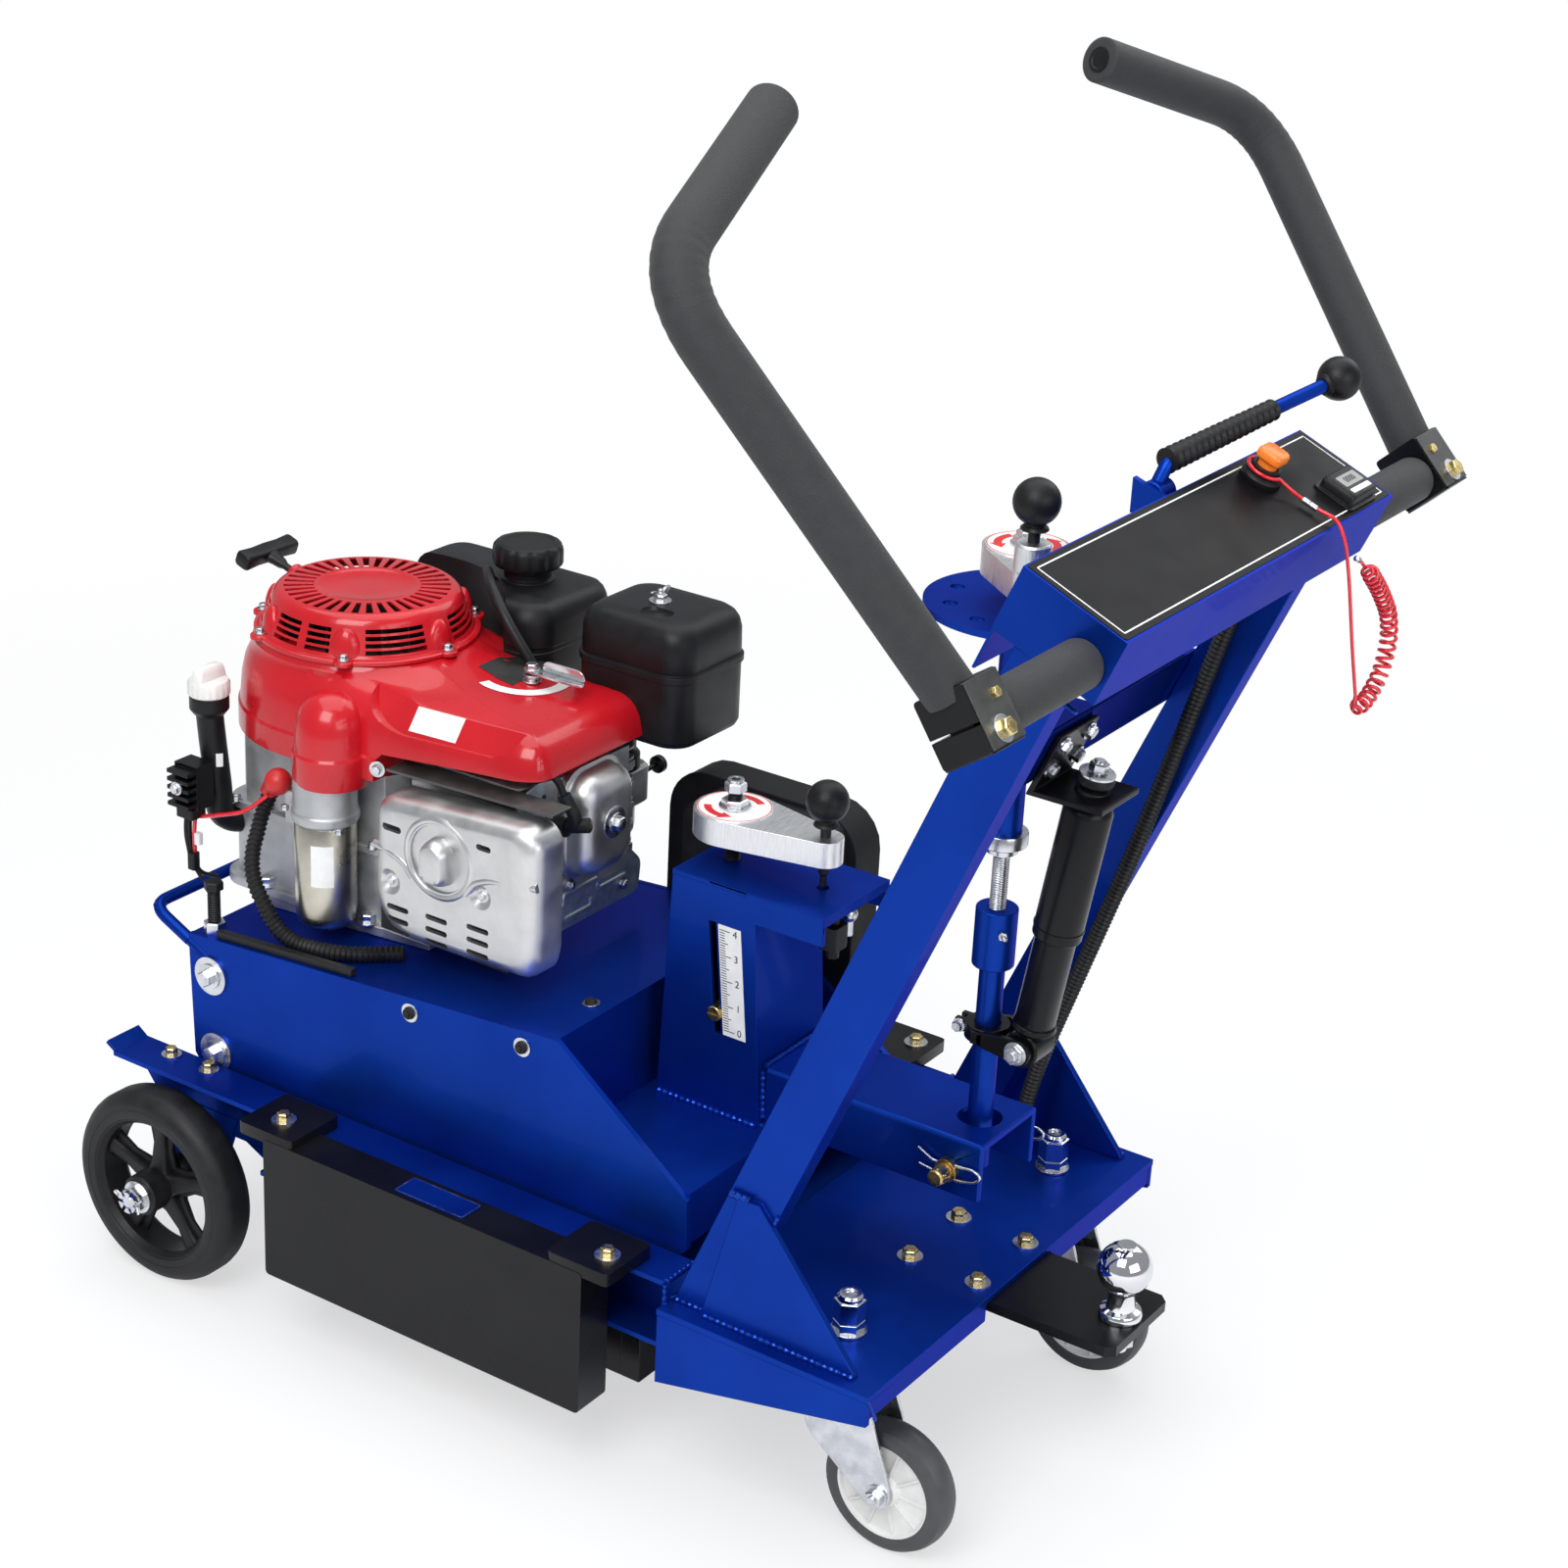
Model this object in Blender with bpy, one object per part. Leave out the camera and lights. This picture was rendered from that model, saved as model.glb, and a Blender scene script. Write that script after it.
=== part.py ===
"""Walk-behind pavement grinder: a wheeled frame, a drum carriage that tilts on it, an engine and controls.

Units are metres after scaling, +Z is up, +Y is the way the machine travels and +X is the operator's right.
All the sizes below are in millimetres and every piece is worked out from them.
"""
import math

import bmesh
import bpy
from mathutils import Vector

MM = 0.001
GAP = 0.3
RUN = 0.5

# frame rails, open channels with the web on the inside
RAIL_TOP = 222.0
RAIL_HEIGHT = 70.0
RAIL_FLANGE = 44.0
RAIL_WALL = 5.0
RAIL_INNER = 200.0
RAIL_FRONT = 478.0

# rear plate
PLATE_TOP = 201.0
PLATE_THICK = 6.0
PLATE_HALF = 257.0
PLATE_FRONT = -200.0
PLATE_REAR = -422.0
PLATE_SKIRT_FRONT = 125.0
PLATE_SKIRT_REAR = 171.0

# leaning uprights and the cross member joining them
UPRIGHT_OUT = 235.0
UPRIGHT_WIDE = 25.0
UPRIGHT_DEEP = 55.0
UPRIGHT_LEAN = 0.4164
UPRIGHT_FOOT = -203.0
GUSSET_THICK = 6.0
GUSSET_HIGH = 131.0
CROSS_LOW = 690.0
CROSS_HIGH = 745.0
CROSS_FRONT = -340.0
CROSS_HALF = UPRIGHT_OUT - 17.0
CROSS_STRAP = 12.0
CROSS_BOSS = 42.0

# control panel tray
TRAY_UPPER = (-494.0, 957.0)
TRAY_LOWER = (-586.0, 918.0)
TRAY_DEPTH = 60.0
TRAY_APRON = 98.0
TRAY_WALL = 3.0
TRAY_CHEEK = 9.0
TRAY_HALF = 237.0
LEVER_X = 14.0
LEVER_Y = TRAY_UPPER[0] + 20.0
LEVER_Z = TRAY_UPPER[1] - 8.0
LEVER_ROD = 6.0
SWITCH_X = 112.0
SWITCH_ALONG = 0.74
METER_X = 186.0
METER_ALONG = 0.25

# handlebars
BAR_Y = -549.0
BAR_Z = 893.0
BAR_RADIUS = 11.0
FOAM_RADIUS = 20.5
CLAMP_X = 394.0
CLAMP_SIZE = 46.0
HANDLE_LOWER = 382.0
HANDLE_UPPER = 223.0
HANDLE_BEND = 82.0
HANDLE_SPLAY = 16.5
HANDLE_LEAN_LEFT = 34.0
HANDLE_LEAN_RIGHT = 43.0
HANDLE_ROUND = 60.0

# front wheels
WHEEL_RADIUS = 101.6
WHEEL_WIDTH = 45.0
WHEEL_OUTER = 272.0
WHEEL_Y = 407.0
WHEEL_SPOKES = 5
AXLE_RADIUS = 10.0
AXLE_END = 300.0

# casters
CASTER_X = 180.0
CASTER_Y = -352.0
CASTER_TRAIL = 54.0
CASTER_RADIUS = 63.5
CASTER_WIDTH = 32.0
STEM_RADIUS = 8.0
CASTER_AXLE = 6.0

# weights hung outside the rails
WEIGHT_THICK = 41.0
WEIGHT_FRONT = 240.0
WEIGHT_REAR = -138.0
WEIGHT_LOW = 79.0
PAD_TOP = 235.0
PAD_LONG = 68.0

# tow hitch
HITCH_HALF = 54.0
HITCH_END = -547.0
HITCH_THICK = 10.0
BALL_RADIUS = 25.0
BALL_Y = -525.0
BALL_Z = 244.0

# drum carriage, tilting on two pins at the front
PIVOT_Y = 374.0
PIVOT_Z = 190.0
PIVOT_RADIUS = 8.0
SIDE_LEFT = -196.0
SIDE_RIGHT = 148.0
SIDE_THICK = 6.0
DECK_FRONT = (418.0, 353.0)
DECK_REAR = (-36.0, 387.0)
DECK_WALL = 5.0
LOOP_RADIUS = 5.5
BACK_DECK = 281.0
BACK_END = -188.0
DRUM_Y = 60.0
DRUM_Z = 92.0
DRUM_RADIUS = 70.0
DRUM_CUTTERS = 8
SHAFT_RADIUS = 15.0

# tower, lift arm and pressure crank
TOWER_HALF = 55.0
TOWER_TOP = 510.0
TOWER_WALL = 5.0
SHELF_REAR = -224.0
SLOT_TOP = 475.0
SLOT_LOW = 363.0
SLOT_Y = -104.0
SLOT_LEAN = 0.10
SLOT_HALF = 4.0
ARM_HALF = 49.0
ARM_TOP = 342.0
ARM_REAR = -398.0
ARM_DEEP = 57.0
ARM_WALL = 6.0
PIN_Z = ARM_TOP - 31.0
PIN_RADIUS = 5.0
PIN_FLOAT = 2.4
POINTER_Z = 385.0
PRESS_Y = -86.0
PRESS_ARM = 100.0
PRESS_LOW = 540.0
CRANK_THICK = 25.0

# depth post
POST_Y = -367.0
POST_RADIUS = 11.5
COLLAR_RADIUS = 19.0
COLLAR_LOW = 495.0
COLLAR_TOP = 551.0
SCREW_RADIUS = 7.5
INDEX_RADIUS = 16.0
INDEX_LOW = 612.0
DISC_Z = 827.0
DISC_RADIUS = 84.0
DISC_HOLES = 9
DEPTH_ARM = 62.0
DEPTH_ANGLE = 213.0
KNOB_RADIUS = 20.0
PLUNGE = 10.0
PLUNGER_PIN = 4.2
PLUNGER_NOSE = 2.8

# damper beside the post
DAMP_TOP = (-450.0, 690.0)
DAMP_EYE = (-410.0, 430.0)
DAMP_OUTER = 22.0
DAMP_INNER = 18.5

# engine, vertical shaft
ENGINE_Y = 357.0
ENGINE_LOW = 374.0
CASE_HALF = 98.0
CASE_FRONT = 456.0
CASE_REAR = 236.0
CASE_CORNER = 26.0
CASE_TOP = 534.0
CYLINDER_HALF = 66.0
CYLINDER_REAR = 84.0
CYLINDER_LOW = 430.0
CYLINDER_TOP = 560.0
FINS = 5
FIN_PITCH = 22.0
FIN_THICK = 7.0
FIN_HALF = 88.0
FOOT_IN = 76.0
FOOT_OUT = 104.0
FOOT_REAR = 190.0
SHROUD_LOW = 536.0
SHROUD_TOP = 617.0
SHROUD_ROUND = 126.0
SHROUD_REAR = ((-118, 250), (-108, 150), (-104, 86), (-90, 64), (82, 64), (94, 86), (98, 150), (112, 250))
SHROUD_SKIRT = 566.0
FAN_RIM = 107.0
FAN_TOP_R = 86.0
FAN_TOP = 676.0
FAN_WALL = 3.0
FAN_SLOTS = 24
FAN_SLOT_IN = 54.0
FAN_SLOT_OUT = 79.0
FAN_SLOT_WIDE = 6.0
VENT_WIDE = 17.0
VENT_HIGH = 5.0
VENT_LEVELS = (24.0, 35.0)
VENT_FACETS = (1, 3)
GRIP_AT = (20.0, 470.0, 655.0)
GRIP_PULL = (0.0, 0.94, 0.342)
GRIP_RADIUS = 4.0
TANK_BOX = (62.0, 196.0, 196.0, 404.0)
TANK_LEVELS = (560.0, 572.0, 652.0, 668.0)
NECK_X = 138.0
NECK_Y = 268.0
NECK_TOP = 682.0
FILTER_BOX = (62.0, 22.0, 178.0, 154.0)
FILTER_LOW = 566.0
FILTER_TOP = 690.0
MUFFLER_BOX = (25.0, 404.0, 222.0, 552.0)
MUFFLER_OUT = -150.0
MUFFLER_IN = -106.0
ROCKER_BOX = (-40.0, 457.0, 40.0, 577.0)
ROCKER_OUT = 50.0
STARTER_X = -127.0
STARTER_Y = 300.0
STARTER_LOW = 376.0
STARTER_TOP = 530.0
STARTER_RADIUS = 30.0
OIL_X = -122.0
OIL_Y = 454.0
OIL_TOP = 572.0
REGULATOR_LOW = (-156.0, 440.0, 462.0)
REGULATOR_HIGH = (-133.0, 470.0, 508.0)
REGULATOR_FINS = 5
THROTTLE_X = 20.0
THROTTLE_Y = 168.0
THROTTLE_ARM = 62.0

# curly cord and ribbed conduits
FREE_CORD = "lanyard"
CORD_RADIUS = 1.6
BOOT_RIBS = 15
BOOT_RADIUS = 10.5
COIL_RADIUS = 6.6
COIL_TURNS = 24
COIL_POINTS = 8
RIB_PITCH = 12.5
CONDUIT_RADIUS = 8.2
CONDUIT_SIDES = 6
BORE_EVERY = 6

COLOURS = {
    "blue": (0.005, 0.035, 0.30),
    "black": (0.012, 0.012, 0.013),
    "steel": (0.55, 0.55, 0.56),
    "red": (0.62, 0.02, 0.03),
    "rubber": (0.03, 0.03, 0.032),
    "foam": (0.06, 0.06, 0.065),
    "white": (0.75, 0.74, 0.72),
    "orange": (0.85, 0.22, 0.03),
    "brass": (0.62, 0.45, 0.15),
}
ROUGH = {"steel": (1.0, 0.35), "brass": (1.0, 0.35), "blue": (0.4, 0.3)}


def clear_scene():
    for item in list(bpy.data.objects):
        bpy.data.objects.remove(item, do_unlink=True)


def collection(name):
    made = bpy.data.collections.new(name)
    bpy.context.scene.collection.children.link(made)
    return made


clear_scene()
PARTS = collection("pavement_grinder")
CUTTERS = collection("cutters")


def paint(name, colour):
    material = bpy.data.materials.new(name)
    material.use_nodes = True
    shader = material.node_tree.nodes["Principled BSDF"]
    metal, rough = ROUGH.get(colour, (0.0, 0.5))
    shader.inputs["Base Color"].default_value = COLOURS[colour] + (1.0,)
    shader.inputs["Metallic"].default_value = metal
    shader.inputs["Roughness"].default_value = rough
    return material


def solid(name, verts, faces, colour=None, origin=(0, 0, 0)):
    """Make one closed mesh; pieces without a colour are cutters or joined-on shapes."""
    mesh = bpy.data.meshes.new(name)
    base = Vector(origin)
    mesh.from_pydata([(Vector(v) - base) * MM for v in verts], [], faces)
    work = bmesh.new()
    work.from_mesh(mesh)
    bmesh.ops.recalc_face_normals(work, faces=work.faces)
    work.to_mesh(mesh)
    work.free()
    item = bpy.data.objects.new(name, mesh)
    item.location = base * MM
    if colour:
        PARTS.objects.link(item)
        mesh.materials.append(paint(name, colour))
    else:
        CUTTERS.objects.link(item)
        item.hide_render = True
        item.display_type = "WIRE"
    return item


def boolean(item, others, operation):
    for number, other in enumerate(others):
        step = item.modifiers.new(f"{operation.lower()}_{len(item.modifiers)}_{number}", "BOOLEAN")
        step.operation = operation
        step.solver = "EXACT"
        step.object = other
    return item


def join(item, *others):
    return boolean(item, others, "UNION")


def cut(item, *others):
    return boolean(item, others, "DIFFERENCE")


def place(axis, a, b, t):
    """Point with flat coordinates a, b across the axis and t along it."""
    if axis == "x":
        return (t, a, b)
    if axis == "y":
        return (a, t, b)
    return (a, b, t)


def prism(name, outline, axis, low, high, colour=None, origin=(0, 0, 0)):
    count = len(outline)
    verts = [place(axis, a, b, low) for a, b in outline] + [place(axis, a, b, high) for a, b in outline]
    faces = [tuple(range(count)), tuple(range(count, 2 * count))]
    for i in range(count):
        j = (i + 1) % count
        faces.append((i, j, count + j, count + i))
    return solid(name, verts, faces, colour, origin)


def box(name, low, high, colour=None, origin=(0, 0, 0)):
    outline = [(low[0], low[1]), (high[0], low[1]), (high[0], high[1]), (low[0], high[1])]
    return prism(name, outline, "z", low[2], high[2], colour, origin)


def round_rect(a0, b0, a1, b1, radius, steps=3):
    points = []
    corners = ((a1 - radius, b1 - radius, 0), (a0 + radius, b1 - radius, 90),
               (a0 + radius, b0 + radius, 180), (a1 - radius, b0 + radius, 270))
    for ca, cb, start in corners:
        for i in range(steps + 1):
            angle = math.radians(start + 90.0 * i / steps)
            points.append((ca + radius * math.cos(angle), cb + radius * math.sin(angle)))
    return points


def loft(name, rings, colour=None, origin=(0, 0, 0)):
    """Closed body through rings of equal point count, first and last capped."""
    count = len(rings[0])
    verts = [point for ring in rings for point in ring]
    faces = [tuple(range(count)), tuple(range((len(rings) - 1) * count, len(rings) * count))]
    for k in range(len(rings) - 1):
        for i in range(count):
            j = (i + 1) % count
            faces.append((k * count + i, k * count + j, (k + 1) * count + j, (k + 1) * count + i))
    return solid(name, verts, faces, colour, origin)


def frame_of(direction):
    """Rotation that carries +Z onto a direction."""
    return Vector((0, 0, 1)).rotation_difference(Vector(direction)).to_matrix()


def lathe(name, profile, centre, direction=(0, 0, 1), steps=16, colour=None, origin=None, bore=False):
    """Turn (radius, height) points round an axis; bore closes the profile on itself as a ring."""
    turn = frame_of(direction)
    base = Vector(centre)
    verts = []
    rings = []
    for radius, height in profile:
        if radius <= 0.0:
            rings.append([len(verts)])
            verts.append(base + turn @ Vector((0, 0, height)))
            continue
        ring = []
        for i in range(steps):
            angle = 2 * math.pi * i / steps
            ring.append(len(verts))
            verts.append(base + turn @ Vector((radius * math.cos(angle), radius * math.sin(angle),
                                               height)))
        rings.append(ring)
    faces = []
    pairs = list(zip(rings, rings[1:]))
    if bore:
        pairs.append((rings[-1], rings[0]))
    for low, high in pairs:
        for i in range(steps):
            j = (i + 1) % steps
            if len(low) == 1:
                faces.append((low[0], high[i], high[j]))
            elif len(high) == 1:
                faces.append((low[i], low[j], high[0]))
            else:
                faces.append((low[i], low[j], high[j], high[i]))
    return solid(name, verts, faces, colour, centre if origin is None else origin)


def rod(name, start, end, radius, steps=16, colour=None, origin=(0, 0, 0)):
    axis = Vector(end) - Vector(start)
    profile = [(0, 0), (radius, 0), (radius, axis.length), (0, axis.length)]
    return lathe(name, profile, start, axis.normalized(), steps, colour, origin)


def sweep(name, path, radii, sides=8, bore=0.0, colour=None, origin=(0, 0, 0)):
    """Tube along a path with a radius for each point, and a plain bore when one is asked for."""
    path = [Vector(p) for p in path]
    count = len(path)
    if not isinstance(radii, (list, tuple)):
        radii = [radii] * count
    tangents = []
    for i in range(count):
        before = path[max(i - 1, 0)]
        after = path[min(i + 1, count - 1)]
        if 0 < i < count - 1:
            heading = (path[i] - before).normalized() + (after - path[i]).normalized()
        else:
            heading = after - before
        tangents.append(heading.normalized())
    side = tangents[0].orthogonal().normalized()
    verts = []
    outer = []
    inner = []
    for i in range(count):
        if i:
            side = tangents[i - 1].rotation_difference(tangents[i]) @ side
            side = (side - tangents[i] * side.dot(tangents[i])).normalized()
        up = tangents[i].cross(side)
        for rings, radius in ((outer, radii[i]), (inner, bore)):
            sparse = rings is inner and i % BORE_EVERY and i < count - 1
            if radius <= 0.0 or sparse:
                continue
            ring = []
            for k in range(sides):
                angle = 2 * math.pi * k / sides
                ring.append(len(verts))
                verts.append(path[i] + (side * math.cos(angle) + up * math.sin(angle)) * radius)
            rings.append(ring)
    faces = []
    loops = [outer]
    if bore > 0.0:
        loops.append(inner)
    for rings in loops:
        for low, high in zip(rings, rings[1:]):
            for k in range(sides):
                j = (k + 1) % sides
                faces.append((low[k], low[j], high[j], high[k]))
    if bore > 0.0:
        for end in (0, -1):
            for k in range(sides):
                j = (k + 1) % sides
                faces.append((outer[end][k], outer[end][j], inner[end][j], inner[end][k]))
    else:
        faces.append(tuple(outer[0]))
        faces.append(tuple(outer[-1]))
    return solid(name, verts, faces, colour, origin)


def bend(points, radius, steps=5):
    """Replace the inner corners of a path with arcs."""
    points = [Vector(p) for p in points]
    path = [points[0]]
    for before, corner, after in zip(points, points[1:], points[2:]):
        arrive = (before - corner).normalized()
        leave = (after - corner).normalized()
        reach = min(radius, (before - corner).length * 0.45, (after - corner).length * 0.45)
        start = corner + arrive * reach
        finish = corner + leave * reach
        for i in range(steps + 1):
            t = i / steps
            path.append(start * (1 - t) ** 2 + corner * (2 * t * (1 - t)) + finish * t ** 2)
    path.append(points[-1])
    return path


def walk(path, pitch):
    """Even points along a path."""
    path = [Vector(p) for p in path]
    lengths = [(b - a).length for a, b in zip(path, path[1:])]
    total = sum(lengths)
    count = max(2, int(round(total / pitch)))
    points = []
    for n in range(count + 1):
        want = total * n / count
        k = 0
        while k < len(lengths) - 1 and want > lengths[k]:
            want -= lengths[k]
            k += 1
        points.append(path[k].lerp(path[k + 1], min(1.0, want / lengths[k])))
    return points


def ribbed(name, path, radius, colour, pitch=RIB_PITCH, sides=CONDUIT_SIDES, origin=(0, 0, 0)):
    """Ribbed hose: two points of unlike radius for each rib, straight plain ends and a bore through it."""
    points = walk(path, pitch / 2)
    plain = max(2, int(2 * radius / pitch))
    radii = []
    for n in range(len(points)):
        raised = plain <= n < len(points) - plain and n % 2 == 0
        radii.append(radius if raised else radius - 1.4)
    return sweep(name, points, radii, sides, radius - 3.0, colour, origin)


def upright_front(z):
    return UPRIGHT_FOOT - (z - PLATE_TOP - GAP) * UPRIGHT_LEAN


def deck_z(y):
    run = (DECK_FRONT[0] - y) / (DECK_FRONT[0] - DECK_REAR[0])
    return DECK_FRONT[1] + (DECK_REAR[1] - DECK_FRONT[1]) * run


def build_rail(side, name):
    """Channel rail with its axle plate, stub axle and the inner pin the carriage tilts on."""
    out = RAIL_INNER + RAIL_FLANGE
    web = RAIL_INNER + RAIL_WALL
    low = RAIL_TOP - RAIL_HEIGHT
    wall = RAIL_WALL
    outline = [(RAIL_INNER, low), (out, low), (out, low + wall), (web, low + wall), (web, RAIL_TOP - wall),
               (out, RAIL_TOP - wall), (out, RAIL_TOP), (RAIL_INNER, RAIL_TOP)]
    rear = PLATE_FRONT + GAP
    rail = prism(name, [(side * a, b) for a, b in outline], "y", rear, RAIL_FRONT, "blue")
    lip = [(RAIL_FRONT - 6, RAIL_TOP - wall), (RAIL_FRONT - 6, RAIL_TOP - 0.5),
           (RAIL_FRONT + 8, RAIL_TOP + 9), (RAIL_FRONT + 11, RAIL_TOP + 5)]
    plate = [(WHEEL_Y - 58, low + 20), (WHEEL_Y - 26, WHEEL_RADIUS - 24),
             (WHEEL_Y + 26, WHEEL_RADIUS - 24),
             (WHEEL_Y + 58, low + 20)]
    x_in = side * (RAIL_INNER + 0.5)
    pin_end = abs(SIDE_LEFT) if side < 0 else SIDE_RIGHT
    pin_end = side * (pin_end - SIDE_THICK - 4)
    x_low, x_high = sorted((side * (RAIL_INNER + 1), side * (out - 1)))
    cutter_low, cutter_high = sorted((side * (web + 0.01), side * (out + 5)))
    wheel_room = box(name + "_wheel_room", (cutter_low, WHEEL_Y - WHEEL_RADIUS - 22, low - 1),
                     (cutter_high, RAIL_FRONT + 1, low + wall + 1))
    nose = prism(name + "_nose",
                 [(RAIL_FRONT + 1, low - 1), (RAIL_FRONT + 1, low + 44), (RAIL_FRONT - 34, low - 1)],
                 "x", side * (RAIL_INNER - 5), side * (out + 5))
    cut(rail, wheel_room, nose)
    join(rail, prism(name + "_lip", lip, "x", x_low, x_high))
    join(rail, prism(name + "_axle_plate", plate, "x", x_in, side * (web + 1)))
    join(rail, rod(name + "_axle", (side * (RAIL_INNER + 1), WHEEL_Y, WHEEL_RADIUS),
                   (side * AXLE_END, WHEEL_Y, WHEEL_RADIUS), AXLE_RADIUS))
    join(rail, rod(name + "_pin", (side * (web - 1), PIVOT_Y, PIVOT_Z), (pin_end, PIVOT_Y, PIVOT_Z),
                   PIVOT_RADIUS))
    hole = rod(name + "_hole", (side * 190, PLATE_FRONT + 34, low + 40),
               (side * 220, PLATE_FRONT + 34, low + 40), 6, 12)
    return cut(rail, hole)


def build_weight(side, name):
    """Slab weight with two pads that hook over the top of the rail."""
    inner = RAIL_INNER + RAIL_FLANGE + GAP
    outer = inner + WEIGHT_THICK
    outline = round_rect(WEIGHT_REAR, WEIGHT_LOW, WEIGHT_FRONT, RAIL_TOP + 4, 4, 2)
    x_low, x_high = sorted((side * inner, side * outer))
    weight = prism(name, outline, "x", x_low, x_high, "black")
    for number, centre in enumerate((WEIGHT_FRONT - 2, WEIGHT_REAR + 6)):
        half = PAD_LONG / 2
        a, b = sorted((side * (RAIL_INNER + 18), side * (outer - 0.5)))
        pad = round_rect(a, centre - half, b, centre + half, 5, 2)
        join(weight, prism(f"{name}_pad_{number}", pad, "z", RAIL_TOP + GAP, PAD_TOP))
    return weight


def build_upright(side, name):
    """Leaning tube with its gusset, cut along the underside of the tray."""
    foot = PLATE_TOP + GAP
    slope = (TRAY_UPPER[1] - TRAY_LOWER[1]) / (TRAY_UPPER[0] - TRAY_LOWER[0])
    down = tray_down(TRAY_DEPTH)
    rim_y = TRAY_UPPER[0] + down[0]
    rim_z = TRAY_UPPER[1] + down[1] - 2 * GAP

    def top(shift):
        start = UPRIGHT_FOOT - shift
        y = (start - UPRIGHT_LEAN * (rim_z - slope * rim_y - foot)) / (1 + UPRIGHT_LEAN * slope)
        return (y, rim_z + slope * (y - rim_y))

    outline = [(UPRIGHT_FOOT, foot), top(0), top(UPRIGHT_DEEP), (UPRIGHT_FOOT - UPRIGHT_DEEP, foot)]
    inner = UPRIGHT_OUT - UPRIGHT_WIDE
    x_low, x_high = sorted((side * inner, side * UPRIGHT_OUT))
    upright = prism(name, outline, "x", x_low, x_high, "blue")
    peak_z = foot + GUSSET_HIGH
    gusset = [(UPRIGHT_FOOT - 33, foot), (upright_front(peak_z) - 12, peak_z),
              (upright_front(peak_z) - 34, peak_z), (PLATE_REAR + 26, foot + 5), (PLATE_REAR + 24, foot)]
    x_low, x_high = sorted((side * (UPRIGHT_OUT - 1), side * (UPRIGHT_OUT + GUSSET_THICK)))
    return join(upright, prism(name + "_gusset", gusset, "x", x_low, x_high))


def tray_down(depth):
    """Offset square to the panel face, pointing under it."""
    run = TRAY_UPPER[0] - TRAY_LOWER[0]
    rise = TRAY_UPPER[1] - TRAY_LOWER[1]
    length = math.hypot(run, rise)
    return (depth * rise / length, -depth * run / length)


def tray_point(x, along, lift):
    """Point on the panel: along runs 0 at the lower edge to 1 at the upper, lift is off the face."""
    down = tray_down(lift)
    y = TRAY_LOWER[0] + (TRAY_UPPER[0] - TRAY_LOWER[0]) * along - down[0]
    z = TRAY_LOWER[1] + (TRAY_UPPER[1] - TRAY_LOWER[1]) * along - down[1]
    return Vector((x, y, z))


TRAY_NORMAL = (tray_point(0, 0, 1) - tray_point(0, 0, 0)).normalized()


def build_rear_plate():
    """Folded rear plate: top, tapered skirts, front wall, rear lip with a hitch notch, caster holes."""
    half = PLATE_HALF
    low = PLATE_TOP - PLATE_THICK
    plate = prism("rear_plate",
                  [(-half, PLATE_FRONT), (half, PLATE_FRONT), (half, PLATE_REAR), (-half, PLATE_REAR)],
                  "z", low, PLATE_TOP, "blue")
    skirt = [(PLATE_FRONT - 0.5, PLATE_SKIRT_FRONT), (PLATE_FRONT - 0.5, PLATE_TOP - 1),
             (PLATE_REAR + 0.5, PLATE_TOP - 1), (PLATE_REAR + 0.5, PLATE_SKIRT_REAR)]
    for side in (-1, 1):
        x_low, x_high = sorted((side * (half - 0.5), side * (half - PLATE_THICK)))
        join(plate, prism(f"plate_skirt_{side}", skirt, "x", x_low, x_high))
    join(plate, box("plate_front", (-half + 1, PLATE_FRONT - PLATE_THICK, PLATE_SKIRT_FRONT + 16),
                    (half - 1, PLATE_FRONT - 1, PLATE_TOP - 1)))
    join(plate, box("plate_lip", (-half + 1, PLATE_REAR + 1, PLATE_SKIRT_REAR + 5),
                    (half - 1, PLATE_REAR + PLATE_THICK, PLATE_TOP - 1)))
    cut(plate, box("plate_notch", (-HITCH_HALF - 4, PLATE_REAR - 1, PLATE_SKIRT_REAR - 1),
                   (HITCH_HALF + 4, PLATE_REAR + PLATE_THICK + 1, low)))
    for side in (-1, 1):
        cut(plate, rod(f"plate_stem_{side}", (side * CASTER_X, CASTER_Y, low - 5),
                       (side * CASTER_X, CASTER_Y, PLATE_TOP + 5), STEM_RADIUS + 2 * GAP, 12))
    return plate


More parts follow.
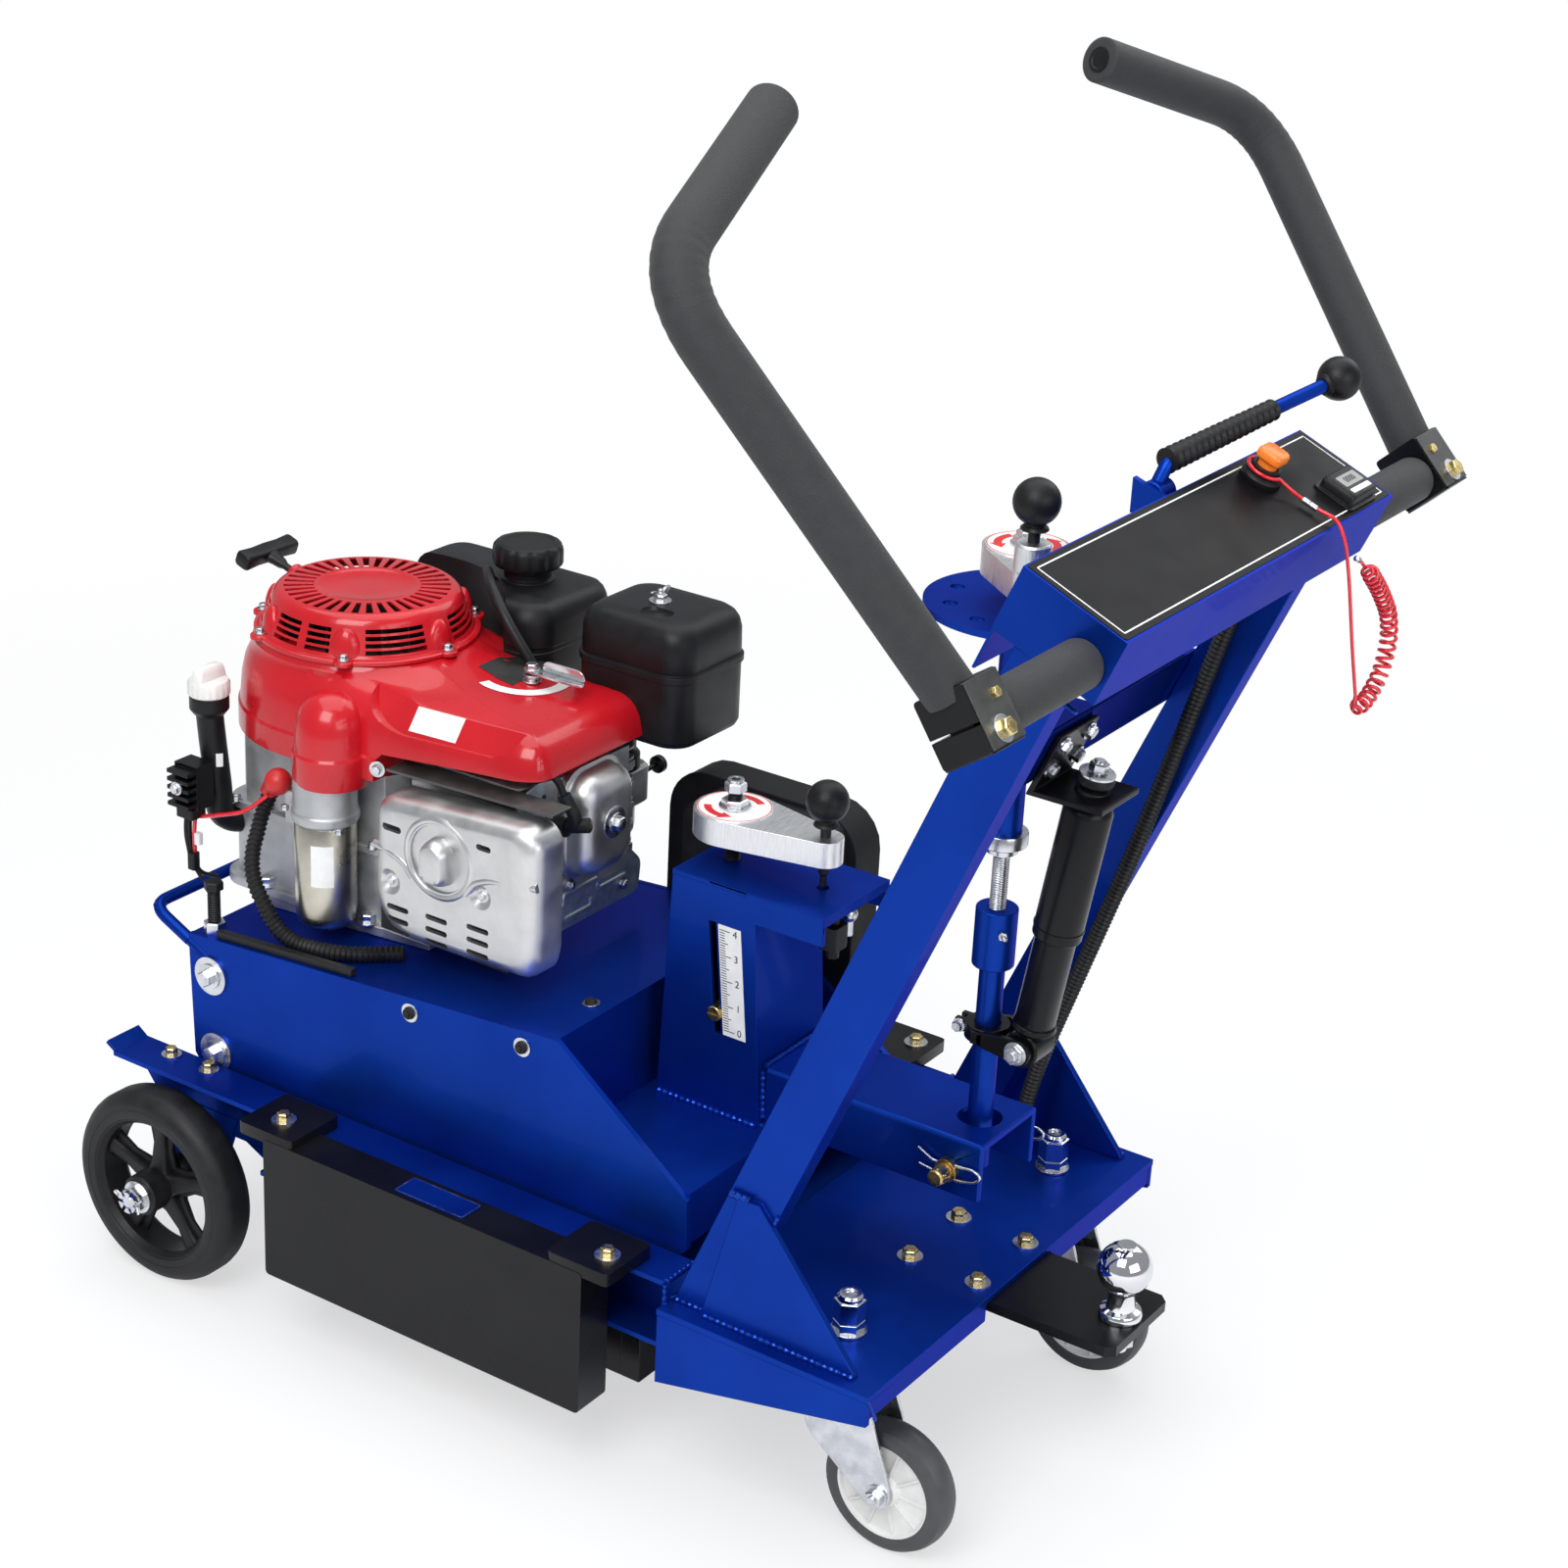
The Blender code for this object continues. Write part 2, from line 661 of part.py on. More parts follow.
def build_caster(side, fork_name, wheel_name):
    """Swivel fork with its stem nut and axle, and the wheel that turns on it."""
    x = side * CASTER_X
    head_top = PLATE_TOP - PLATE_THICK - GAP
    head = [(0, head_top - 27), (24, head_top - 27), (29, head_top - 20), (29, head_top),
            (STEM_RADIUS, head_top),
            (STEM_RADIUS, PLATE_TOP + GAP), (13.5, PLATE_TOP + GAP), (13.5, PLATE_TOP + 15),
            (9, PLATE_TOP + 21), (0, PLATE_TOP + 21)]
    fork = lathe(fork_name, head, (x, CASTER_Y, 0), steps=10, colour="steel",
                 origin=(x, CASTER_Y, head_top))
    axle_y = CASTER_Y - CASTER_TRAIL
    leg_in = CASTER_WIDTH / 2 + 3
    leg_out = leg_in + 4
    roof = CASTER_RADIUS * 2 + 8
    join(fork, box(fork_name + "_crown", (x - leg_out, CASTER_Y - 30, roof),
                   (x + leg_out, CASTER_Y + 26, head_top - 20)))
    leg = [(CASTER_Y + 26, head_top - 21), (CASTER_Y - 30, head_top - 21),
           (axle_y - 13, CASTER_RADIUS + 6),
           (axle_y - 9, CASTER_RADIUS - 11), (axle_y + 9, CASTER_RADIUS - 13), (CASTER_Y + 24, roof - 30)]
    for number, (a, b) in enumerate(((-leg_out, -leg_in), (leg_in, leg_out))):
        join(fork, prism(f"{fork_name}_leg_{number}", leg, "x", x + a, x + b))
    join(fork, rod(fork_name + "_axle", (x - leg_out - 8, axle_y, CASTER_RADIUS),
                   (x + leg_out + 8, axle_y, CASTER_RADIUS), CASTER_AXLE, 12))
    w = CASTER_WIDTH / 2
    r = CASTER_RADIUS
    bore = CASTER_AXLE + 2 * GAP
    wheel = [(bore, -w - 1), (15, -w - 1), (16, -w + 5), (r - 20, -w + 5), (r - 15, -w), (r - 3, -w + 4),
             (r, 0), (r - 3, w - 4), (r - 15, w), (r - 20, w - 5), (16, w - 5), (15, w + 1), (bore, w + 1)]
    lathe(wheel_name, wheel, (x, axle_y, r), (1, 0, 0), 16, "rubber", bore=True)


def build_wheel(side, name):
    """Tyre and rim ring on five spokes with a long hub."""
    inner = WHEEL_OUTER - WHEEL_WIDTH
    mid = side * (WHEEL_OUTER - WHEEL_WIDTH / 2)
    h = WHEEL_WIDTH / 2
    r = WHEEL_RADIUS
    ring = [(r - 30, -h + 4), (r - 24, -h), (r - 9, -h), (r, -h + 11), (r, h - 11), (r - 9, h),
            (r - 24, h),
            (r - 30, h - 4)]
    centre = (mid, WHEEL_Y, r)
    wheel = lathe(name, ring, centre, (1, 0, 0), 22, "rubber", bore=True)
    hub_out = side * (WHEEL_OUTER + 14)
    hub_in = side * inner
    start = side * min(abs(hub_out), abs(hub_in))
    length = WHEEL_WIDTH + 14
    hub = [(AXLE_RADIUS + GAP, 0), (23, 0), (21, length), (AXLE_RADIUS + GAP, length)]
    join(wheel, lathe(name + "_hub", hub, (start, WHEEL_Y, r), (side, 0, 0), 16, bore=True))
    for n in range(WHEEL_SPOKES):
        angle = math.radians(90 + 360 * n / WHEEL_SPOKES)
        c, s = math.cos(angle), math.sin(angle)
        spoke = []
        for reach, half in ((17, 11), (r - 27, 8.5), (r - 27, -8.5), (17, -11)):
            spoke.append((WHEEL_Y + reach * c - half * s, r + reach * s + half * c))
        join(wheel, prism(f"{name}_spoke_{n}", spoke, "x", mid - 8, mid + 8))
    return wheel


def build_handle(side, name, lean):
    """Bent foam-covered tube with the clamp block that turns on the end of the cross bar."""
    splay = math.radians(HANDLE_SPLAY)
    tilt = math.radians(lean)
    arch = math.radians(HANDLE_BEND)
    up = Vector((side * math.sin(splay), math.sin(tilt) * math.cos(splay),
                 math.cos(tilt) * math.cos(splay)))
    inward = Vector((-side, 0, 0))
    inward = (inward - up * inward.dot(up)).normalized()
    base = Vector((side * CLAMP_X, BAR_Y, BAR_Z))
    corner = base + up * HANDLE_LOWER
    tip = corner + (up * math.cos(arch) + inward * math.sin(arch)) * HANDLE_UPPER
    path = bend([base + up * 4, corner, tip], HANDLE_ROUND, 6)
    rounded = path[:-1] + [path[-1] - (path[-1] - path[-2]).normalized() * 2, path[-1]]
    radii = [FOAM_RADIUS] * (len(rounded) - 1) + [FOAM_RADIUS - 2.5]
    origin = (side * CLAMP_X, BAR_Y, BAR_Z)
    handle = sweep(name, rounded, radii, 10, 0.0, "foam", origin)
    half = CLAMP_SIZE / 2
    c, s = math.cos(tilt), math.sin(tilt)
    block = []
    for a, b in ((-half, -half), (half, -half), (half, half + 8), (-half, half + 8)):
        block.append((BAR_Y + a * c + b * s, BAR_Z - a * s + b * c))
    join(handle, prism(name + "_block", block, "x", side * CLAMP_X - half, side * CLAMP_X + half))
    shaft = rod(name + "_bore", (side * (CLAMP_X - half - 5), BAR_Y, BAR_Z),
                (side * (CLAMP_X + half - 8), BAR_Y, BAR_Z), BAR_RADIUS + GAP)
    return cut(handle, shaft)


def build_crossbar():
    """Tube across the tray with thick foam between the cheeks and the clamps."""
    end = CLAMP_X + CLAMP_SIZE / 2 - 9
    face = TRAY_HALF + GAP
    stop = CLAMP_X - CLAMP_SIZE / 2 - RUN
    profile = [(0, -end), (BAR_RADIUS, -end), (BAR_RADIUS, -stop), (FOAM_RADIUS, -stop),
               (FOAM_RADIUS, -face),
               (BAR_RADIUS, -face), (BAR_RADIUS, face), (FOAM_RADIUS, face), (FOAM_RADIUS, stop),
               (BAR_RADIUS, stop), (BAR_RADIUS, end), (0, end)]
    return lathe("handle_crossbar", profile, (0, BAR_Y, BAR_Z), (1, 0, 0), 12, "foam",
                 origin=(0, BAR_Y, BAR_Z))


def build_tray():
    """Folded tray under the panel face, open below, with a deeper front apron and the lever lug."""
    down = tray_down(TRAY_DEPTH)
    outline = [TRAY_UPPER, TRAY_LOWER, (TRAY_LOWER[0] + down[0], TRAY_LOWER[1] + down[1]),
               (TRAY_UPPER[0] + down[0], TRAY_UPPER[1] + down[1])]
    tray = prism("panel_tray", outline, "x", -TRAY_HALF, TRAY_HALF, "blue")
    wall = tray_down(TRAY_WALL)
    under = tray_down(TRAY_DEPTH + 20)
    across = (-wall[1], wall[0])
    hollow = []
    for edge, sign, depth in ((TRAY_UPPER, -1, wall), (TRAY_LOWER, 1, wall), (TRAY_LOWER, 1, under),
                              (TRAY_UPPER, -1, under)):
        hollow.append((edge[0] + sign * across[0] + depth[0], edge[1] + sign * across[1] + depth[1]))
    inner = TRAY_HALF - TRAY_CHEEK
    cut(tray, prism("tray_hollow", hollow, "x", -inner, inner))
    apron_low = tray_down(TRAY_APRON)
    start = tray_down(20)
    apron = []
    for depth, share in ((start, 0.1), (apron_low, 0.1), (apron_low, 0.9), (start, 0.9)):
        apron.append((TRAY_UPPER[0] + depth[0] - share * across[0],
                      TRAY_UPPER[1] + depth[1] - share * across[1]))
    join(tray, prism("tray_apron", apron, "x", -TRAY_HALF + 0.5, TRAY_HALF - 0.5))
    lug = [(TRAY_UPPER[0] - 10, TRAY_UPPER[1] - 14), (TRAY_UPPER[0] + 32, TRAY_UPPER[1] - 22),
           (TRAY_UPPER[0] + 32, TRAY_UPPER[1] + 8), (TRAY_UPPER[0] - 2, TRAY_UPPER[1] - 4)]
    join(tray, prism("tray_lug", lug, "x", LEVER_X - 22, LEVER_X - 16))
    join(tray, rod("tray_lug_pin", (LEVER_X - 17, LEVER_Y, LEVER_Z), (LEVER_X + 14, LEVER_Y, LEVER_Z), 5,
                   12))
    cut(tray, rod("tray_bar_hole", (-TRAY_HALF - 5, BAR_Y, BAR_Z), (TRAY_HALF + 5, BAR_Y, BAR_Z),
                  BAR_RADIUS + GAP))
    return tray


def build_lever():
    """Engage lever on the lug behind the tray, with a ribbed boot on its long rod and a ball end."""
    origin = (LEVER_X, LEVER_Y, LEVER_Z)
    hub = [(5 + GAP, -12), (12, -12), (12, 12), (5 + GAP, 12)]
    lever = lathe("engage_lever", hub, origin, (1, 0, 0), 16, "blue", bore=True)
    start = Vector((LEVER_X, LEVER_Y, LEVER_Z + 9))
    rise = Vector((LEVER_X + 8, LEVER_Y - 4, LEVER_Z + 27))
    turn = Vector((168, LEVER_Y - 30, LEVER_Z + 46))
    tip = Vector((222, LEVER_Y - 48, LEVER_Z + 58))
    path = bend([start, rise, turn, tip], 16, 3)
    join(lever, sweep("lever_rod", path, LEVER_ROD, 7))
    ball = [(0, -19)] + [(19 * math.cos(math.radians(a)), 19 * math.sin(math.radians(a)))
                         for a in (-60, -30, 0, 30, 60)] + [(0, 19)]
    join(lever, lathe("lever_ball", ball, tip + (tip - turn).normalized() * 12, (tip - turn).normalized(),
                      10))
    a = rise.lerp(turn, 0.14)
    b = rise.lerp(turn, 0.86)
    boot = [a.lerp(b, n / BOOT_RIBS / 2) for n in range(2 * BOOT_RIBS + 1)]
    radii = [BOOT_RADIUS if n % 2 else BOOT_RADIUS - 1.9 for n in range(2 * BOOT_RIBS + 1)]
    bore = (LEVER_ROD + 2 * GAP) / math.cos(math.pi / CONDUIT_SIDES)
    sweep("lever_boot", boot, radii, CONDUIT_SIDES, bore, "rubber", origin)
    return lever


def build_cross_member():
    """Strap across the fronts of the uprights with a boss in the middle for the index tube."""
    back_low = upright_front(CROSS_LOW) + GAP
    back_high = upright_front(CROSS_HIGH) + GAP
    strap = [(back_low, CROSS_LOW), (back_low + CROSS_STRAP, CROSS_LOW),
             (back_high + CROSS_STRAP, CROSS_HIGH), (back_high, CROSS_HIGH)]
    member = prism("cross_member", strap, "x", -CROSS_HALF, CROSS_HALF, "blue")
    boss = [(CROSS_FRONT, CROSS_LOW + 0.5), (CROSS_FRONT, CROSS_HIGH - 0.5),
            (back_high + 1, CROSS_HIGH - 0.5), (back_low + 1, CROSS_LOW + 0.5)]
    join(member, prism("cross_boss", boss, "x", -CROSS_BOSS, CROSS_BOSS))
    cut(member, rod("cross_bore", (0, POST_Y, CROSS_LOW - 5), (0, POST_Y, CROSS_HIGH + 5),
                    INDEX_RADIUS + GAP, 20))
    return member


def build_index_tube():
    """Fixed tube with the ring of index holes on top that the depth crank locks into."""
    bore = SCREW_RADIUS + RUN
    top = DISC_Z + 6
    profile = [(bore, INDEX_LOW), (INDEX_RADIUS + 5, INDEX_LOW), (INDEX_RADIUS + 5, INDEX_LOW + 12),
               (INDEX_RADIUS, INDEX_LOW + 12), (INDEX_RADIUS, DISC_Z), (DISC_RADIUS, DISC_Z),
               (DISC_RADIUS, top),
               (bore, top)]
    tube = lathe("index_tube", profile, (0, POST_Y, 0), (0, 0, 1), 20, "blue", (0, POST_Y, DISC_Z),
                 bore=True)
    for n in range(DISC_HOLES):
        angle = math.radians(DEPTH_ANGLE + 360 * n / DISC_HOLES)
        x = DEPTH_ARM * math.cos(angle)
        y = POST_Y + DEPTH_ARM * math.sin(angle)
        cut(tube, rod(f"disc_hole_{n}", (x, y, DISC_Z - 5), (x, y, top + 5), 6.5, 6))
    return tube


def crank_outline(length, hub, nose, angle, y):
    """Outline of a crank arm seen from above: a big round at the axis tapering to a small round."""
    base = math.asin((hub - nose) / length)
    points = []
    for n in range(9):
        turn = angle + math.pi / 2 - base + (math.pi + 2 * base) * n / 8
        points.append((hub * math.cos(turn), y + hub * math.sin(turn)))
    cx, cy = length * math.cos(angle), y + length * math.sin(angle)
    for n in range(7):
        turn = angle - math.pi / 2 + base + (math.pi - 2 * base) * n / 6
        points.append((cx + nose * math.cos(turn), cy + nose * math.sin(turn)))
    return points


def build_crank(name, y, low, length, angle, nose_lift, screw_low, cap_top, plunger_tip):
    """Crank arm on its screw, and the sprung ball-knob pin that slides in the arm's nose."""
    turn = math.radians(angle)
    crank = prism(name, crank_outline(length, 38, 17, turn, y), "z", low, low + CRANK_THICK, "steel",
                  (0, y, low))
    x, ny = length * math.cos(turn), y + length * math.sin(turn)
    top = low + CRANK_THICK
    if nose_lift > 0:
        join(crank, lathe(name + "_nose",
                          [(0, low + 1), (16, low + 1), (15, top + nose_lift), (0, top + nose_lift)],
                          (x, ny, 0), steps=20))
    join(crank, rod(name + "_screw", (0, y, screw_low), (0, y, cap_top - 8), SCREW_RADIUS))
    join(crank, lathe(name + "_nut", [(0, top - 1), (13, top - 1), (13, top + 6), (11, top + 6),
                                      (11, cap_top - 4), (8, cap_top), (0, cap_top)], (0, y, 0), steps=6))
    cut(crank, rod(name + "_pin_hole", (x, ny, low - 10), (x, ny, top + nose_lift + 10),
                   PLUNGER_PIN + GAP, 16))
    seat = top + nose_lift + GAP + PLUNGE
    shoulder = plunger_tip + PLUNGE + 2
    profile = [(0, plunger_tip), (PLUNGER_NOSE, plunger_tip), (PLUNGER_NOSE, shoulder),
               (PLUNGER_PIN, shoulder + 2), (PLUNGER_PIN, seat), (12, seat), (9, seat + 5)]
    for a in (-58, -28, 2, 32, 62):
        profile.append((KNOB_RADIUS * math.cos(math.radians(a)),
                        seat + 4 + KNOB_RADIUS + KNOB_RADIUS * math.sin(math.radians(a))))
    profile.append((0, seat + 4 + 2 * KNOB_RADIUS))
    lathe(name.replace("crank", "plunger"), profile, (x, ny, 0), (0, 0, 1), 10, "black", (x, ny, seat))
    return crank


def build_lift_tube():
    """Sliding tube with a screwed collar, cross-bored at its foot for the arm pin."""
    foot = ARM_TOP - ARM_DEEP + 8
    bore = SCREW_RADIUS + RUN
    profile = [(0, foot), (POST_RADIUS, foot), (POST_RADIUS, COLLAR_LOW), (COLLAR_RADIUS, COLLAR_LOW),
               (COLLAR_RADIUS, COLLAR_TOP), (bore, COLLAR_TOP), (bore, COLLAR_LOW - 60),
               (0, COLLAR_LOW - 60)]
    tube = lathe("lift_tube", profile, (0, POST_Y, 0), (0, 0, 1), 16, "blue", (0, POST_Y, COLLAR_LOW))
    return cut(tube, rod("lift_pin_hole", (-30, POST_Y, PIN_Z), (30, POST_Y, PIN_Z),
                         PIN_RADIUS + PIN_FLOAT, 12))


def build_damper():
    """Two-tube damper from the bracket to a clamp round the lift tube, its lower eye on a bolt."""
    top = Vector((0, DAMP_TOP[0], DAMP_TOP[1]))
    eye = Vector((0, DAMP_EYE[0], DAMP_EYE[1]))
    axis = (top - eye).normalized()
    span = (top - eye).length
    upper = [(0, 24), (5, 24), (5, 14), (15, 14), (15, 10), (17, 10), (17, -2.8), (5, -2.8), (5, -15.2),
             (17, -15.2),
             (DAMP_OUTER, -24), (DAMP_OUTER, -150), (DAMP_INNER + RUN, -150), (DAMP_INNER + RUN, -34),
             (0, -34)]
    lathe("damper_upper", upper, top, axis, 14, "black")
    lower = [(0, 12), (DAMP_INNER - 4, 12), (DAMP_INNER, 20), (DAMP_INNER, span - 60), (0, span - 60)]
    body = lathe("damper_lower", lower, eye, axis, 14, "black", eye)
    join(body, rod("damper_eye", eye - Vector((17, 0, 0)), eye + Vector((17, 0, 0)), 17))
    cut(body, rod("damper_eye_bore", eye - Vector((30, 0, 0)), eye + Vector((30, 0, 0)), 6.5, 16))
    ring_low = eye.z - 7
    ring = [(POST_RADIUS + GAP, 0), (POST_RADIUS + 9, 0), (POST_RADIUS + 9, 15), (POST_RADIUS + GAP, 15)]
    clamp = lathe("damper_clamp", ring, (0, POST_Y, ring_low), (0, 0, 1), 16, "black", bore=True)
    for side in (-1, 1):
        a, b = sorted((side * 18, side * 24))
        ear = [(POST_Y - 2, ring_low + 1), (POST_Y - 2, ring_low + 14), (eye.y - 11, eye.z + 11),
               (eye.y - 14, eye.z), (eye.y - 8, eye.z - 11)]
        join(clamp, prism(f"clamp_ear_{side}", ear, "x", a, b))
        bar_a, bar_b = sorted((side * (POST_RADIUS + RUN), side * 24))
        join(clamp, box(f"clamp_root_{side}", (bar_a, POST_Y - 8, ring_low + 1.5),
                        (bar_b, POST_Y + 4, ring_low + 13.5)))
    join(clamp, rod("clamp_bolt", eye - Vector((34, 0, 0)), eye + Vector((34, 0, 0)), 5, 12))
    slope = UPRIGHT_LEAN
    back = upright_front(CROSS_HIGH)
    shelf_z = DAMP_TOP[1] - 12

    def face(z, off):
        return back + (CROSS_HIGH - z) * slope - off

    leg = [(face(738, GAP), 738), (face(738, GAP + 6), 738), (face(shelf_z + 6, GAP + 6), shelf_z + 6),
           (-476, shelf_z + 6), (-476, shelf_z), (face(shelf_z, GAP), shelf_z)]
    bracket = prism("damper_bracket", leg, "x", -33, 33, "black")
    cut(bracket, rod("bracket_hole", top - axis * 40, top + axis * 20, 8, 16))
    return body


def build_housing():
    """Folded drum box: side plates, sloping deck, walls, a low back deck and the front lifting loop."""
    left_in = SIDE_LEFT + SIDE_THICK
    right_in = SIDE_RIGHT - SIDE_THICK
    drop = 62.0
    outline = [(DECK_FRONT[0], DECK_FRONT[1]), (DECK_REAR[0], DECK_REAR[1]), (BACK_END + 2, BACK_DECK - 5),
               (BACK_END, PLATE_TOP + 26), (BACK_END + 40, PLATE_TOP - 20), (DRUM_Y - 118, drop),
               (DRUM_Y + 118, drop), (DECK_FRONT[0] - 60, 150), (DECK_FRONT[0] - 5, 224)]
    housing = prism("drum_housing", outline, "x", SIDE_LEFT, left_in, "blue")
    join(housing, prism("side_right", outline, "x", right_in, SIDE_RIGHT))
    a, b = left_in - 1, right_in + 1
    deck = [(DECK_FRONT[0] - 0.5, deck_z(DECK_FRONT[0]) - 0.4),
            (DECK_REAR[0] + 0.5, deck_z(DECK_REAR[0]) - 0.4),
            (DECK_REAR[0] + 0.5, deck_z(DECK_REAR[0]) - DECK_WALL),
            (DECK_FRONT[0] - 0.5, DECK_FRONT[1] - DECK_WALL)]
    join(housing, prism("deck", deck, "x", a, b))
    join(housing, box("front_wall", (a, DECK_FRONT[0] - 9, 226),
                      (b, DECK_FRONT[0] - 4, DECK_FRONT[1] - 2)))
    join(housing, box("back_wall", (a, DECK_REAR[0] + 1, BACK_DECK - 4),
                      (b, DECK_REAR[0] + 6, DECK_REAR[1] - 2)))
    join(housing, box("back_deck", (a, BACK_END + 3, BACK_DECK - DECK_WALL),
                      (b, DECK_REAR[0] + 5, BACK_DECK)))
    join(housing, box("back_lip", (a, BACK_END + 2.5, PLATE_TOP + 28), (b, BACK_END + 7, BACK_DECK - 1)))
    loop_z = DECK_FRONT[1] + 14
    loop = bend([(SIDE_LEFT + 3, DECK_FRONT[0] - 30, DECK_FRONT[1] - 24),
                 (SIDE_LEFT + 3, DECK_FRONT[0] + 50, loop_z),
                 (SIDE_RIGHT - 3, DECK_FRONT[0] + 50, loop_z),
                 (SIDE_RIGHT - 3, DECK_FRONT[0] - 30, DECK_FRONT[1] - 24)],
                16, 4)
    join(housing, sweep("lift_loop", loop, LOOP_RADIUS, 8))
    for n, (y, z) in enumerate(((DRUM_Y, DRUM_Z), (PIVOT_Y, PIVOT_Z))):
        radius = SHAFT_RADIUS if n == 0 else PIVOT_RADIUS
        cut(housing, rod(f"side_bore_{n}", (SIDE_LEFT - 9, y, z), (SIDE_RIGHT + 9, y, z), radius + RUN,
                         16))
    return housing


def build_drum():
    """Cutter drum: a shaft carrying a stack of cutter rings, narrower spacers between them."""
    left = SIDE_LEFT + SIDE_THICK + 8
    right = SIDE_RIGHT - SIDE_THICK - 8
    pitch = (right - left) / DRUM_CUTTERS
    profile = [(0, SIDE_LEFT - 2.5), (SHAFT_RADIUS, SIDE_LEFT - 2.5), (SHAFT_RADIUS, left)]
    for n in range(DRUM_CUTTERS):
        start = left + n * pitch
        profile += [(DRUM_RADIUS - 14, start), (DRUM_RADIUS, start + pitch * 0.35),
                    (DRUM_RADIUS, start + pitch * 0.65)]
    profile += [(DRUM_RADIUS - 14, right), (SHAFT_RADIUS, right), (SHAFT_RADIUS, SIDE_RIGHT + 2.5),
                (0, SIDE_RIGHT + 2.5)]
    lathe("cutter_drum", profile, (0, DRUM_Y, DRUM_Z), (1, 0, 0), 10, "steel", (0, DRUM_Y, DRUM_Z))


def build_tower():
    """Hollow tower on the back deck with a slotted side, a shelf on top and its folded lips."""
    foot = BACK_DECK + GAP
    half = TOWER_HALF
    outline = [(-48, foot), (-58, TOWER_TOP), (-149, TOWER_TOP), (-165, foot)]
    tower = prism("tower", outline, "x", -half, half, "blue")
    inner = [(-48 - TOWER_WALL, foot - 5), (-58 - TOWER_WALL, TOWER_TOP - 5),
             (-149 + TOWER_WALL, TOWER_TOP - 5),
             (-165 + TOWER_WALL, foot - 5)]
    cut(tower, prism("tower_hollow", inner, "x", -half + TOWER_WALL, half - TOWER_WALL))
    join(tower, box("tower_shelf", (-half + 0.5, SHELF_REAR, TOWER_TOP - 6),
                    (half - 0.5, -57, TOWER_TOP + 4)))
    for side in (-1, 1):
        a, b = sorted((side * half, side * (half - 5)))
        join(tower, box(f"shelf_lip_{side}", (a, SHELF_REAR + 0.5, TOWER_TOP - 24),
                        (b, -140, TOWER_TOP + 3.5)))
    cut(tower, rod("press_hole", (0, PRESS_Y, TOWER_TOP - 20), (0, PRESS_Y, TOWER_TOP + 20),
                   SCREW_RADIUS + RUN))
    cut(tower, rod("press_pin_hole", (0, PRESS_Y - PRESS_ARM, TOWER_TOP - 20),
                   (0, PRESS_Y - PRESS_ARM, TOWER_TOP + 20), 6, 16))
    slot = [(slot_y(SLOT_TOP) + SLOT_HALF, SLOT_TOP), (slot_y(SLOT_TOP) - SLOT_HALF, SLOT_TOP),
            (slot_y(SLOT_LOW) - SLOT_HALF, SLOT_LOW), (slot_y(SLOT_LOW) + SLOT_HALF, SLOT_LOW)]
    return cut(tower, prism("tower_slot", slot, "x", -half - 5, -half + TOWER_WALL + 5))


def slot_y(z):
    return SLOT_Y - (SLOT_TOP - z) * SLOT_LEAN


def build_pointer():
    """Pointer bolt that runs in the tower slot and carries its inner nut block."""
    z = POINTER_Z
    y = slot_y(z)
    x = -TOWER_HALF
    profile = [(0, 0), (7.5, 0), (7.5, 5), (3, 5), (3, 6 + TOWER_WALL + 0.6), (9, 6 + TOWER_WALL + 0.6),
               (9, 16 + TOWER_WALL), (0, 16 + TOWER_WALL)]
    lathe("pressure_pointer", profile, (x - 5.5, y, z), (1, 0, 0), 10, "brass", (x, y, z))


def build_arm():
    """Upside-down channel from the tower to the post, with a post hole and pin holes."""
    low = ARM_TOP - ARM_DEEP
    h, w = ARM_HALF, ARM_WALL
    outline = [(-h, low), (-h, ARM_TOP - 3), (-h + 3, ARM_TOP), (h - 3, ARM_TOP), (h, ARM_TOP - 3),
               (h, low),
               (h - w, low), (h - w, ARM_TOP - w), (-h + w, ARM_TOP - w), (-h + w, low)]
    arm = prism("lift_arm", outline, "y", ARM_REAR, -166.5, "blue")
    lean = [(-160, low - 1), (-160, ARM_TOP + 1),
            (-165 + (ARM_TOP - BACK_DECK) * 0.07 - GAP - 0.8, ARM_TOP + 1),
            (-165 - GAP, low - 1)]
    cut(arm, prism("arm_face", lean, "x", -h - 5, h + 5))
    cut(arm, rod("arm_post_hole", (0, POST_Y, ARM_TOP - 20), (0, POST_Y, ARM_TOP + 20), 20, 24))
    cut(arm, rod("arm_pin_hole", (-h - 20, POST_Y, PIN_Z), (h + 20, POST_Y, PIN_Z), PIN_RADIUS + GAP, 16))
    pin = [(0, -h - 26), (8, -h - 26), (8, -h - 8), (11, -h - 8), (11, -h - GAP), (PIN_RADIUS, -h - GAP),
           (PIN_RADIUS, h + 14), (0, h + 14)]
    lathe("transport_pin", pin, (0, POST_Y, PIN_Z), (1, 0, 0), 16, "steel", (-h, POST_Y, PIN_Z))
    return arm


def shroud_ring(z, inset):
    """Outline of the engine cover: a round nose at the crank and a squared rear over the cylinder."""
    points = []
    radius = SHROUD_ROUND - inset
    for n in range(11):
        angle = math.radians(-6 + 192 * n / 10)
        points.append((radius * math.cos(angle), ENGINE_Y + radius * math.sin(angle), z))
    for x, y in SHROUD_REAR:
        keep = 1 - inset / 115.0
        points.append((x * keep, y + inset * (1.0 if y < 120 else 0.2), z))
    return points


def case_outline(grow=0.0):
    half = CASE_HALF + grow
    front = CASE_FRONT + grow
    return [(-half, CASE_REAR + 14), (-half, front - CASE_CORNER), (-half + CASE_CORNER, front),
            (half - CASE_CORNER, front), (half, front - CASE_CORNER), (half, CASE_REAR + 14),
            (half - 20, CASE_REAR), (-half + 20, CASE_REAR)]


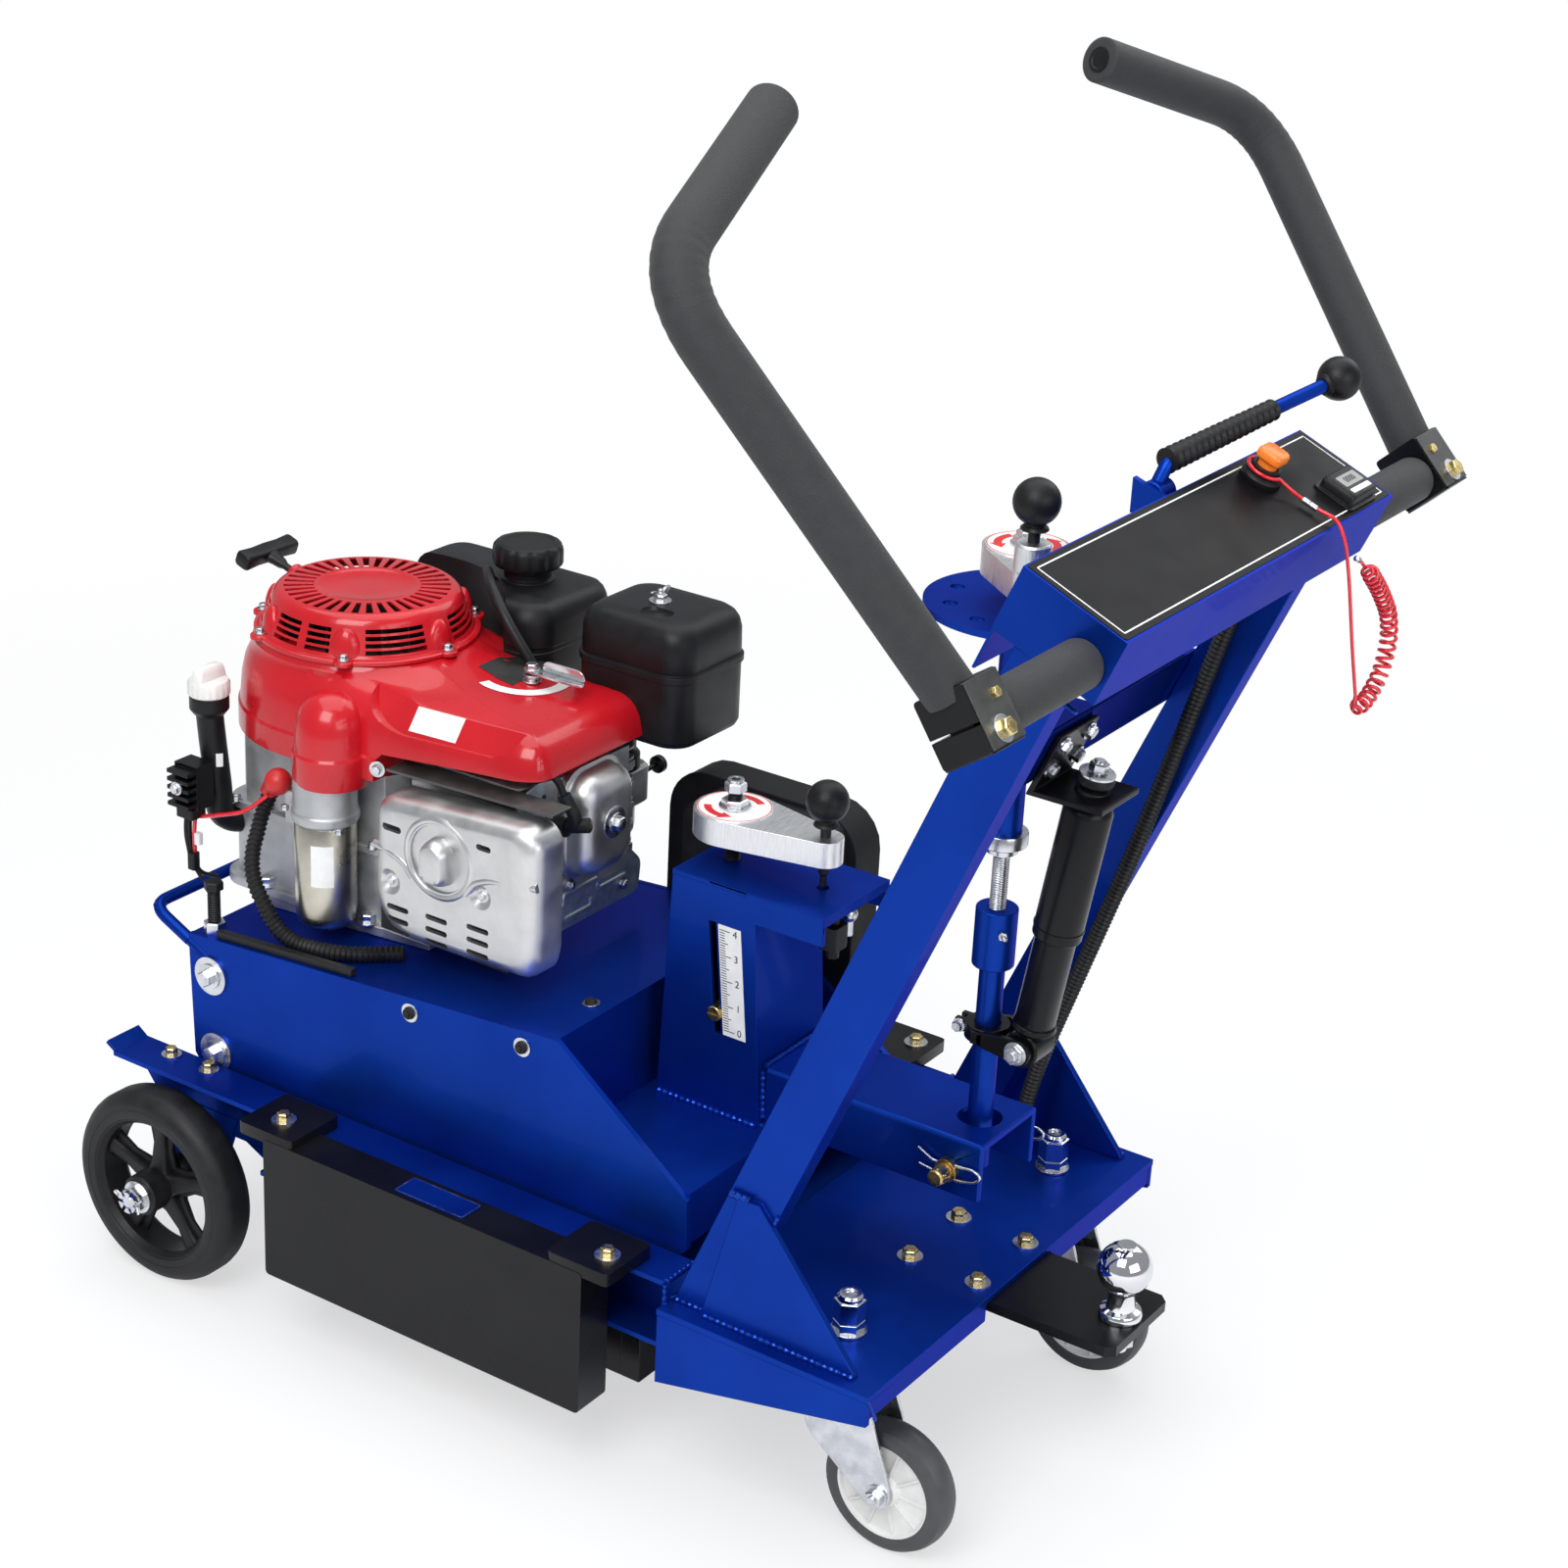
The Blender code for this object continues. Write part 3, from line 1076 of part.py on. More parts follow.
def build_block():
    """Crankcase with the finned cylinder behind it and two feet shaped to the sloping deck."""
    block = prism("engine_block", case_outline(), "z", ENGINE_LOW, CASE_TOP, "steel")
    join(block, box("cylinder", (-CYLINDER_HALF, CYLINDER_REAR, CYLINDER_LOW),
                    (CYLINDER_HALF, CASE_REAR + 4, CYLINDER_TOP)))
    for n in range(FINS):
        z = CYLINDER_LOW + 10 + n * FIN_PITCH
        join(block, box(f"fin_{n}", (-FIN_HALF, CYLINDER_REAR + 8, z),
                        (FIN_HALF, CASE_REAR - 10, z + FIN_THICK)))
    front = DECK_FRONT[0] - 6
    foot = [(front, deck_z(front) + GAP), (front, ENGINE_LOW + 2), (FOOT_REAR, ENGINE_LOW + 2),
            (FOOT_REAR, deck_z(FOOT_REAR) + GAP)]
    for side in (-1, 1):
        a, b = sorted((side * FOOT_IN, side * FOOT_OUT))
        join(block, prism(f"engine_foot_{side}", foot, "x", a, b))
    return block


def build_shroud():
    """Pressed cover over the crankcase and cylinder, its rear skirt cut short above the fins."""
    rings = [shroud_ring(SHROUD_LOW, 0), shroud_ring(SHROUD_LOW + 30, 1), shroud_ring(SHROUD_LOW + 60, 7),
             shroud_ring(SHROUD_TOP - 8, 15), shroud_ring(SHROUD_TOP, 26)]
    shroud = loft("engine_shroud", rings, "red")
    return cut(shroud, box("shroud_room", (-140, 40, SHROUD_LOW - 5), (140, CASE_REAR + 9, SHROUD_SKIRT)))


def slot_set(name, slots):
    """One cutter holding many separate blocks; each slot is eight corners, lower four first."""
    verts = []
    faces = []
    for corners in slots:
        k = len(verts)
        verts += corners
        faces += [(k, k + 1, k + 2, k + 3), (k + 4, k + 5, k + 6, k + 7)]
        for i in range(4):
            j = (i + 1) % 4
            faces.append((k + i, k + j, k + 4 + j, k + 4 + i))
    return solid(name, verts, faces)


def fan_block(number, near, far, half, low, high):
    """Corners of a radial block in the middle of one facet of the fan cover."""
    angle = 2 * math.pi * (number + 0.5) / FAN_SLOTS
    c, s = math.cos(angle), math.sin(angle)
    flat = [(reach * c - wide * s, ENGINE_Y + reach * s + wide * c)
            for reach, wide in ((near, -half), (far, -half), (far, half), (near, half))]
    return [(x, y, low) for x, y in flat] + [(x, y, high) for x, y in flat]


def build_fan_cover():
    """Hollow fan cover with radial slots on top, groups of side vents and the bore of the pull cord."""
    rim = SHROUD_TOP + GAP
    wall = FAN_WALL
    cover = [(0, FAN_TOP - 2 - wall), (FAN_TOP_R - wall, FAN_TOP - 2 - wall),
             (FAN_TOP_R + 5 - wall, FAN_TOP - 10),
             (FAN_RIM - 5 - wall, rim + 14), (FAN_RIM - 5 - wall, rim), (FAN_RIM, rim), (FAN_RIM, rim + 8),
             (FAN_RIM - 5, rim + 14), (FAN_TOP_R + 5, FAN_TOP - 8), (FAN_TOP_R, FAN_TOP - 1),
             (48, FAN_TOP),
             (40, FAN_TOP - 2), (0, FAN_TOP - 2)]
    fan = lathe("fan_cover", cover, (0, ENGINE_Y, 0), (0, 0, 1), FAN_SLOTS, "red", (0, ENGINE_Y, rim))
    top = []
    vents = []
    for n in range(FAN_SLOTS):
        top.append(fan_block(n, FAN_SLOT_IN, FAN_SLOT_OUT, FAN_SLOT_WIDE / 2, FAN_TOP - 9, FAN_TOP + 5))
        if n % 6 not in VENT_FACETS:
            continue
        for level in VENT_LEVELS:
            vents.append(fan_block(n, FAN_TOP_R - 8, FAN_RIM + 5, VENT_WIDE / 2, rim + level - VENT_HIGH,
                                   rim + level))
    cut(fan, slot_set("fan_top_slots", top), slot_set("fan_vents", vents))
    grip_at = Vector(GRIP_AT)
    pull = Vector(GRIP_PULL)
    cut(fan, rod("grip_bore", grip_at - pull * 40, grip_at + pull * 30, GRIP_RADIUS + 2 * GAP, 12))
    stem = [(0, -60), (GRIP_RADIUS, -60), (GRIP_RADIUS, 18), (7, 30), (7, 44), (0, 44)]
    grip = lathe("recoil_grip", stem, grip_at, pull, 12, "black", grip_at)
    across = grip_at + pull * 40
    join(grip, sweep("grip_bar", [across + Vector((-34, 0, 0)), across + Vector((34, 0, 0))], 9, 10))
    return fan


def build_tank():
    """Moulded tank wrapped round the fan cover, with its neck and cap."""
    x0, y0, x1, y1 = TANK_BOX
    rings = []
    for inset, z in zip((6, 0, 0, 8), TANK_LEVELS):
        flat = round_rect(x0 + inset, y0 + inset, x1 - inset, y1 - inset, 22)
        rings.append([(a, b, z) for a, b in flat])
    tank = loft("fuel_tank", rings, "black")
    cut(tank, lathe("tank_fan_room",
                    [(0, SHROUD_LOW), (FAN_RIM + 27, SHROUD_LOW), (FAN_RIM + 25, 700), (0, 700)],
                    (0, ENGINE_Y, 0), (0, 0, 1), 32))
    cut(tank, loft("tank_shroud_room",
                   [shroud_ring(SHROUD_LOW - 30, -2), shroud_ring(SHROUD_TOP + 6, -2)]))
    join(tank, rod("tank_neck", (NECK_X, NECK_Y, TANK_LEVELS[2] - 2), (NECK_X, NECK_Y, NECK_TOP), 22, 16))
    seat = NECK_TOP + GAP
    cap = [(0, seat), (33, seat), (35, seat + 5), (35, seat + 21), (31, seat + 26), (0, seat + 26)]
    lathe("fuel_cap", cap, (NECK_X, NECK_Y, 0), (0, 0, 1), 20, "black", (NECK_X, NECK_Y, seat + 8))
    return tank


def build_filter():
    """Moulded filter box beside the cover's rear, cut to the cover's side."""
    x0, y0, x1, y1 = FILTER_BOX
    rings = []
    for inset, z in ((4, FILTER_LOW), (0, FILTER_LOW + 8), (0, FILTER_TOP - 22), (4, FILTER_TOP - 8),
                     (14, FILTER_TOP)):
        flat = round_rect(x0 + inset, y0 + inset, x1 - inset, y1 - inset, 20)
        rings.append([(a, b, z) for a, b in flat])
    air = loft("air_filter", rings, "black")
    room = [shroud_ring(SHROUD_LOW - 5, 2 * GAP), shroud_ring(SHROUD_TOP + 4, 2 * GAP)]
    return cut(air, loft("filter_shroud_room", room))


def build_muffler():
    """Pressed muffler box on its exhaust flange beside the cylinder."""
    y0, z0, y1, z1 = MUFFLER_BOX
    rings = []
    for inset, x in ((10, MUFFLER_OUT), (2, MUFFLER_OUT + 4), (0, MUFFLER_OUT + 14), (0, MUFFLER_IN)):
        flat = round_rect(y0 + inset, z0 + inset, y1 - inset, z1 - inset, 16)
        rings.append([(x, a, b) for a, b in flat])
    muffler = loft("muffler", rings, "steel")
    return join(muffler, box("exhaust_flange", (MUFFLER_IN - 2, 120, 452), (-FIN_HALF - GAP, 180, 522)))


def build_rocker():
    """Pressed rocker cover on the end of the cylinder."""
    x0, z0, x1, z1 = ROCKER_BOX
    seat = CYLINDER_REAR - RUN
    rings = []
    for inset, y in ((14, ROCKER_OUT), (3, ROCKER_OUT + 4), (0, ROCKER_OUT + 12), (0, seat - 7.5),
                     (-5, seat - 6.5),
                     (-5, seat)):
        flat = round_rect(x0 + inset, z0 + inset, x1 - inset, z1 - inset, 20 - max(inset, 0))
        rings.append([(a, y, b) for a, b in flat])
    rocker = loft("rocker_cover", rings, "steel")
    return cut(rocker, box("rocker_trim", (-60, 40, SHROUD_SKIRT - 5), (60, 90, SHROUD_SKIRT + 40)))


def build_starter():
    """Starter motor standing on the deck against the crankcase."""
    r = STARTER_RADIUS
    low, top = STARTER_LOW, STARTER_TOP
    profile = [(0, low), (r - 3, low), (r, low + 8), (r, top - 60), (r + 2, top - 58), (r + 2, top - 12),
               (r, top), (0, top)]
    motor = lathe("starter_motor", profile, (STARTER_X, STARTER_Y, 0), (0, 0, 1), 18, "steel",
                  (STARTER_X, STARTER_Y, low))
    return cut(motor, box("starter_trim", (-CASE_HALF - GAP, 200, low - 6), (-60, CASE_FRONT, top + 10)))


def build_oil():
    """Oil filler tube out of the crankcase corner, with its cap."""
    root = (OIL_X + 6, OIL_Y - 4)
    path = [root + (420,), root + (470,), (OIL_X + 2, OIL_Y - 1, 524), (OIL_X, OIL_Y, 552),
            (OIL_X, OIL_Y, OIL_TOP)]
    tube = sweep("oil_tube", path, [13, 13, 14, 15, 15], 12, 0.0, "black")
    join(tube, box("oil_root", (root[0], root[1] - 14, 424), (-CASE_HALF + 12, root[1] + 12, 448)))
    cut(tube, prism("oil_case_room", case_outline(0.4), "z", 300, SHROUD_SKIRT))
    seat = OIL_TOP + GAP
    cap = [(0, seat), (20, seat), (21, seat + 8), (21, seat + 16), (12, seat + 20), (10, seat + 30),
           (0, seat + 30)]
    lathe("oil_cap", cap, (OIL_X, OIL_Y, 0), (0, 0, 1), 16, "white", (OIL_X, OIL_Y, seat + 8))
    return tube


def build_regulator():
    """Finned regulator block in front of the oil tube."""
    regulator = box("regulator", REGULATOR_LOW, REGULATOR_HIGH, "black")
    pitch = (REGULATOR_HIGH[2] - REGULATOR_LOW[2] - 3) / REGULATOR_FINS
    x, y, z = REGULATOR_LOW
    for n in range(REGULATOR_FINS):
        low = z + 4 + n * pitch
        join(regulator, box(f"reg_fin_{n}", (x - 12, y + 1, low), (x + 1, REGULATOR_HIGH[1] - 1, low + 4)))
    return regulator


def build_throttle():
    """Throttle lever on a short post on top of the cover."""
    at = (THROTTLE_X, THROTTLE_Y, SHROUD_TOP + GAP)
    lever = lathe("throttle_lever", [(0, 0), (9, 0), (9, 16), (0, 16)], at, (0, 0, 1), 14, "steel")
    flat = round_rect(THROTTLE_X - 6, THROTTLE_Y - THROTTLE_ARM, THROTTLE_X + 6, THROTTLE_Y + 8, 5)
    return join(lever, prism("throttle_arm", flat, "z", SHROUD_TOP + 10, SHROUD_TOP + 14))


def build_guard():
    """Belt guard outside the right side plate with a padded top box."""
    inner = SIDE_RIGHT + GAP
    outer = RAIL_INNER - 7
    outline = round_rect(-128, 236, 92, 512, 44, 5)
    guard = prism("belt_guard", outline, "x", inner, outer, "black")
    top = round_rect(-118, 400, 40, 508, 22, 4)
    return join(guard, prism("guard_box", top, "x", 98, inner + 1))


def build_controls():
    """Stop switch with its button, hour meter and tow hitch."""
    base = tray_point(SWITCH_X, SWITCH_ALONG, GAP)
    ring = [(0, 0), (17, 0), (17, 6), (13, 9), (13, 15), (9.5, 15), (9.5, 7), (0, 7)]
    lathe("kill_switch", ring, base, TRAY_NORMAL, 14, "black")
    seat = tray_point(SWITCH_X, SWITCH_ALONG, GAP + 11)
    lathe("kill_button", [(0, 0), (9, 0), (9, 9), (11.5, 9.5), (11.5, 17), (9, 19), (0, 19)], seat,
          TRAY_NORMAL, 16,
          "orange")
    rings = []
    for k, lift in ((0, GAP), (0, 9), (4, 13)):
        ring = []
        for a, b in round_rect(-24 + k, -17 + k, 24 - k, 17 - k, 5):
            point = tray_point(METER_X + a, METER_ALONG, lift)
            slope = (tray_point(0, 1, 0) - tray_point(0, 0, 0)).normalized()
            ring.append(point + slope * b)
        rings.append(ring)
    loft("hour_meter", rings, "black", tray_point(METER_X, METER_ALONG, 0))
    top = PLATE_TOP - PLATE_THICK - GAP
    tongue = [(-HITCH_HALF, PLATE_REAR + 110), (HITCH_HALF, PLATE_REAR + 110), (HITCH_HALF, HITCH_END + 8),
              (HITCH_HALF - 8, HITCH_END), (-HITCH_HALF + 8, HITCH_END), (-HITCH_HALF, HITCH_END + 8)]
    hitch = prism("hitch_plate", tongue, "z", top - HITCH_THICK, top, "black")
    cut(hitch, rod("hitch_hole", (0, BALL_Y, top - 30), (0, BALL_Y, top + 30), 9 + 2 * GAP, 12))
    low = top - HITCH_THICK
    profile = [(0, low - 24), (9, low - 24), (9, low - 18), (15, low - 18), (15, low - GAP),
               (9, low - GAP), (9, top + GAP),
               (20, top + GAP), (20, top + 8), (13, top + 13), (13, BALL_Z - 21)]
    for a in (-50, -20, 10, 40):
        profile.append((BALL_RADIUS * math.cos(math.radians(a)),
                        BALL_Z + BALL_RADIUS * math.sin(math.radians(a))))
    profile += [(9, BALL_Z + BALL_RADIUS - 1), (0, BALL_Z + BALL_RADIUS - 1)]
    lathe("hitch_ball", profile, (0, BALL_Y, 0), (0, 0, 1), 10, "steel", (0, BALL_Y, BALL_Z))


def build_conduits():
    """Ribbed conduit down the right upright and the starter conduit along the deck."""
    x = UPRIGHT_OUT - UPRIGHT_WIDE - GAP - CONDUIT_RADIUS
    run = bend([(x, -500, 866), (x, -474, 818), (x, -392, 531), (x, -318, 300), (x, -306, 244),
                (x, -306, PLATE_TOP + GAP)], 40, 3)
    ribbed("upright_conduit", run, CONDUIT_RADIUS, "rubber")
    low = CONDUIT_RADIUS - 1.0
    trail = bend([(-124, 366, 506), (-130, 378, 474), (-164, 368, 424),
                  (-174, 316, deck_z(316) + low + 0.4),
                  (-170, 246, deck_z(246) + low + 0.2), (-134, 196, deck_z(196) + low + 0.2)], 30, 3)
    ribbed("starter_conduit", trail, CONDUIT_RADIUS, "rubber", RIB_PITCH + 0.6)


def build_lanyard():
    """Red cord: a loop round the stop switch, a strand over the panel edge, then curls back up."""
    slope = (tray_point(0, 1, 0) - tray_point(0, 0, 0)).normalized()
    across = Vector((1, 0, 0))
    reach = 13.0 + CORD_RADIUS + 0.9
    path = []
    for n in range(11):
        angle = math.radians(-20 + 280 * n / 10)
        ring_at = tray_point(SWITCH_X, SWITCH_ALONG, 11.6)
        path.append(ring_at + (across * math.cos(angle) + slope * math.sin(angle)) * reach)
    edge = TRAY_LOWER[0]
    hang = edge - 9.0
    path += [tray_point(116, 0.42, 6), tray_point(119, 0.20, 5), tray_point(122, 0.02, 7),
             Vector((125, hang, TRAY_LOWER[1] - 12)), Vector((142, hang, 870)), Vector((168, hang, 800)),
             Vector((188, hang, 752))]
    spine = [Vector((190, hang, 738)), Vector((214, hang, 740)), Vector((238, hang, 756)),
             Vector((248, hang, 784)),
             Vector((240, hang, 812)), Vector((212, hang, 842)), Vector((178, hang, 870))]
    smooth = bend(spine, 24, 5)
    steps = COIL_TURNS * COIL_POINTS
    total = sum((b - a).length for a, b in zip(smooth, smooth[1:]))
    centres = walk(smooth, total / steps)
    curls = []
    side = Vector((0, 1, 0))
    for n, point in enumerate(centres):
        before = centres[max(n - 1, 0)]
        after = centres[min(n + 1, len(centres) - 1)]
        along = (after - before).normalized()
        up = along.cross(side).normalized()
        angle = 2 * math.pi * n / COIL_POINTS
        ease = min(1.0, n / COIL_POINTS, (len(centres) - 1 - n) / COIL_POINTS)
        wide = COIL_RADIUS * (0.25 + 0.75 * ease)
        curls.append(point + (side * math.cos(angle) + up * math.sin(angle)) * wide)
    least = 1e9
    for n, a in enumerate(curls):
        for b in curls[n + COIL_POINTS - 2:n + COIL_POINTS + 3]:
            least = min(least, (a - b).length - 2 * CORD_RADIUS)
    print(f"coil self gap {least:.2f} mm over {COIL_TURNS} curls, path {total:.0f} mm")
    end = curls[-1]
    path += curls + [end + Vector((-12, 0, 9)), end + Vector((-22, 0, 14))]
    sweep(FREE_CORD, path, CORD_RADIUS, 4, 0.0, "red", tray_point(SWITCH_X, SWITCH_ALONG, 0))


def centre_on_floor():
    """Move everything so the box round the parts, the free cord left out, stands centred on the origin."""
    low = Vector((1e9, 1e9, 1e9))
    high = -low
    bpy.context.view_layer.update()
    graph = bpy.context.evaluated_depsgraph_get()
    for item in PARTS.objects:
        if item.name == FREE_CORD:
            continue
        shape = item.evaluated_get(graph)
        for corner in shape.bound_box:
            point = shape.matrix_world @ Vector(corner)
            low = Vector(map(min, low, point))
            high = Vector(map(max, high, point))
    shift = Vector(((low.x + high.x) / 2, (low.y + high.y) / 2, low.z))
    for group in (PARTS, CUTTERS):
        for item in group.objects:
            item.location -= shift
    print("moved by", [round(v, 5) for v in -shift], "size", [round(v, 4) for v in high - low])


build_rail(-1, "left_rail")
build_rail(1, "right_rail")
build_rear_plate()
build_upright(-1, "left_upright")
build_upright(1, "right_upright")
build_cross_member()
build_index_tube()
build_tray()
build_crossbar()
build_weight(-1, "left_weight")
build_weight(1, "right_weight")
build_caster(-1, "left_fork", "left_caster")
build_caster(1, "right_fork", "right_caster")
build_wheel(-1, "left_wheel")
build_wheel(1, "right_wheel")
build_handle(-1, "left_handlebar", HANDLE_LEAN_LEFT)
build_handle(1, "right_handlebar", HANDLE_LEAN_RIGHT)
build_lever()
build_housing()
build_drum()
build_tower()
build_pointer()
build_arm()
build_lift_tube()
build_damper()
build_crank("pressure_crank", PRESS_Y, PRESS_LOW, PRESS_ARM, -90, 0.0, 400, 594, TOWER_TOP + 5)
build_crank("depth_crank", POST_Y, 858, DEPTH_ARM, DEPTH_ANGLE, 24.0, 452, 900, DISC_Z + 7)
build_block()
build_shroud()
build_fan_cover()
build_tank()
build_filter()
build_muffler()
build_rocker()
build_starter()
build_oil()
build_regulator()
build_throttle()
build_guard()
build_controls()
build_conduits()
build_lanyard()
centre_on_floor()
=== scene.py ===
"""Looks of the walk-behind pavement grinder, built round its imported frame.

Shapes are written in millimetres in the part's drawing frame, and put() moves them into the
loaded frame.
"""

import math

import bmesh
import bpy
from mathutils import Matrix, Vector
from mathutils.bvhtree import BVHTree


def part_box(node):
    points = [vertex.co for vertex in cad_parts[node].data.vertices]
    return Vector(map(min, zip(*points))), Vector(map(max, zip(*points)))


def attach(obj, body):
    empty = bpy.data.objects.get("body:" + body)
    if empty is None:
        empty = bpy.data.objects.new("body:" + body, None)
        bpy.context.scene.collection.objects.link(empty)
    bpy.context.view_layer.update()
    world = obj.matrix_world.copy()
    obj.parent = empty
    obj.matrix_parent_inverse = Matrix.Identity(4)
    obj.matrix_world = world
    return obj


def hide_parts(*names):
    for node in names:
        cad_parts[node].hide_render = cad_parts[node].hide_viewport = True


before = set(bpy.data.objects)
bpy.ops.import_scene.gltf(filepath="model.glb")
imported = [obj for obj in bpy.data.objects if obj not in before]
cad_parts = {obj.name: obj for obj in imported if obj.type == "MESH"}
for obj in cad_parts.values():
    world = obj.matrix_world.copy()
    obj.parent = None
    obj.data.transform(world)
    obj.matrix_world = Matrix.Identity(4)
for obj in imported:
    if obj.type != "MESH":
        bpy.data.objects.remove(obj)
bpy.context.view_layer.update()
DISC_LOW, DISC_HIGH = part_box("index_tube")
MM = 0.001
POST_Y = -367
SHIFT = Vector(((DISC_LOW.x + DISC_HIGH.x) / 2, (DISC_LOW.y + DISC_HIGH.y) / 2 - POST_Y * MM, 0))
X, Y, Z = Vector((1, 0, 0)), Vector((0, 1, 0)), Vector((0, 0, 1))


def put(point):
    return Vector(point) * MM + SHIFT


# A shape is a pair (points, faces), an outline is a list of (a, b), a path is a list of points.
def place(axis, a, b, t):
    return {"x": (t, a, b), "y": (a, t, b), "z": (a, b, t)}[axis]


def extrude(outline, axis, low, high):
    count = len(outline)
    points = [place(axis, a, b, t) for t in (low, high) for a, b in outline]
    faces = [tuple(range(count)), tuple(range(count, 2 * count))]
    faces += [(i, (i + 1) % count, count + (i + 1) % count, count + i) for i in range(count)]
    return points, faces


def slab(low, high):
    outline = [(low[0], low[1]), (high[0], low[1]), (high[0], high[1]), (low[0], high[1])]
    return extrude(outline, "z", low[2], high[2])


def eased(before, corner, after, radius, share, steps):
    """Curve that cuts a corner, no further along each side than radius or a share of the side."""
    back, on = before - corner, after - corner
    reach = min(radius, back.length * share, on.length * share)
    a, b = corner + back.normalized() * reach, corner + on.normalized() * reach
    ratios = [k / steps for k in range(steps + 1)]
    return [a * (1 - t) ** 2 + corner * (2 * t * (1 - t)) + b * t ** 2 for t in ratios]


def round_off(outline, radius, steps=5):
    """Outline with each corner eased."""
    points = [Vector(p) for p in outline]
    made = []
    for n, corner in enumerate(points):
        made += eased(points[n - 1], corner, points[(n + 1) % len(points)], radius, 0.49, steps)
    return [tuple(p) for p in made]


def round_rect(a0, b0, a1, b1, radius, steps=5):
    points = []
    corners = ((a1, b1, -1, -1, 0), (a0, b1, 1, -1, 90), (a0, b0, 1, 1, 180), (a1, b0, -1, 1, 270))
    for a, b, da, db, start in corners:
        for i in range(steps + 1):
            angle = math.radians(start + 90 * i / steps)
            points.append((a + radius * (da + math.cos(angle)),
                           b + radius * (db + math.sin(angle))))
    return points


def lofted(rings):
    count = len(rings[0])
    points = [p for ring in rings for p in ring]
    faces = [tuple(range(count)), tuple(range(len(points) - count, len(points)))]
    for k in range(len(rings) - 1):
        for i in range(count):
            j = (i + 1) % count
            faces.append((k * count + i, k * count + j, (k + 1) * count + j, (k + 1) * count + i))
    return points, faces


def stacked(axis, levels):
    """Loft of flat outlines, given as (height, outline)."""
    return lofted([[place(axis, a, b, t) for a, b in outline] for t, outline in levels])


def turned(profile, centre=(0, 0, 0), direction=(0, 0, 1), steps=40, ring=False):
    """Turn (radius, height) points round an axis."""
    turn = Z.rotation_difference(Vector(direction).normalized()).to_matrix()
    base = Vector(centre)
    points, rows, faces = [], [], []
    for radius, height in profile:
        count = 1 if radius <= 0 else steps
        rows.append([len(points) + i for i in range(count)])
        for i in range(count):
            t = 2 * math.pi * i / steps
            points.append(base + turn @ Vector((radius * math.cos(t),
                                                radius * math.sin(t), height)))
    pairs = list(zip(rows, rows[1:])) + ([(rows[-1], rows[0])] if ring else [])
    for low, high in pairs:
        for i in range(steps):
            j = (i + 1) % steps
            corners = [low[i % len(low)], low[j % len(low)], high[j % len(high)],
                       high[i % len(high)]]
            corners = list(dict.fromkeys(corners))
            if len(corners) > 2:
                faces.append(tuple(corners))
    return points, faces


def rod(start, end, radius, steps=24, edge=0.0):
    axis = Vector(end) - Vector(start)
    high = axis.length
    profile = [(0, 0), (radius, edge), (radius, high - edge), (0, high)]
    if edge:
        profile.insert(1, (radius - edge, 0))
        profile.insert(-1, (radius - edge, high))
    return turned(profile, start, axis, steps)


def threaded(start, end, radius, pitch=2.2):
    axis, root = Vector(end) - Vector(start), radius - 0.9
    count = max(2, int(axis.length / pitch))
    profile = [(0, 0)]
    for n in range(count):
        a = axis.length * n / count
        profile += [(root, a), (radius, a + 0.4 * pitch), (radius, a + 0.6 * pitch)]
    return turned(profile + [(root, axis.length), (0, axis.length)], start, axis, 20)


def hexed(at, axis, across, height):
    r, crown = across / math.sqrt(3), 1.2
    profile = [(0, 0), (r, 0), (r, height - crown), (r * 0.86, height), (0, height)]
    return turned(profile, at, axis, 6)


def disc(at, axis, radius, thick, bore=0.0, steps=32):
    if bore:
        return turned([(bore, 0), (radius, 0), (radius, thick), (bore, thick)], at,
                      axis, steps, True)
    return turned([(0, 0), (radius, 0), (radius, thick), (0, thick)], at, axis, steps)


def ball(at, radius, steps=32, low=-90):
    """Ball, cut flat at the angle low."""
    profile = []
    for i in range(17):
        t = math.radians(low + (90 - low) * i / 16)
        profile.append((radius * math.cos(t) if abs(t) < 1.57 else 0, radius * math.sin(t)))
    if profile[0][0]:
        profile.insert(0, (0, profile[0][1]))
    return turned(profile, at, Z, steps)


def bend(points, radius, steps=8):
    """Path with each inner corner eased."""
    points = [Vector(p) for p in points]
    path = [points[0]]
    for before, corner, after in zip(points, points[1:], points[2:]):
        path += eased(before, corner, after, radius, 0.45, steps)
    return path + [points[-1]]


def walk(path, pitch):
    """Even points along a path."""
    path = [Vector(p) for p in path]
    lengths = [(b - a).length for a, b in zip(path, path[1:])]
    count = max(2, round(sum(lengths) / pitch))
    points = []
    for n in range(count + 1):
        want, k = sum(lengths) * n / count, 0
        while k < len(lengths) - 1 and want > lengths[k]:
            want -= lengths[k]
            k += 1
        points.append(path[k].lerp(path[k + 1], min(1.0, want / lengths[k])))
    return points


def swept(path, radius, sides=14):
    """Tube along a path; radius is one number or one for each point."""
    path = [Vector(p) for p in path]
    last = len(path) - 1
    radii = radius if isinstance(radius, list) else [radius] * len(path)
    heads = []
    for i in range(len(path)):
        a, b = path[max(i - 1, 0)], path[min(i + 1, last)]
        ends = (path[i] - a).normalized() + (b - path[i]).normalized()
        heads.append((ends if ends.length > 1e-6 else b - a).normalized())
    side = heads[0].orthogonal().normalized()
    rings = []
    for i, head in enumerate(heads):
        if i:
            side = heads[i - 1].rotation_difference(head) @ side
            side = (side - head * side.dot(head)).normalized()
        up = head.cross(side)
        turns = [2 * math.pi * k / sides for k in range(sides)]
        rings.append([path[i] + (side * math.cos(t) + up * math.sin(t)) * radii[i] for t in turns])
    return lofted(rings)


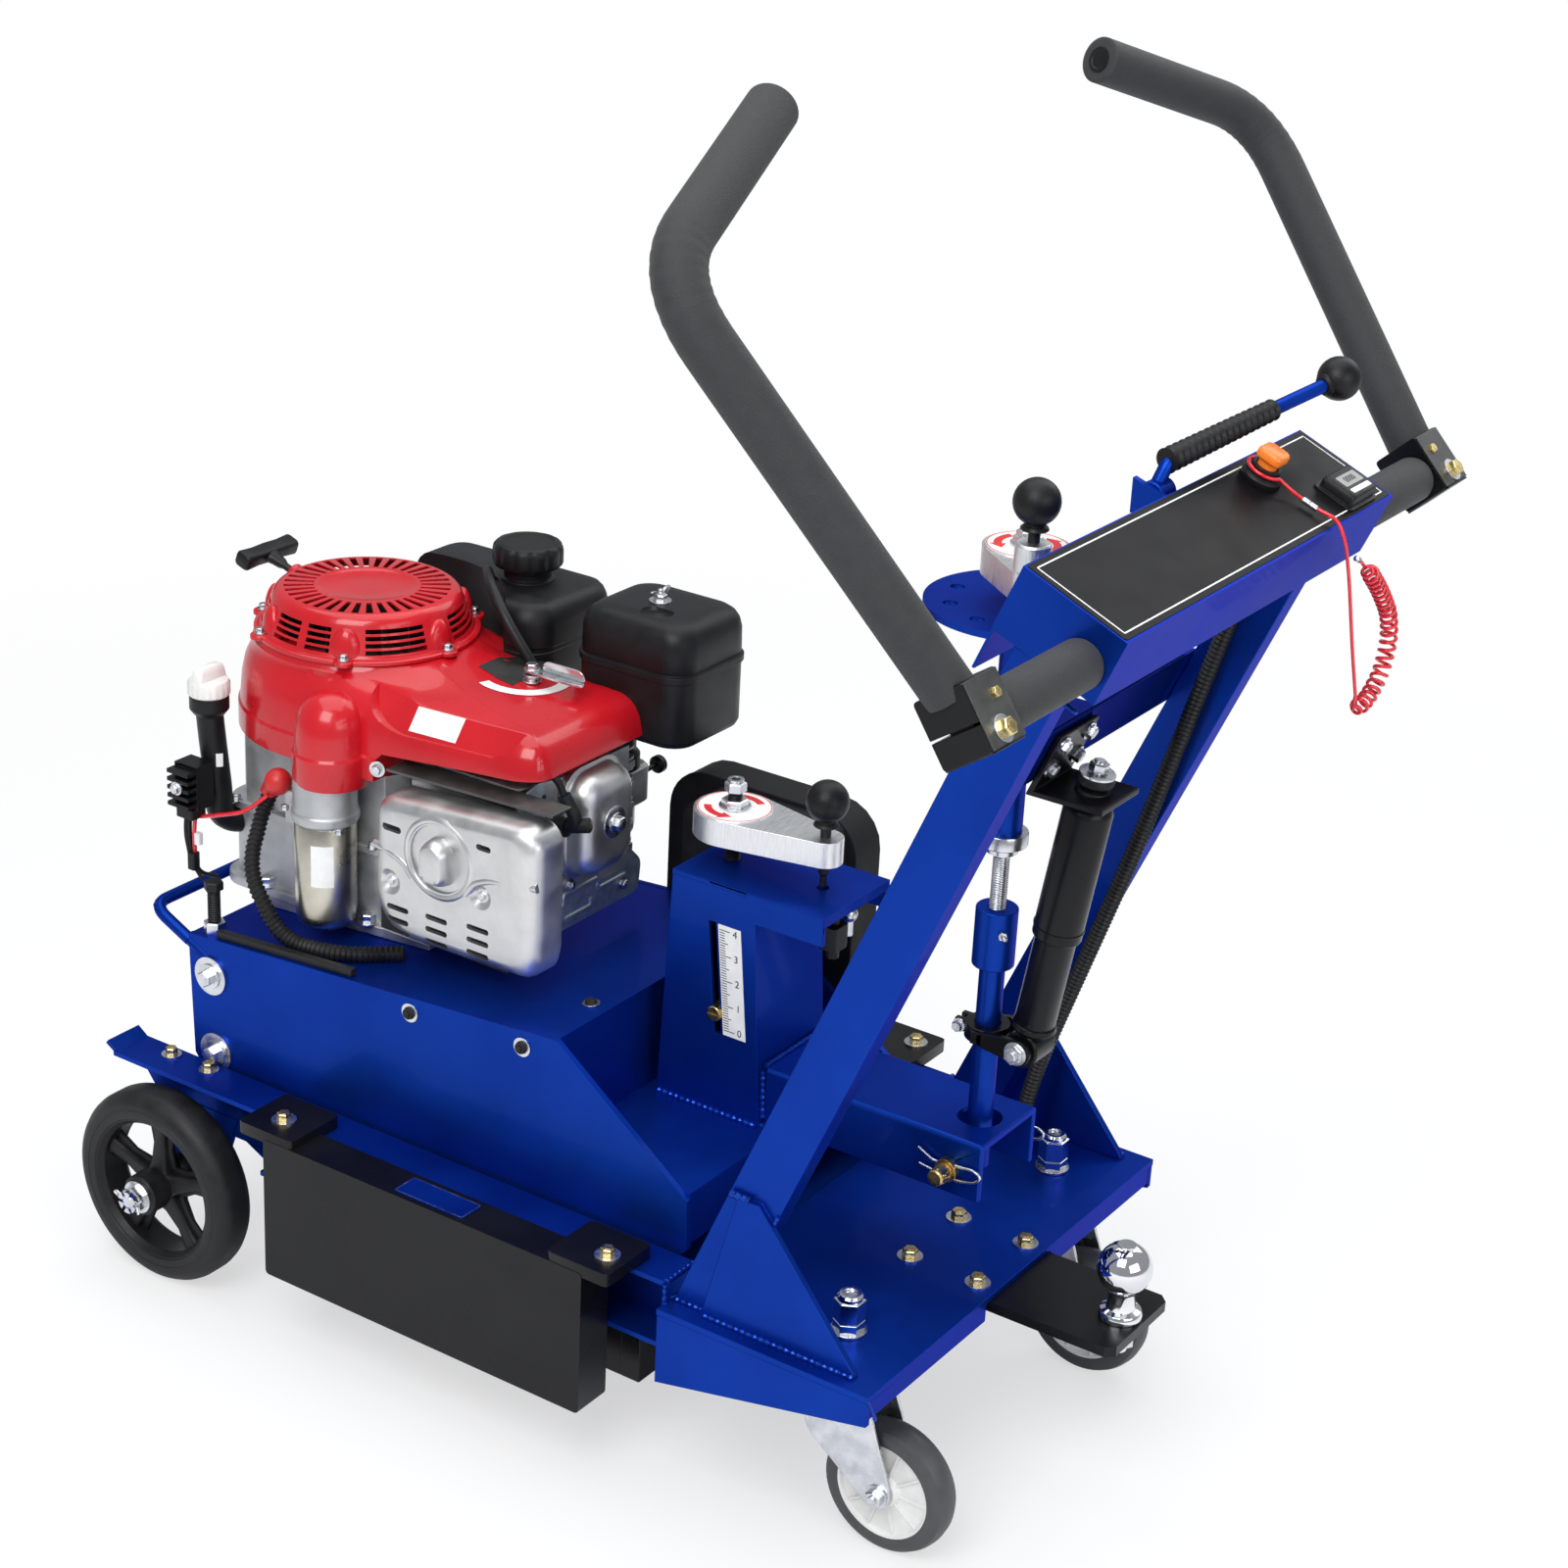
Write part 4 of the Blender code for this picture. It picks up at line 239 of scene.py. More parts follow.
def ribbed(path, radius, pitch=4.4, depth=1.5, sides=18):
    """Corrugated hose."""
    points = walk(path, pitch / 4)
    waves = [radius - depth * (0.5 - 0.5 * math.cos(math.pi * n / 2)) for n in range(len(points))]
    return swept(points, waves, sides)


def carved(shape, *cutters):
    """Shape less each cutter."""
    item = bpy.data.objects.new("carve", mesh_of("carve", [shape]))
    bpy.context.scene.collection.objects.link(item)
    tool = bpy.data.objects.new("tool", mesh_of("tool", cutters))
    bpy.context.scene.collection.objects.link(tool)
    step = item.modifiers.new("cut", "BOOLEAN")
    step.operation, step.solver, step.object = "DIFFERENCE", "EXACT", tool
    step.use_self = True
    made = item.evaluated_get(bpy.context.evaluated_depsgraph_get()).to_mesh()
    points = [(v.co - SHIFT) / MM for v in made.vertices]
    faces = [tuple(p.vertices) for p in made.polygons]
    for used in (item, tool):
        bpy.data.objects.remove(used)
    return points, faces


def moved(shape, matrix):
    return [matrix @ Vector(p) for p in shape[0]], shape[1]


def grid(rows):
    """Sheet over rows of points."""
    wide, faces = len(rows[0]), []
    for r in range(len(rows) - 1):
        for k in range(r * wide, (r + 1) * wide - 1):
            faces.append((k, k + 1, k + wide + 1, k + wide))
    return [p for row in rows for p in row], faces


def round_tag(at, radius, turns, heights):
    """Sheet bent round an upright cylinder, from a range of whole degrees."""
    around = [(at.x + radius * math.cos(math.radians(t)),
               at.y + radius * math.sin(math.radians(t))) for t in turns]
    return grid([[(x, y, z) for x, y in around] for z in heights])


def border(a0, b0, a1, b1, wide):
    """Low and high corners of four strips inside a rectangle."""
    return (((a0, b0), (a1, b0 + wide)), ((a0, b1 - wide), (a1, b1)), ((a0, b0), (a0 + wide, b1)),
            ((a1 - wide, b0), (a1, b1)))


def mirrored(half):
    """Profile followed by its reflection."""
    return half + [(a, -b) for a, b in half[::-1]]


def span(side, near, far):
    """Low and high x of a shape that lies from near to far on one side."""
    return sorted((side * near, side * far))


def mesh_of(name, shapes, flip=True):
    points, faces = [], []
    for shape in shapes:
        k = len(points)
        points += [put(p) for p in shape[0]]
        faces += [tuple(k + i for i in f) for f in shape[1]]
    mesh = bpy.data.meshes.new(name)
    mesh.from_pydata(points, [], faces)
    if flip:
        work = bmesh.new()
        work.from_mesh(mesh)
        bmesh.ops.recalc_face_normals(work, faces=work.faces)
        work.to_mesh(mesh)
        work.free()
    return mesh


def piece(name, shapes, finish, body, nodes=(), bevel=0.5, angle=32, wall=0.0):
    """One shown piece that rides a body and stands for the CAD nodes it names."""
    mesh = mesh_of(name, shapes, not wall)
    mesh.materials.append(FINISH[finish])
    mesh.shade_smooth()
    mesh.set_sharp_from_angle(angle=math.radians(angle))
    item = bpy.data.objects.new(name, mesh)
    bpy.context.scene.collection.objects.link(item)
    if wall:
        step = item.modifiers.new("wall", "SOLIDIFY")
        step.thickness, step.offset = wall * MM, -1
    if bevel:
        round_edges(item, bevel, angle)
    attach(item, body)
    if nodes:
        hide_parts(*nodes)
    return item


def round_edges(item, width, angle=32):
    step = item.modifiers.new("edges", "BEVEL")
    step.width, step.segments = width * MM, 2
    step.limit_method, step.angle_limit = "ANGLE", math.radians(angle)
    step.harden_normals = True


def dress(node, finish, bevel=1.2):
    """Finish a CAD node that stays in view."""
    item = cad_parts[node]
    item.data.materials.clear()
    item.data.materials.append(FINISH[finish])
    if item.data.has_custom_normals:
        item.data.attributes.remove(item.data.attributes["custom_normal"])
    item.data.shade_smooth()
    step = item.modifiers.new("weld", "WELD")
    step.merge_threshold = 0.00002
    round_edges(item, bevel, 25)


HARDWARE = {}


def add(finish, body, *shapes):
    HARDWARE.setdefault((finish, body), []).extend(shapes)


WASHER = 1.8


def nut(at, axis, radius, thick, across, height):
    """Washer with a hexagon on it."""
    axis = Vector(axis)
    return disc(at, axis, radius, thick), hexed(Vector(at) + axis * thick, axis, across, height)


def bolt(at, axis, across, height, body, finish="zinc", washer=0.0):
    at, axis = Vector(at), Vector(axis).normalized()
    lift = WASHER if washer else 0.0
    if washer:
        add("zinc", body, disc(at, axis, washer, WASHER))
    add(finish, body, hexed(at + axis * lift, axis, across, height))
    add(finish, body, disc(at + axis * (lift + height - 0.2), axis, across * 0.3, 0.5, steps=20))

def lettering(text, height, frame_at, right, up):
    """Raised figures laid on a face."""
    words = bpy.data.curves.new("figures", "FONT")
    words.body, words.size, words.extrude = text, height, 0.1
    words.align_x, words.align_y = "CENTER", "CENTER"
    item = bpy.data.objects.new("figures", words)
    bpy.context.scene.collection.objects.link(item)
    made = item.evaluated_get(bpy.context.evaluated_depsgraph_get()).to_mesh()
    out = right.cross(up)
    points = [frame_at + right * v.co.x + up * v.co.y + out * v.co.z for v in made.vertices]
    faces = [tuple(p.vertices) for p in made.polygons]
    bpy.data.objects.remove(item)
    return points, faces


def arc_arrow(at, radius, start, end, width, lift=0.3):
    """Flat curved arrow on a level face."""
    at = Vector(at)
    head = math.copysign(math.radians(26), end - start)
    a, b = math.radians(start), math.radians(end)
    inner, outer = [], []
    for k in range(13):
        t = a + (b - head - a) * k / 12
        inner.append((radius - width / 2, t))
        outer.append((radius + width / 2, t))
    tip = [(radius + width, b - head), (radius, b), (radius - width, b - head)]
    outline = [(at.x + r * math.cos(t), at.y + r * math.sin(t))
               for r, t in outer + tip + inner[::-1]]
    return extrude(outline, "z", at.z, at.z + lift)


# Finishes
FINISH = {}


def surface(name, dark, light, rough, scale, metal=0.0, coat=0.0, grain=None, stretch=(1, 1, 1),
            sheen=0.0, shine=0.5, tint=(1, 1, 1)):
    """Finish with a noise in its colour and gloss, and a fine grain (kind, scale, strength)."""
    material = bpy.data.materials.new(name)
    material.use_nodes = True
    tree = material.node_tree
    new, link = tree.nodes.new, tree.links.new
    shader = tree.nodes["Principled BSDF"]
    where, spread = new("ShaderNodeTexCoord"), new("ShaderNodeMapping")
    spread.inputs["Scale"].default_value = stretch
    link(where.outputs["Object"], spread.inputs["Vector"])
    noise = new("ShaderNodeTexNoise")
    noise.inputs["Scale"].default_value = scale
    noise.inputs["Detail"].default_value = 5
    link(spread.outputs["Vector"], noise.inputs["Vector"])
    even = new("ShaderNodeMapRange")
    even.inputs["From Min"].default_value, even.inputs["From Max"].default_value = 0.3, 0.7
    link(noise.outputs["Fac"], even.inputs["Value"])
    tone = new("ShaderNodeMix")
    tone.data_type = "RGBA"
    tone.inputs[6].default_value, tone.inputs[7].default_value = dark + (1,), light + (1,)
    link(even.outputs["Result"], tone.inputs[0])
    link(tone.outputs[2], shader.inputs["Base Color"])
    gloss = new("ShaderNodeMapRange")
    gloss.inputs["To Min"].default_value, gloss.inputs["To Max"].default_value = rough
    link(even.outputs["Result"], gloss.inputs["Value"])
    link(gloss.outputs["Result"], shader.inputs["Roughness"])
    shader.inputs["Metallic"].default_value = metal
    shader.inputs["Coat Weight"].default_value = coat
    shader.inputs["Coat Roughness"].default_value = 0.06
    shader.inputs["Sheen Weight"].default_value = sheen
    shader.inputs["Specular IOR Level"].default_value = shine
    shader.inputs["Specular Tint"].default_value = tint + (1,)
    if grain:
        kind, fine, strength = grain
        texture = new("ShaderNodeTexVoronoi" if kind == "cells" else "ShaderNodeTexNoise")
        texture.inputs["Scale"].default_value = fine
        link(spread.outputs["Vector"], texture.inputs["Vector"])
        bump = new("ShaderNodeBump")
        bump.inputs["Strength"].default_value = strength
        bump.inputs["Distance"].default_value = 0.0006
        link(texture.outputs["Distance" if kind == "cells" else "Fac"], bump.inputs["Height"])
        link(bump.outputs["Normal"], shader.inputs["Normal"])
    FINISH[name] = material


BLUE_EDGE = (0.10, 0.24, 0.90)
surface("blue_paint", (0.003, 0.030, 0.27), (0.005, 0.043, 0.35), (0.34, 0.44), 9, 0.75, 0.05,
        ("noise", 900, 0.05), shine=0.2, tint=BLUE_EDGE)
surface("weld", (0.004, 0.036, 0.28), (0.006, 0.050, 0.37), (0.26, 0.38), 40, 0.75, 0.2,
        ("noise", 320, 0.5), shine=0.3, tint=BLUE_EDGE)
surface("black_paint", (0.003, 0.003, 0.004), (0.006, 0.006, 0.007), (0.24, 0.34), 14, 0, 0,
        ("noise", 800, 0.06), shine=0.22)
surface("black_iron", (0.006, 0.006, 0.007), (0.015, 0.015, 0.016), (0.40, 0.56), 60, 0.1, 0,
        ("noise", 500, 0.35), shine=0.3)
surface("zinc", (0.52, 0.54, 0.57), (0.74, 0.75, 0.77), (0.20, 0.36), 70, 1.0, 0,
        ("noise", 700, 0.08))
surface("gold", (0.52, 0.38, 0.14), (0.80, 0.66, 0.34), (0.20, 0.34), 180, 1.0, 0,
        ("noise", 700, 0.08))
surface("chrome", (0.66, 0.67, 0.69), (0.78, 0.79, 0.80), (0.05, 0.12), 30, 1.0)
surface("alloy", (0.42, 0.43, 0.44), (0.58, 0.59, 0.60), (0.42, 0.58), 50, 0.9, 0,
        ("noise", 900, 0.4))
surface("machined", (0.66, 0.67, 0.68), (0.84, 0.85, 0.86), (0.26, 0.40), 60, 1.0, 0,
        ("noise", 300, 0.2), (1, 14, 1))
surface("pressed_steel", (0.55, 0.55, 0.55), (0.72, 0.72, 0.71), (0.30, 0.46), 30, 0.95, 0,
        ("noise", 1200, 0.15))
surface("galvanised", (0.38, 0.45, 0.53), (0.56, 0.62, 0.68), (0.34, 0.50), 120, 0.8, 0,
        ("cells", 160, 0.05))
surface("starter_can", (0.46, 0.43, 0.36), (0.66, 0.63, 0.55), (0.22, 0.34), 26, 1.0, 0,
        ("noise", 700, 0.05))
surface("red_cover", (0.45, 0.004, 0.010), (0.54, 0.007, 0.015), (0.24, 0.34), 12, 0, 0.45,
        ("noise", 500, 0.04), shine=0.3)
surface("red_rubber", (0.45, 0.010, 0.012), (0.55, 0.016, 0.018), (0.38, 0.5), 60, 0, 0.1,
        ("noise", 600, 0.1))
surface("red_print", (0.55, 0.010, 0.014), (0.64, 0.016, 0.020), (0.40, 0.5), 80)
surface("black_plastic", (0.005, 0.005, 0.006), (0.010, 0.010, 0.011), (0.34, 0.46), 40, 0, 0,
        ("noise", 1400, 0.25), shine=0.25)
surface("black_rubber", (0.006, 0.006, 0.007), (0.013, 0.013, 0.014), (0.38, 0.52), 60, 0, 0,
        ("noise", 900, 0.2), shine=0.3)
surface("foam", (0.027, 0.028, 0.030), (0.034, 0.035, 0.037), (0.60, 0.74), 90, 0, 0,
        ("cells", 900, 0.5), sheen=0.08, shine=0.25)
surface("tyre", (0.008, 0.008, 0.009), (0.016, 0.016, 0.017), (0.44, 0.6), 50, 0, 0,
        ("noise", 420, 0.25), shine=0.3)
surface("caster_tyre", (0.040, 0.041, 0.043), (0.062, 0.063, 0.066), (0.36, 0.52), 45, 0, 0,
        ("noise", 500, 0.15))
surface("white_plastic", (0.66, 0.66, 0.64), (0.78, 0.78, 0.76), (0.34, 0.48), 50, 0, 0,
        ("noise", 900, 0.1))
surface("label", (0.76, 0.76, 0.75), (0.84, 0.84, 0.83), (0.30, 0.42), 80)
surface("orange_plastic", (0.80, 0.16, 0.012), (0.92, 0.24, 0.022), (0.30, 0.42), 70, 0, 0.1,
        ("noise", 900, 0.1))
surface("red_cord", (0.62, 0.008, 0.018), (0.74, 0.014, 0.030), (0.22, 0.34), 120, 0, 0.4)
surface("brass", (0.50, 0.33, 0.10), (0.74, 0.55, 0.22), (0.22, 0.36), 110, 1.0, 0,
        ("noise", 700, 0.08))
surface("screen", (0.030, 0.034, 0.030), (0.060, 0.066, 0.058), (0.08, 0.16), 60, 0, 0.8)
surface("ink", (0.010, 0.010, 0.010), (0.016, 0.016, 0.016), (0.45, 0.55), 80)
surface("cutter", (0.10, 0.095, 0.09), (0.24, 0.23, 0.22), (0.40, 0.6), 90, 0.9, 0,
        ("noise", 260, 0.5))
surface("clear", (0.60, 0.62, 0.64), (0.72, 0.74, 0.76), (0.12, 0.2), 60, 0.8)
surface("dark_zinc", (0.085, 0.090, 0.088), (0.14, 0.145, 0.14), (0.34, 0.48), 40, 0.85, 0,
        ("noise", 900, 0.1))
surface("guard_black", (0.006, 0.006, 0.007), (0.012, 0.012, 0.013), (0.55, 0.7), 40, 0, 0,
        ("noise", 1200, 0.3), shine=0.2)
surface("yellow_wire", (0.62, 0.42, 0.03), (0.74, 0.52, 0.05), (0.4, 0.5), 80)
surface("panel_black", (0.004, 0.004, 0.005), (0.007, 0.007, 0.008), (0.30, 0.40), 30,
        0, 0, shine=0.06)
surface("lcd", (0.010, 0.012, 0.010), (0.016, 0.018, 0.016), (0.3, 0.4), 60)

# CAD nodes that stay in view
for node in ("rear_plate", "left_rail", "right_rail", "left_upright", "right_upright",
             "panel_tray", "drum_housing", "tower", "lift_arm"):
    dress(node, "blue_paint", 1.6)
for node in ("left_weight", "right_weight", "hitch_plate", "damper_bracket"):
    dress(node, "black_paint", 1.4)
dress("belt_guard", "guard_black", 1.0)
dress("engine_block", "alloy", 1.0)
dress("regulator", "black_paint", 0.6)
dress("cutter_drum", "cutter", 0.8)


DECK_FALL, DECK_RUN = 34, 454
LEAN = 0.4164


def deck_z(y):
    """Height of the sloping deck."""
    return 353 + DECK_FALL * (418 - y) / DECK_RUN


def upright_front(z):
    """Front face of the leaning uprights."""
    return -203 - (z - 201.3) * LEAN


TRAY_UPPER, TRAY_LOWER = Vector((0, -494, 957)), Vector((0, -586, 918))
SLOPE = (TRAY_UPPER - TRAY_LOWER).normalized()
TRAY_UP = X.cross(SLOPE)


def tray(x, along, lift):
    """Point over the sloping panel, along from its lower edge (0) to its upper edge (1)."""
    return TRAY_LOWER.lerp(TRAY_UPPER, along) + X * x + TRAY_UP * lift


# Handles
HANDLE_X, HANDLE_Y, HANDLE_Z = 394, -549, 893
FOAM = 20.5


def build_handle(side, name, body, lean):
    splay, tilt, arch = (math.radians(v) for v in (16.5, lean, 82))
    up = Vector((side * math.sin(splay), math.sin(tilt) * math.cos(splay),
                 math.cos(tilt) * math.cos(splay)))
    inward = -side * X
    inward = (inward - up * inward.dot(up)).normalized()
    base = Vector((side * HANDLE_X, HANDLE_Y, HANDLE_Z))
    corner = base + up * 382
    tip = corner + (up * math.cos(arch) + inward * math.sin(arch)) * 223
    path = walk(bend([base + up * 26, corner, tip], 60, 16), 3)
    radii = []
    for n, point in enumerate(path):
        near = math.exp(-(((point - corner).length - 26) / 22) ** 2)
        radii.append(FOAM - 0.5 * near * (0.5 + 0.5 * math.sin(n * 1.9)))
    last = path[-1]
    way = (path[-1] - path[-2]).normalized()
    path += [last + way * d for d in (0.4, 0.9, 1.1)]
    radii += [20.0, 18.6, 16.5]
    grip = piece(f"{name}_foam", [swept(path, radii, 40)], "foam", body, (name,), 0)
    bore = turned([(0, 0.2), (11.5, 0.2), (11.5, 1.4), (8.5, 1.4), (7.5, 0.6), (0, 0.6)],
                  path[-1] - way * 0.4, way)
    piece(f"{name}_plug", [bore], "black_plastic", body, bevel=0.3)
    c, s = math.cos(tilt), math.sin(tilt)

    def block(a, b):
        return (HANDLE_Y + a * c + b * s, HANDLE_Z - a * s + b * c)

    def clamp(a0, b0, a1, b1, half, corner=0.0):
        outline = [block(*p) for p in ((a0, b0), (a1, b0), (a1, b1), (a0, b1))]
        outline = round_off(outline, corner, 3) if corner else outline
        return extrude(outline, "x", side * HANDLE_X - half, side * HANDLE_X + half)

    split = carved(clamp(-23, -23, 23, 31, 23, 3.5), clamp(-24, -1, 24, 1, 24))
    piece(f"{name}_clamp", [split, clamp(-24, -24, 24, -22.2, 20)], "black_paint", body, bevel=0.8)
    back = Vector((0, -c, s))
    face = Vector((side * HANDLE_X, *block(-23, 0)))
    down = Vector((0, *block(0, -1))) - Vector((0, *block(0, 0)))
    bolt(face + down * 11 + side * X * 2 + back * 0.8, back, 13, 7, body, "gold", 10.5)
    bolt(face - down * 14 - side * X * 8 + back * 0.8, back, 8, 3.5, body, "gold")
    add("dark_zinc", body, clamp(-23.8, -22, -23, 30, 22))


build_handle(-1, "left_handlebar", "left_handle", 34)
build_handle(1, "right_handlebar", "right_handle", 43)
bar = [rod((-408, HANDLE_Y, HANDLE_Z), (408, HANDLE_Y, HANDLE_Z), 11, 32)]
piece("handle_bar", bar, "black_paint", "frame", ("handle_crossbar",), 0.4)
for side, name in ((-1, "left"), (1, "right")):
    sleeve = turned([(11.2, 0), (18.5, 0), (20.1, 0.8), (FOAM, 2.5), (FOAM, 130.7), (20.1, 132.4),
                     (18.5, 133.2), (11.2, 133.2)], (side * 237.3, HANDLE_Y, HANDLE_Z),
                    side * X, 40, True)
    piece(f"{name}_bar_foam", [sleeve], "foam", "frame", bevel=0)


# Front wheels
AXLE_Y, WHEEL_R = 407, 101.6


def build_wheel(side, name, body):
    r, h, way = WHEEL_R, 22.5, side * X
    mid = Vector((side * 249.5, AXLE_Y, r))
    profile = [(r - 28, -h + 3), (r - 26, -h + 0.6), (r - 23, -h), (r - 12, -h),
               (r - 8.5, -h + 1.6), (r - 4, -h + 5), (r - 1, -h + 10), (r, -h + 14)]
    tyre = turned(mirrored(profile), mid, way, 72, True)
    groove = turned([(r - 19, h - 0.2), (r - 18.4, h + 0.5), (r - 16.6, h + 0.5),
                     (r - 16, h - 0.2)], mid, way, 72, True)
    piece(f"{name}_tyre", [tyre, groove], "tyre", body, (name,), 0)
    rim = turned(mirrored([(r - 33, -h + 8), (r - 28, -h + 2), (r - 26, -h + 2)]),
                 mid, way, 72, True)
    hub = turned([(10.4, -h), (23, -h), (22, -h + 8), (19, -10), (19, 10), (21.5, h - 6),
                  (21, h + 12), (19.5, h + 14), (10.4, h + 14)], mid, way, 40, True)
    cast = [rim, hub]
    spokes = ((15, 12.5, 13), (26, 9.5, 10), (48, 7.5, 8), (64, 8.5, 8.5), (r - 26, 13, 11))
    webs = ((18, 17), (40, 12), (r - 27, 19))
    for n in range(5):
        turn = Matrix.Translation(mid) @ Matrix.Rotation(side * math.radians(90 + 72 * n), 4, way)
        spoke = lofted([[(p, reach, q) for p, q in round_rect(-deep, -half, deep, half, 4, 3)]
                        for reach, half, deep in spokes])
        web = lofted([[(p, reach, q) for p, q in round_rect(-2.5, -w, 2.5, w, 2, 2)]
                      for reach, w in webs])
        cast += [moved(spoke, turn), moved(web, turn)]
    piece(f"{name}_rim", cast, "black_iron", body, bevel=0.8)
    end = Vector((side * 286.2, AXLE_Y, r))
    add("zinc", "frame", *nut(end, way, 17, 2.2, 24, 9))
    crown = turned([(6, 0), (11.5, 0), (11.5, 5), (6, 5)], end + way * 11, way, 24, True)
    slots = []
    for n in range(3):
        turn = Matrix.Translation(end) @ Matrix.Rotation(math.radians(60 * n), 4, "X")
        slots.append(moved(slab((side * 13 - 3.5, -14, -1.8), (side * 13 + 3.5, 14, 1.8)), turn))
    add("zinc", "frame", carved(crown, *slots), rod(end + way * 9, end + way * 15, 7, 20, 1))
    tail = end + way * 13.4
    pin = [(0, 15, 3), (0, 0, 0.4), (0, -9, -1), (-side * 2, -17, 7)]
    leg = [(0, 15, 3), (0, 19, 5), (0, 16, 7), (0, 2, 1.6), (0, -10, 1), (side * 2, -15, -8)]
    for path, radius in ((pin, 5), (leg, 4)):
        add("zinc", "frame", swept(bend([tail + Vector(p) for p in path], radius), 1.3, 8))


build_wheel(-1, "left_wheel", "left_front_wheel")
build_wheel(1, "right_wheel", "right_front_wheel")

# Swivel casters
CASTER_X, FORK_Y, CASTER_Y, CASTER_R = 180, -352, -406, 63.5


def build_caster(side, name):
    x, fork_body, wheel_body = side * CASTER_X, f"{name}_swivel_fork", f"{name}_caster_wheel"
    at = Vector((x, FORK_Y, 0))
    shapes = [turned([(0, 168), (24, 168), (28, 171), (29, 175), (29, 188), (27, 190), (27, 194.5),
                      (0, 194.5)], at, Z)]
    leg = round_off([(-322, 170), (-384, 170), (-420, 70), (-416, 52), (-397, 49),
                     (-327, 104)], 11, 5)
    for a, b in ((-23, -19.4), (19.4, 23)):
        shapes.append(extrude(leg, "x", x + a, x + b))
    shapes.append(extrude(round_rect(-384, 137, -322, 172, 8), "x", x - 22.5, x + 22.5))
    piece(f"{name}_fork_shell", shapes, "zinc", fork_body, (f"{name}_fork",), 1.2)
    seal = turned([(26, 0), (29.6, 0), (29.6, 2.5), (26, 2.5)], at + Z * 180, Z, 40, True)
    add("black_iron", fork_body, seal)
    for way in (-X, X):
        end = Vector((x, CASTER_Y, CASTER_R)) + way * 23
        add("zinc", fork_body, *nut(end, way, 11, 1.6, 15, 6.5))
        add("zinc", fork_body, rod(end + way * 7, end + way * 10.5, 4.4, 18, 0.8))
    add("zinc", fork_body, disc(at + Z * 201.4, Z, 16.5, 2.4))
    add("chrome", fork_body, hexed(at + Z * 203.8, Z, 25, 10), hexed(at + Z * 213.8, Z, 25, 21))
    collar = [(6.5, 0), (11.6, 0), (11.6, 3.5), (10, 5.6), (6.5, 5.6)]
    add("chrome", fork_body, turned(collar, at + Z * 234.4, Z, 32, True))
    add("zinc", fork_body, rod(at + Z * 228, at + Z * 238, 6.6, 20, 1.0))
    r, c = CASTER_R, Vector((x, CASTER_Y, CASTER_R))
    half = [(r - 17, 15.2), (r - 14, 16), (r - 8, 15.4), (r - 3.4, 12.4), (r - 0.9, 7)]
    tread = turned(half + [(r, 0)] + mirrored(half)[len(half):], c, X, 64, True)
    piece(f"{name}_caster_tread", [tread], "caster_tyre", wheel_body, (f"{name}_caster",), 0)
    hub = [(6.8, 17), (14, 17), (15, 14.5), (17, 11), (30, 10.4), (r - 21, 11), (r - 19, 14.4),
           (r - 16.6, 15)]
    core = turned(mirrored(hub), c, X, 64, True)
    ribs = []
    for n in range(10):
        turn = Matrix.Translation(c) @ Matrix.Rotation(math.radians(36 * n), 4, "X")
        for s in (-1, 1):
            low, high = span(s, 10, 13.2)
            ribs.append(moved(slab((low, 15, -1.1), (high, r - 19.5, 1.1)), turn))
    piece(f"{name}_caster_core", [core, *ribs], "white_plastic", wheel_body, bevel=0.5)


build_caster(-1, "left")
build_caster(1, "right")


# Depth setting: index disc, crank, screw, lift tube, damper
POST = Vector((0, POST_Y, 0))
CRANK_HUB, CRANK_NOSE, CRANK_THICK = 38, 17, 25


def crank_arm(y, low, length, turn):
    """Tapered crank arm with a round at each end."""
    base = math.asin((CRANK_HUB - CRANK_NOSE) / length)
    outline = []
    for n in range(25):
        t = turn + math.pi / 2 - base + (math.pi + 2 * base) * n / 24
        outline.append((CRANK_HUB * math.cos(t), y + CRANK_HUB * math.sin(t)))
    for n in range(15):
        t = turn - math.pi / 2 + base + (math.pi - 2 * base) * n / 14
        outline.append((length * math.cos(turn) + CRANK_NOSE * math.cos(t),
                        y + length * math.sin(turn) + CRANK_NOSE * math.sin(t)))
    return extrude(outline, "z", low, low + CRANK_THICK)


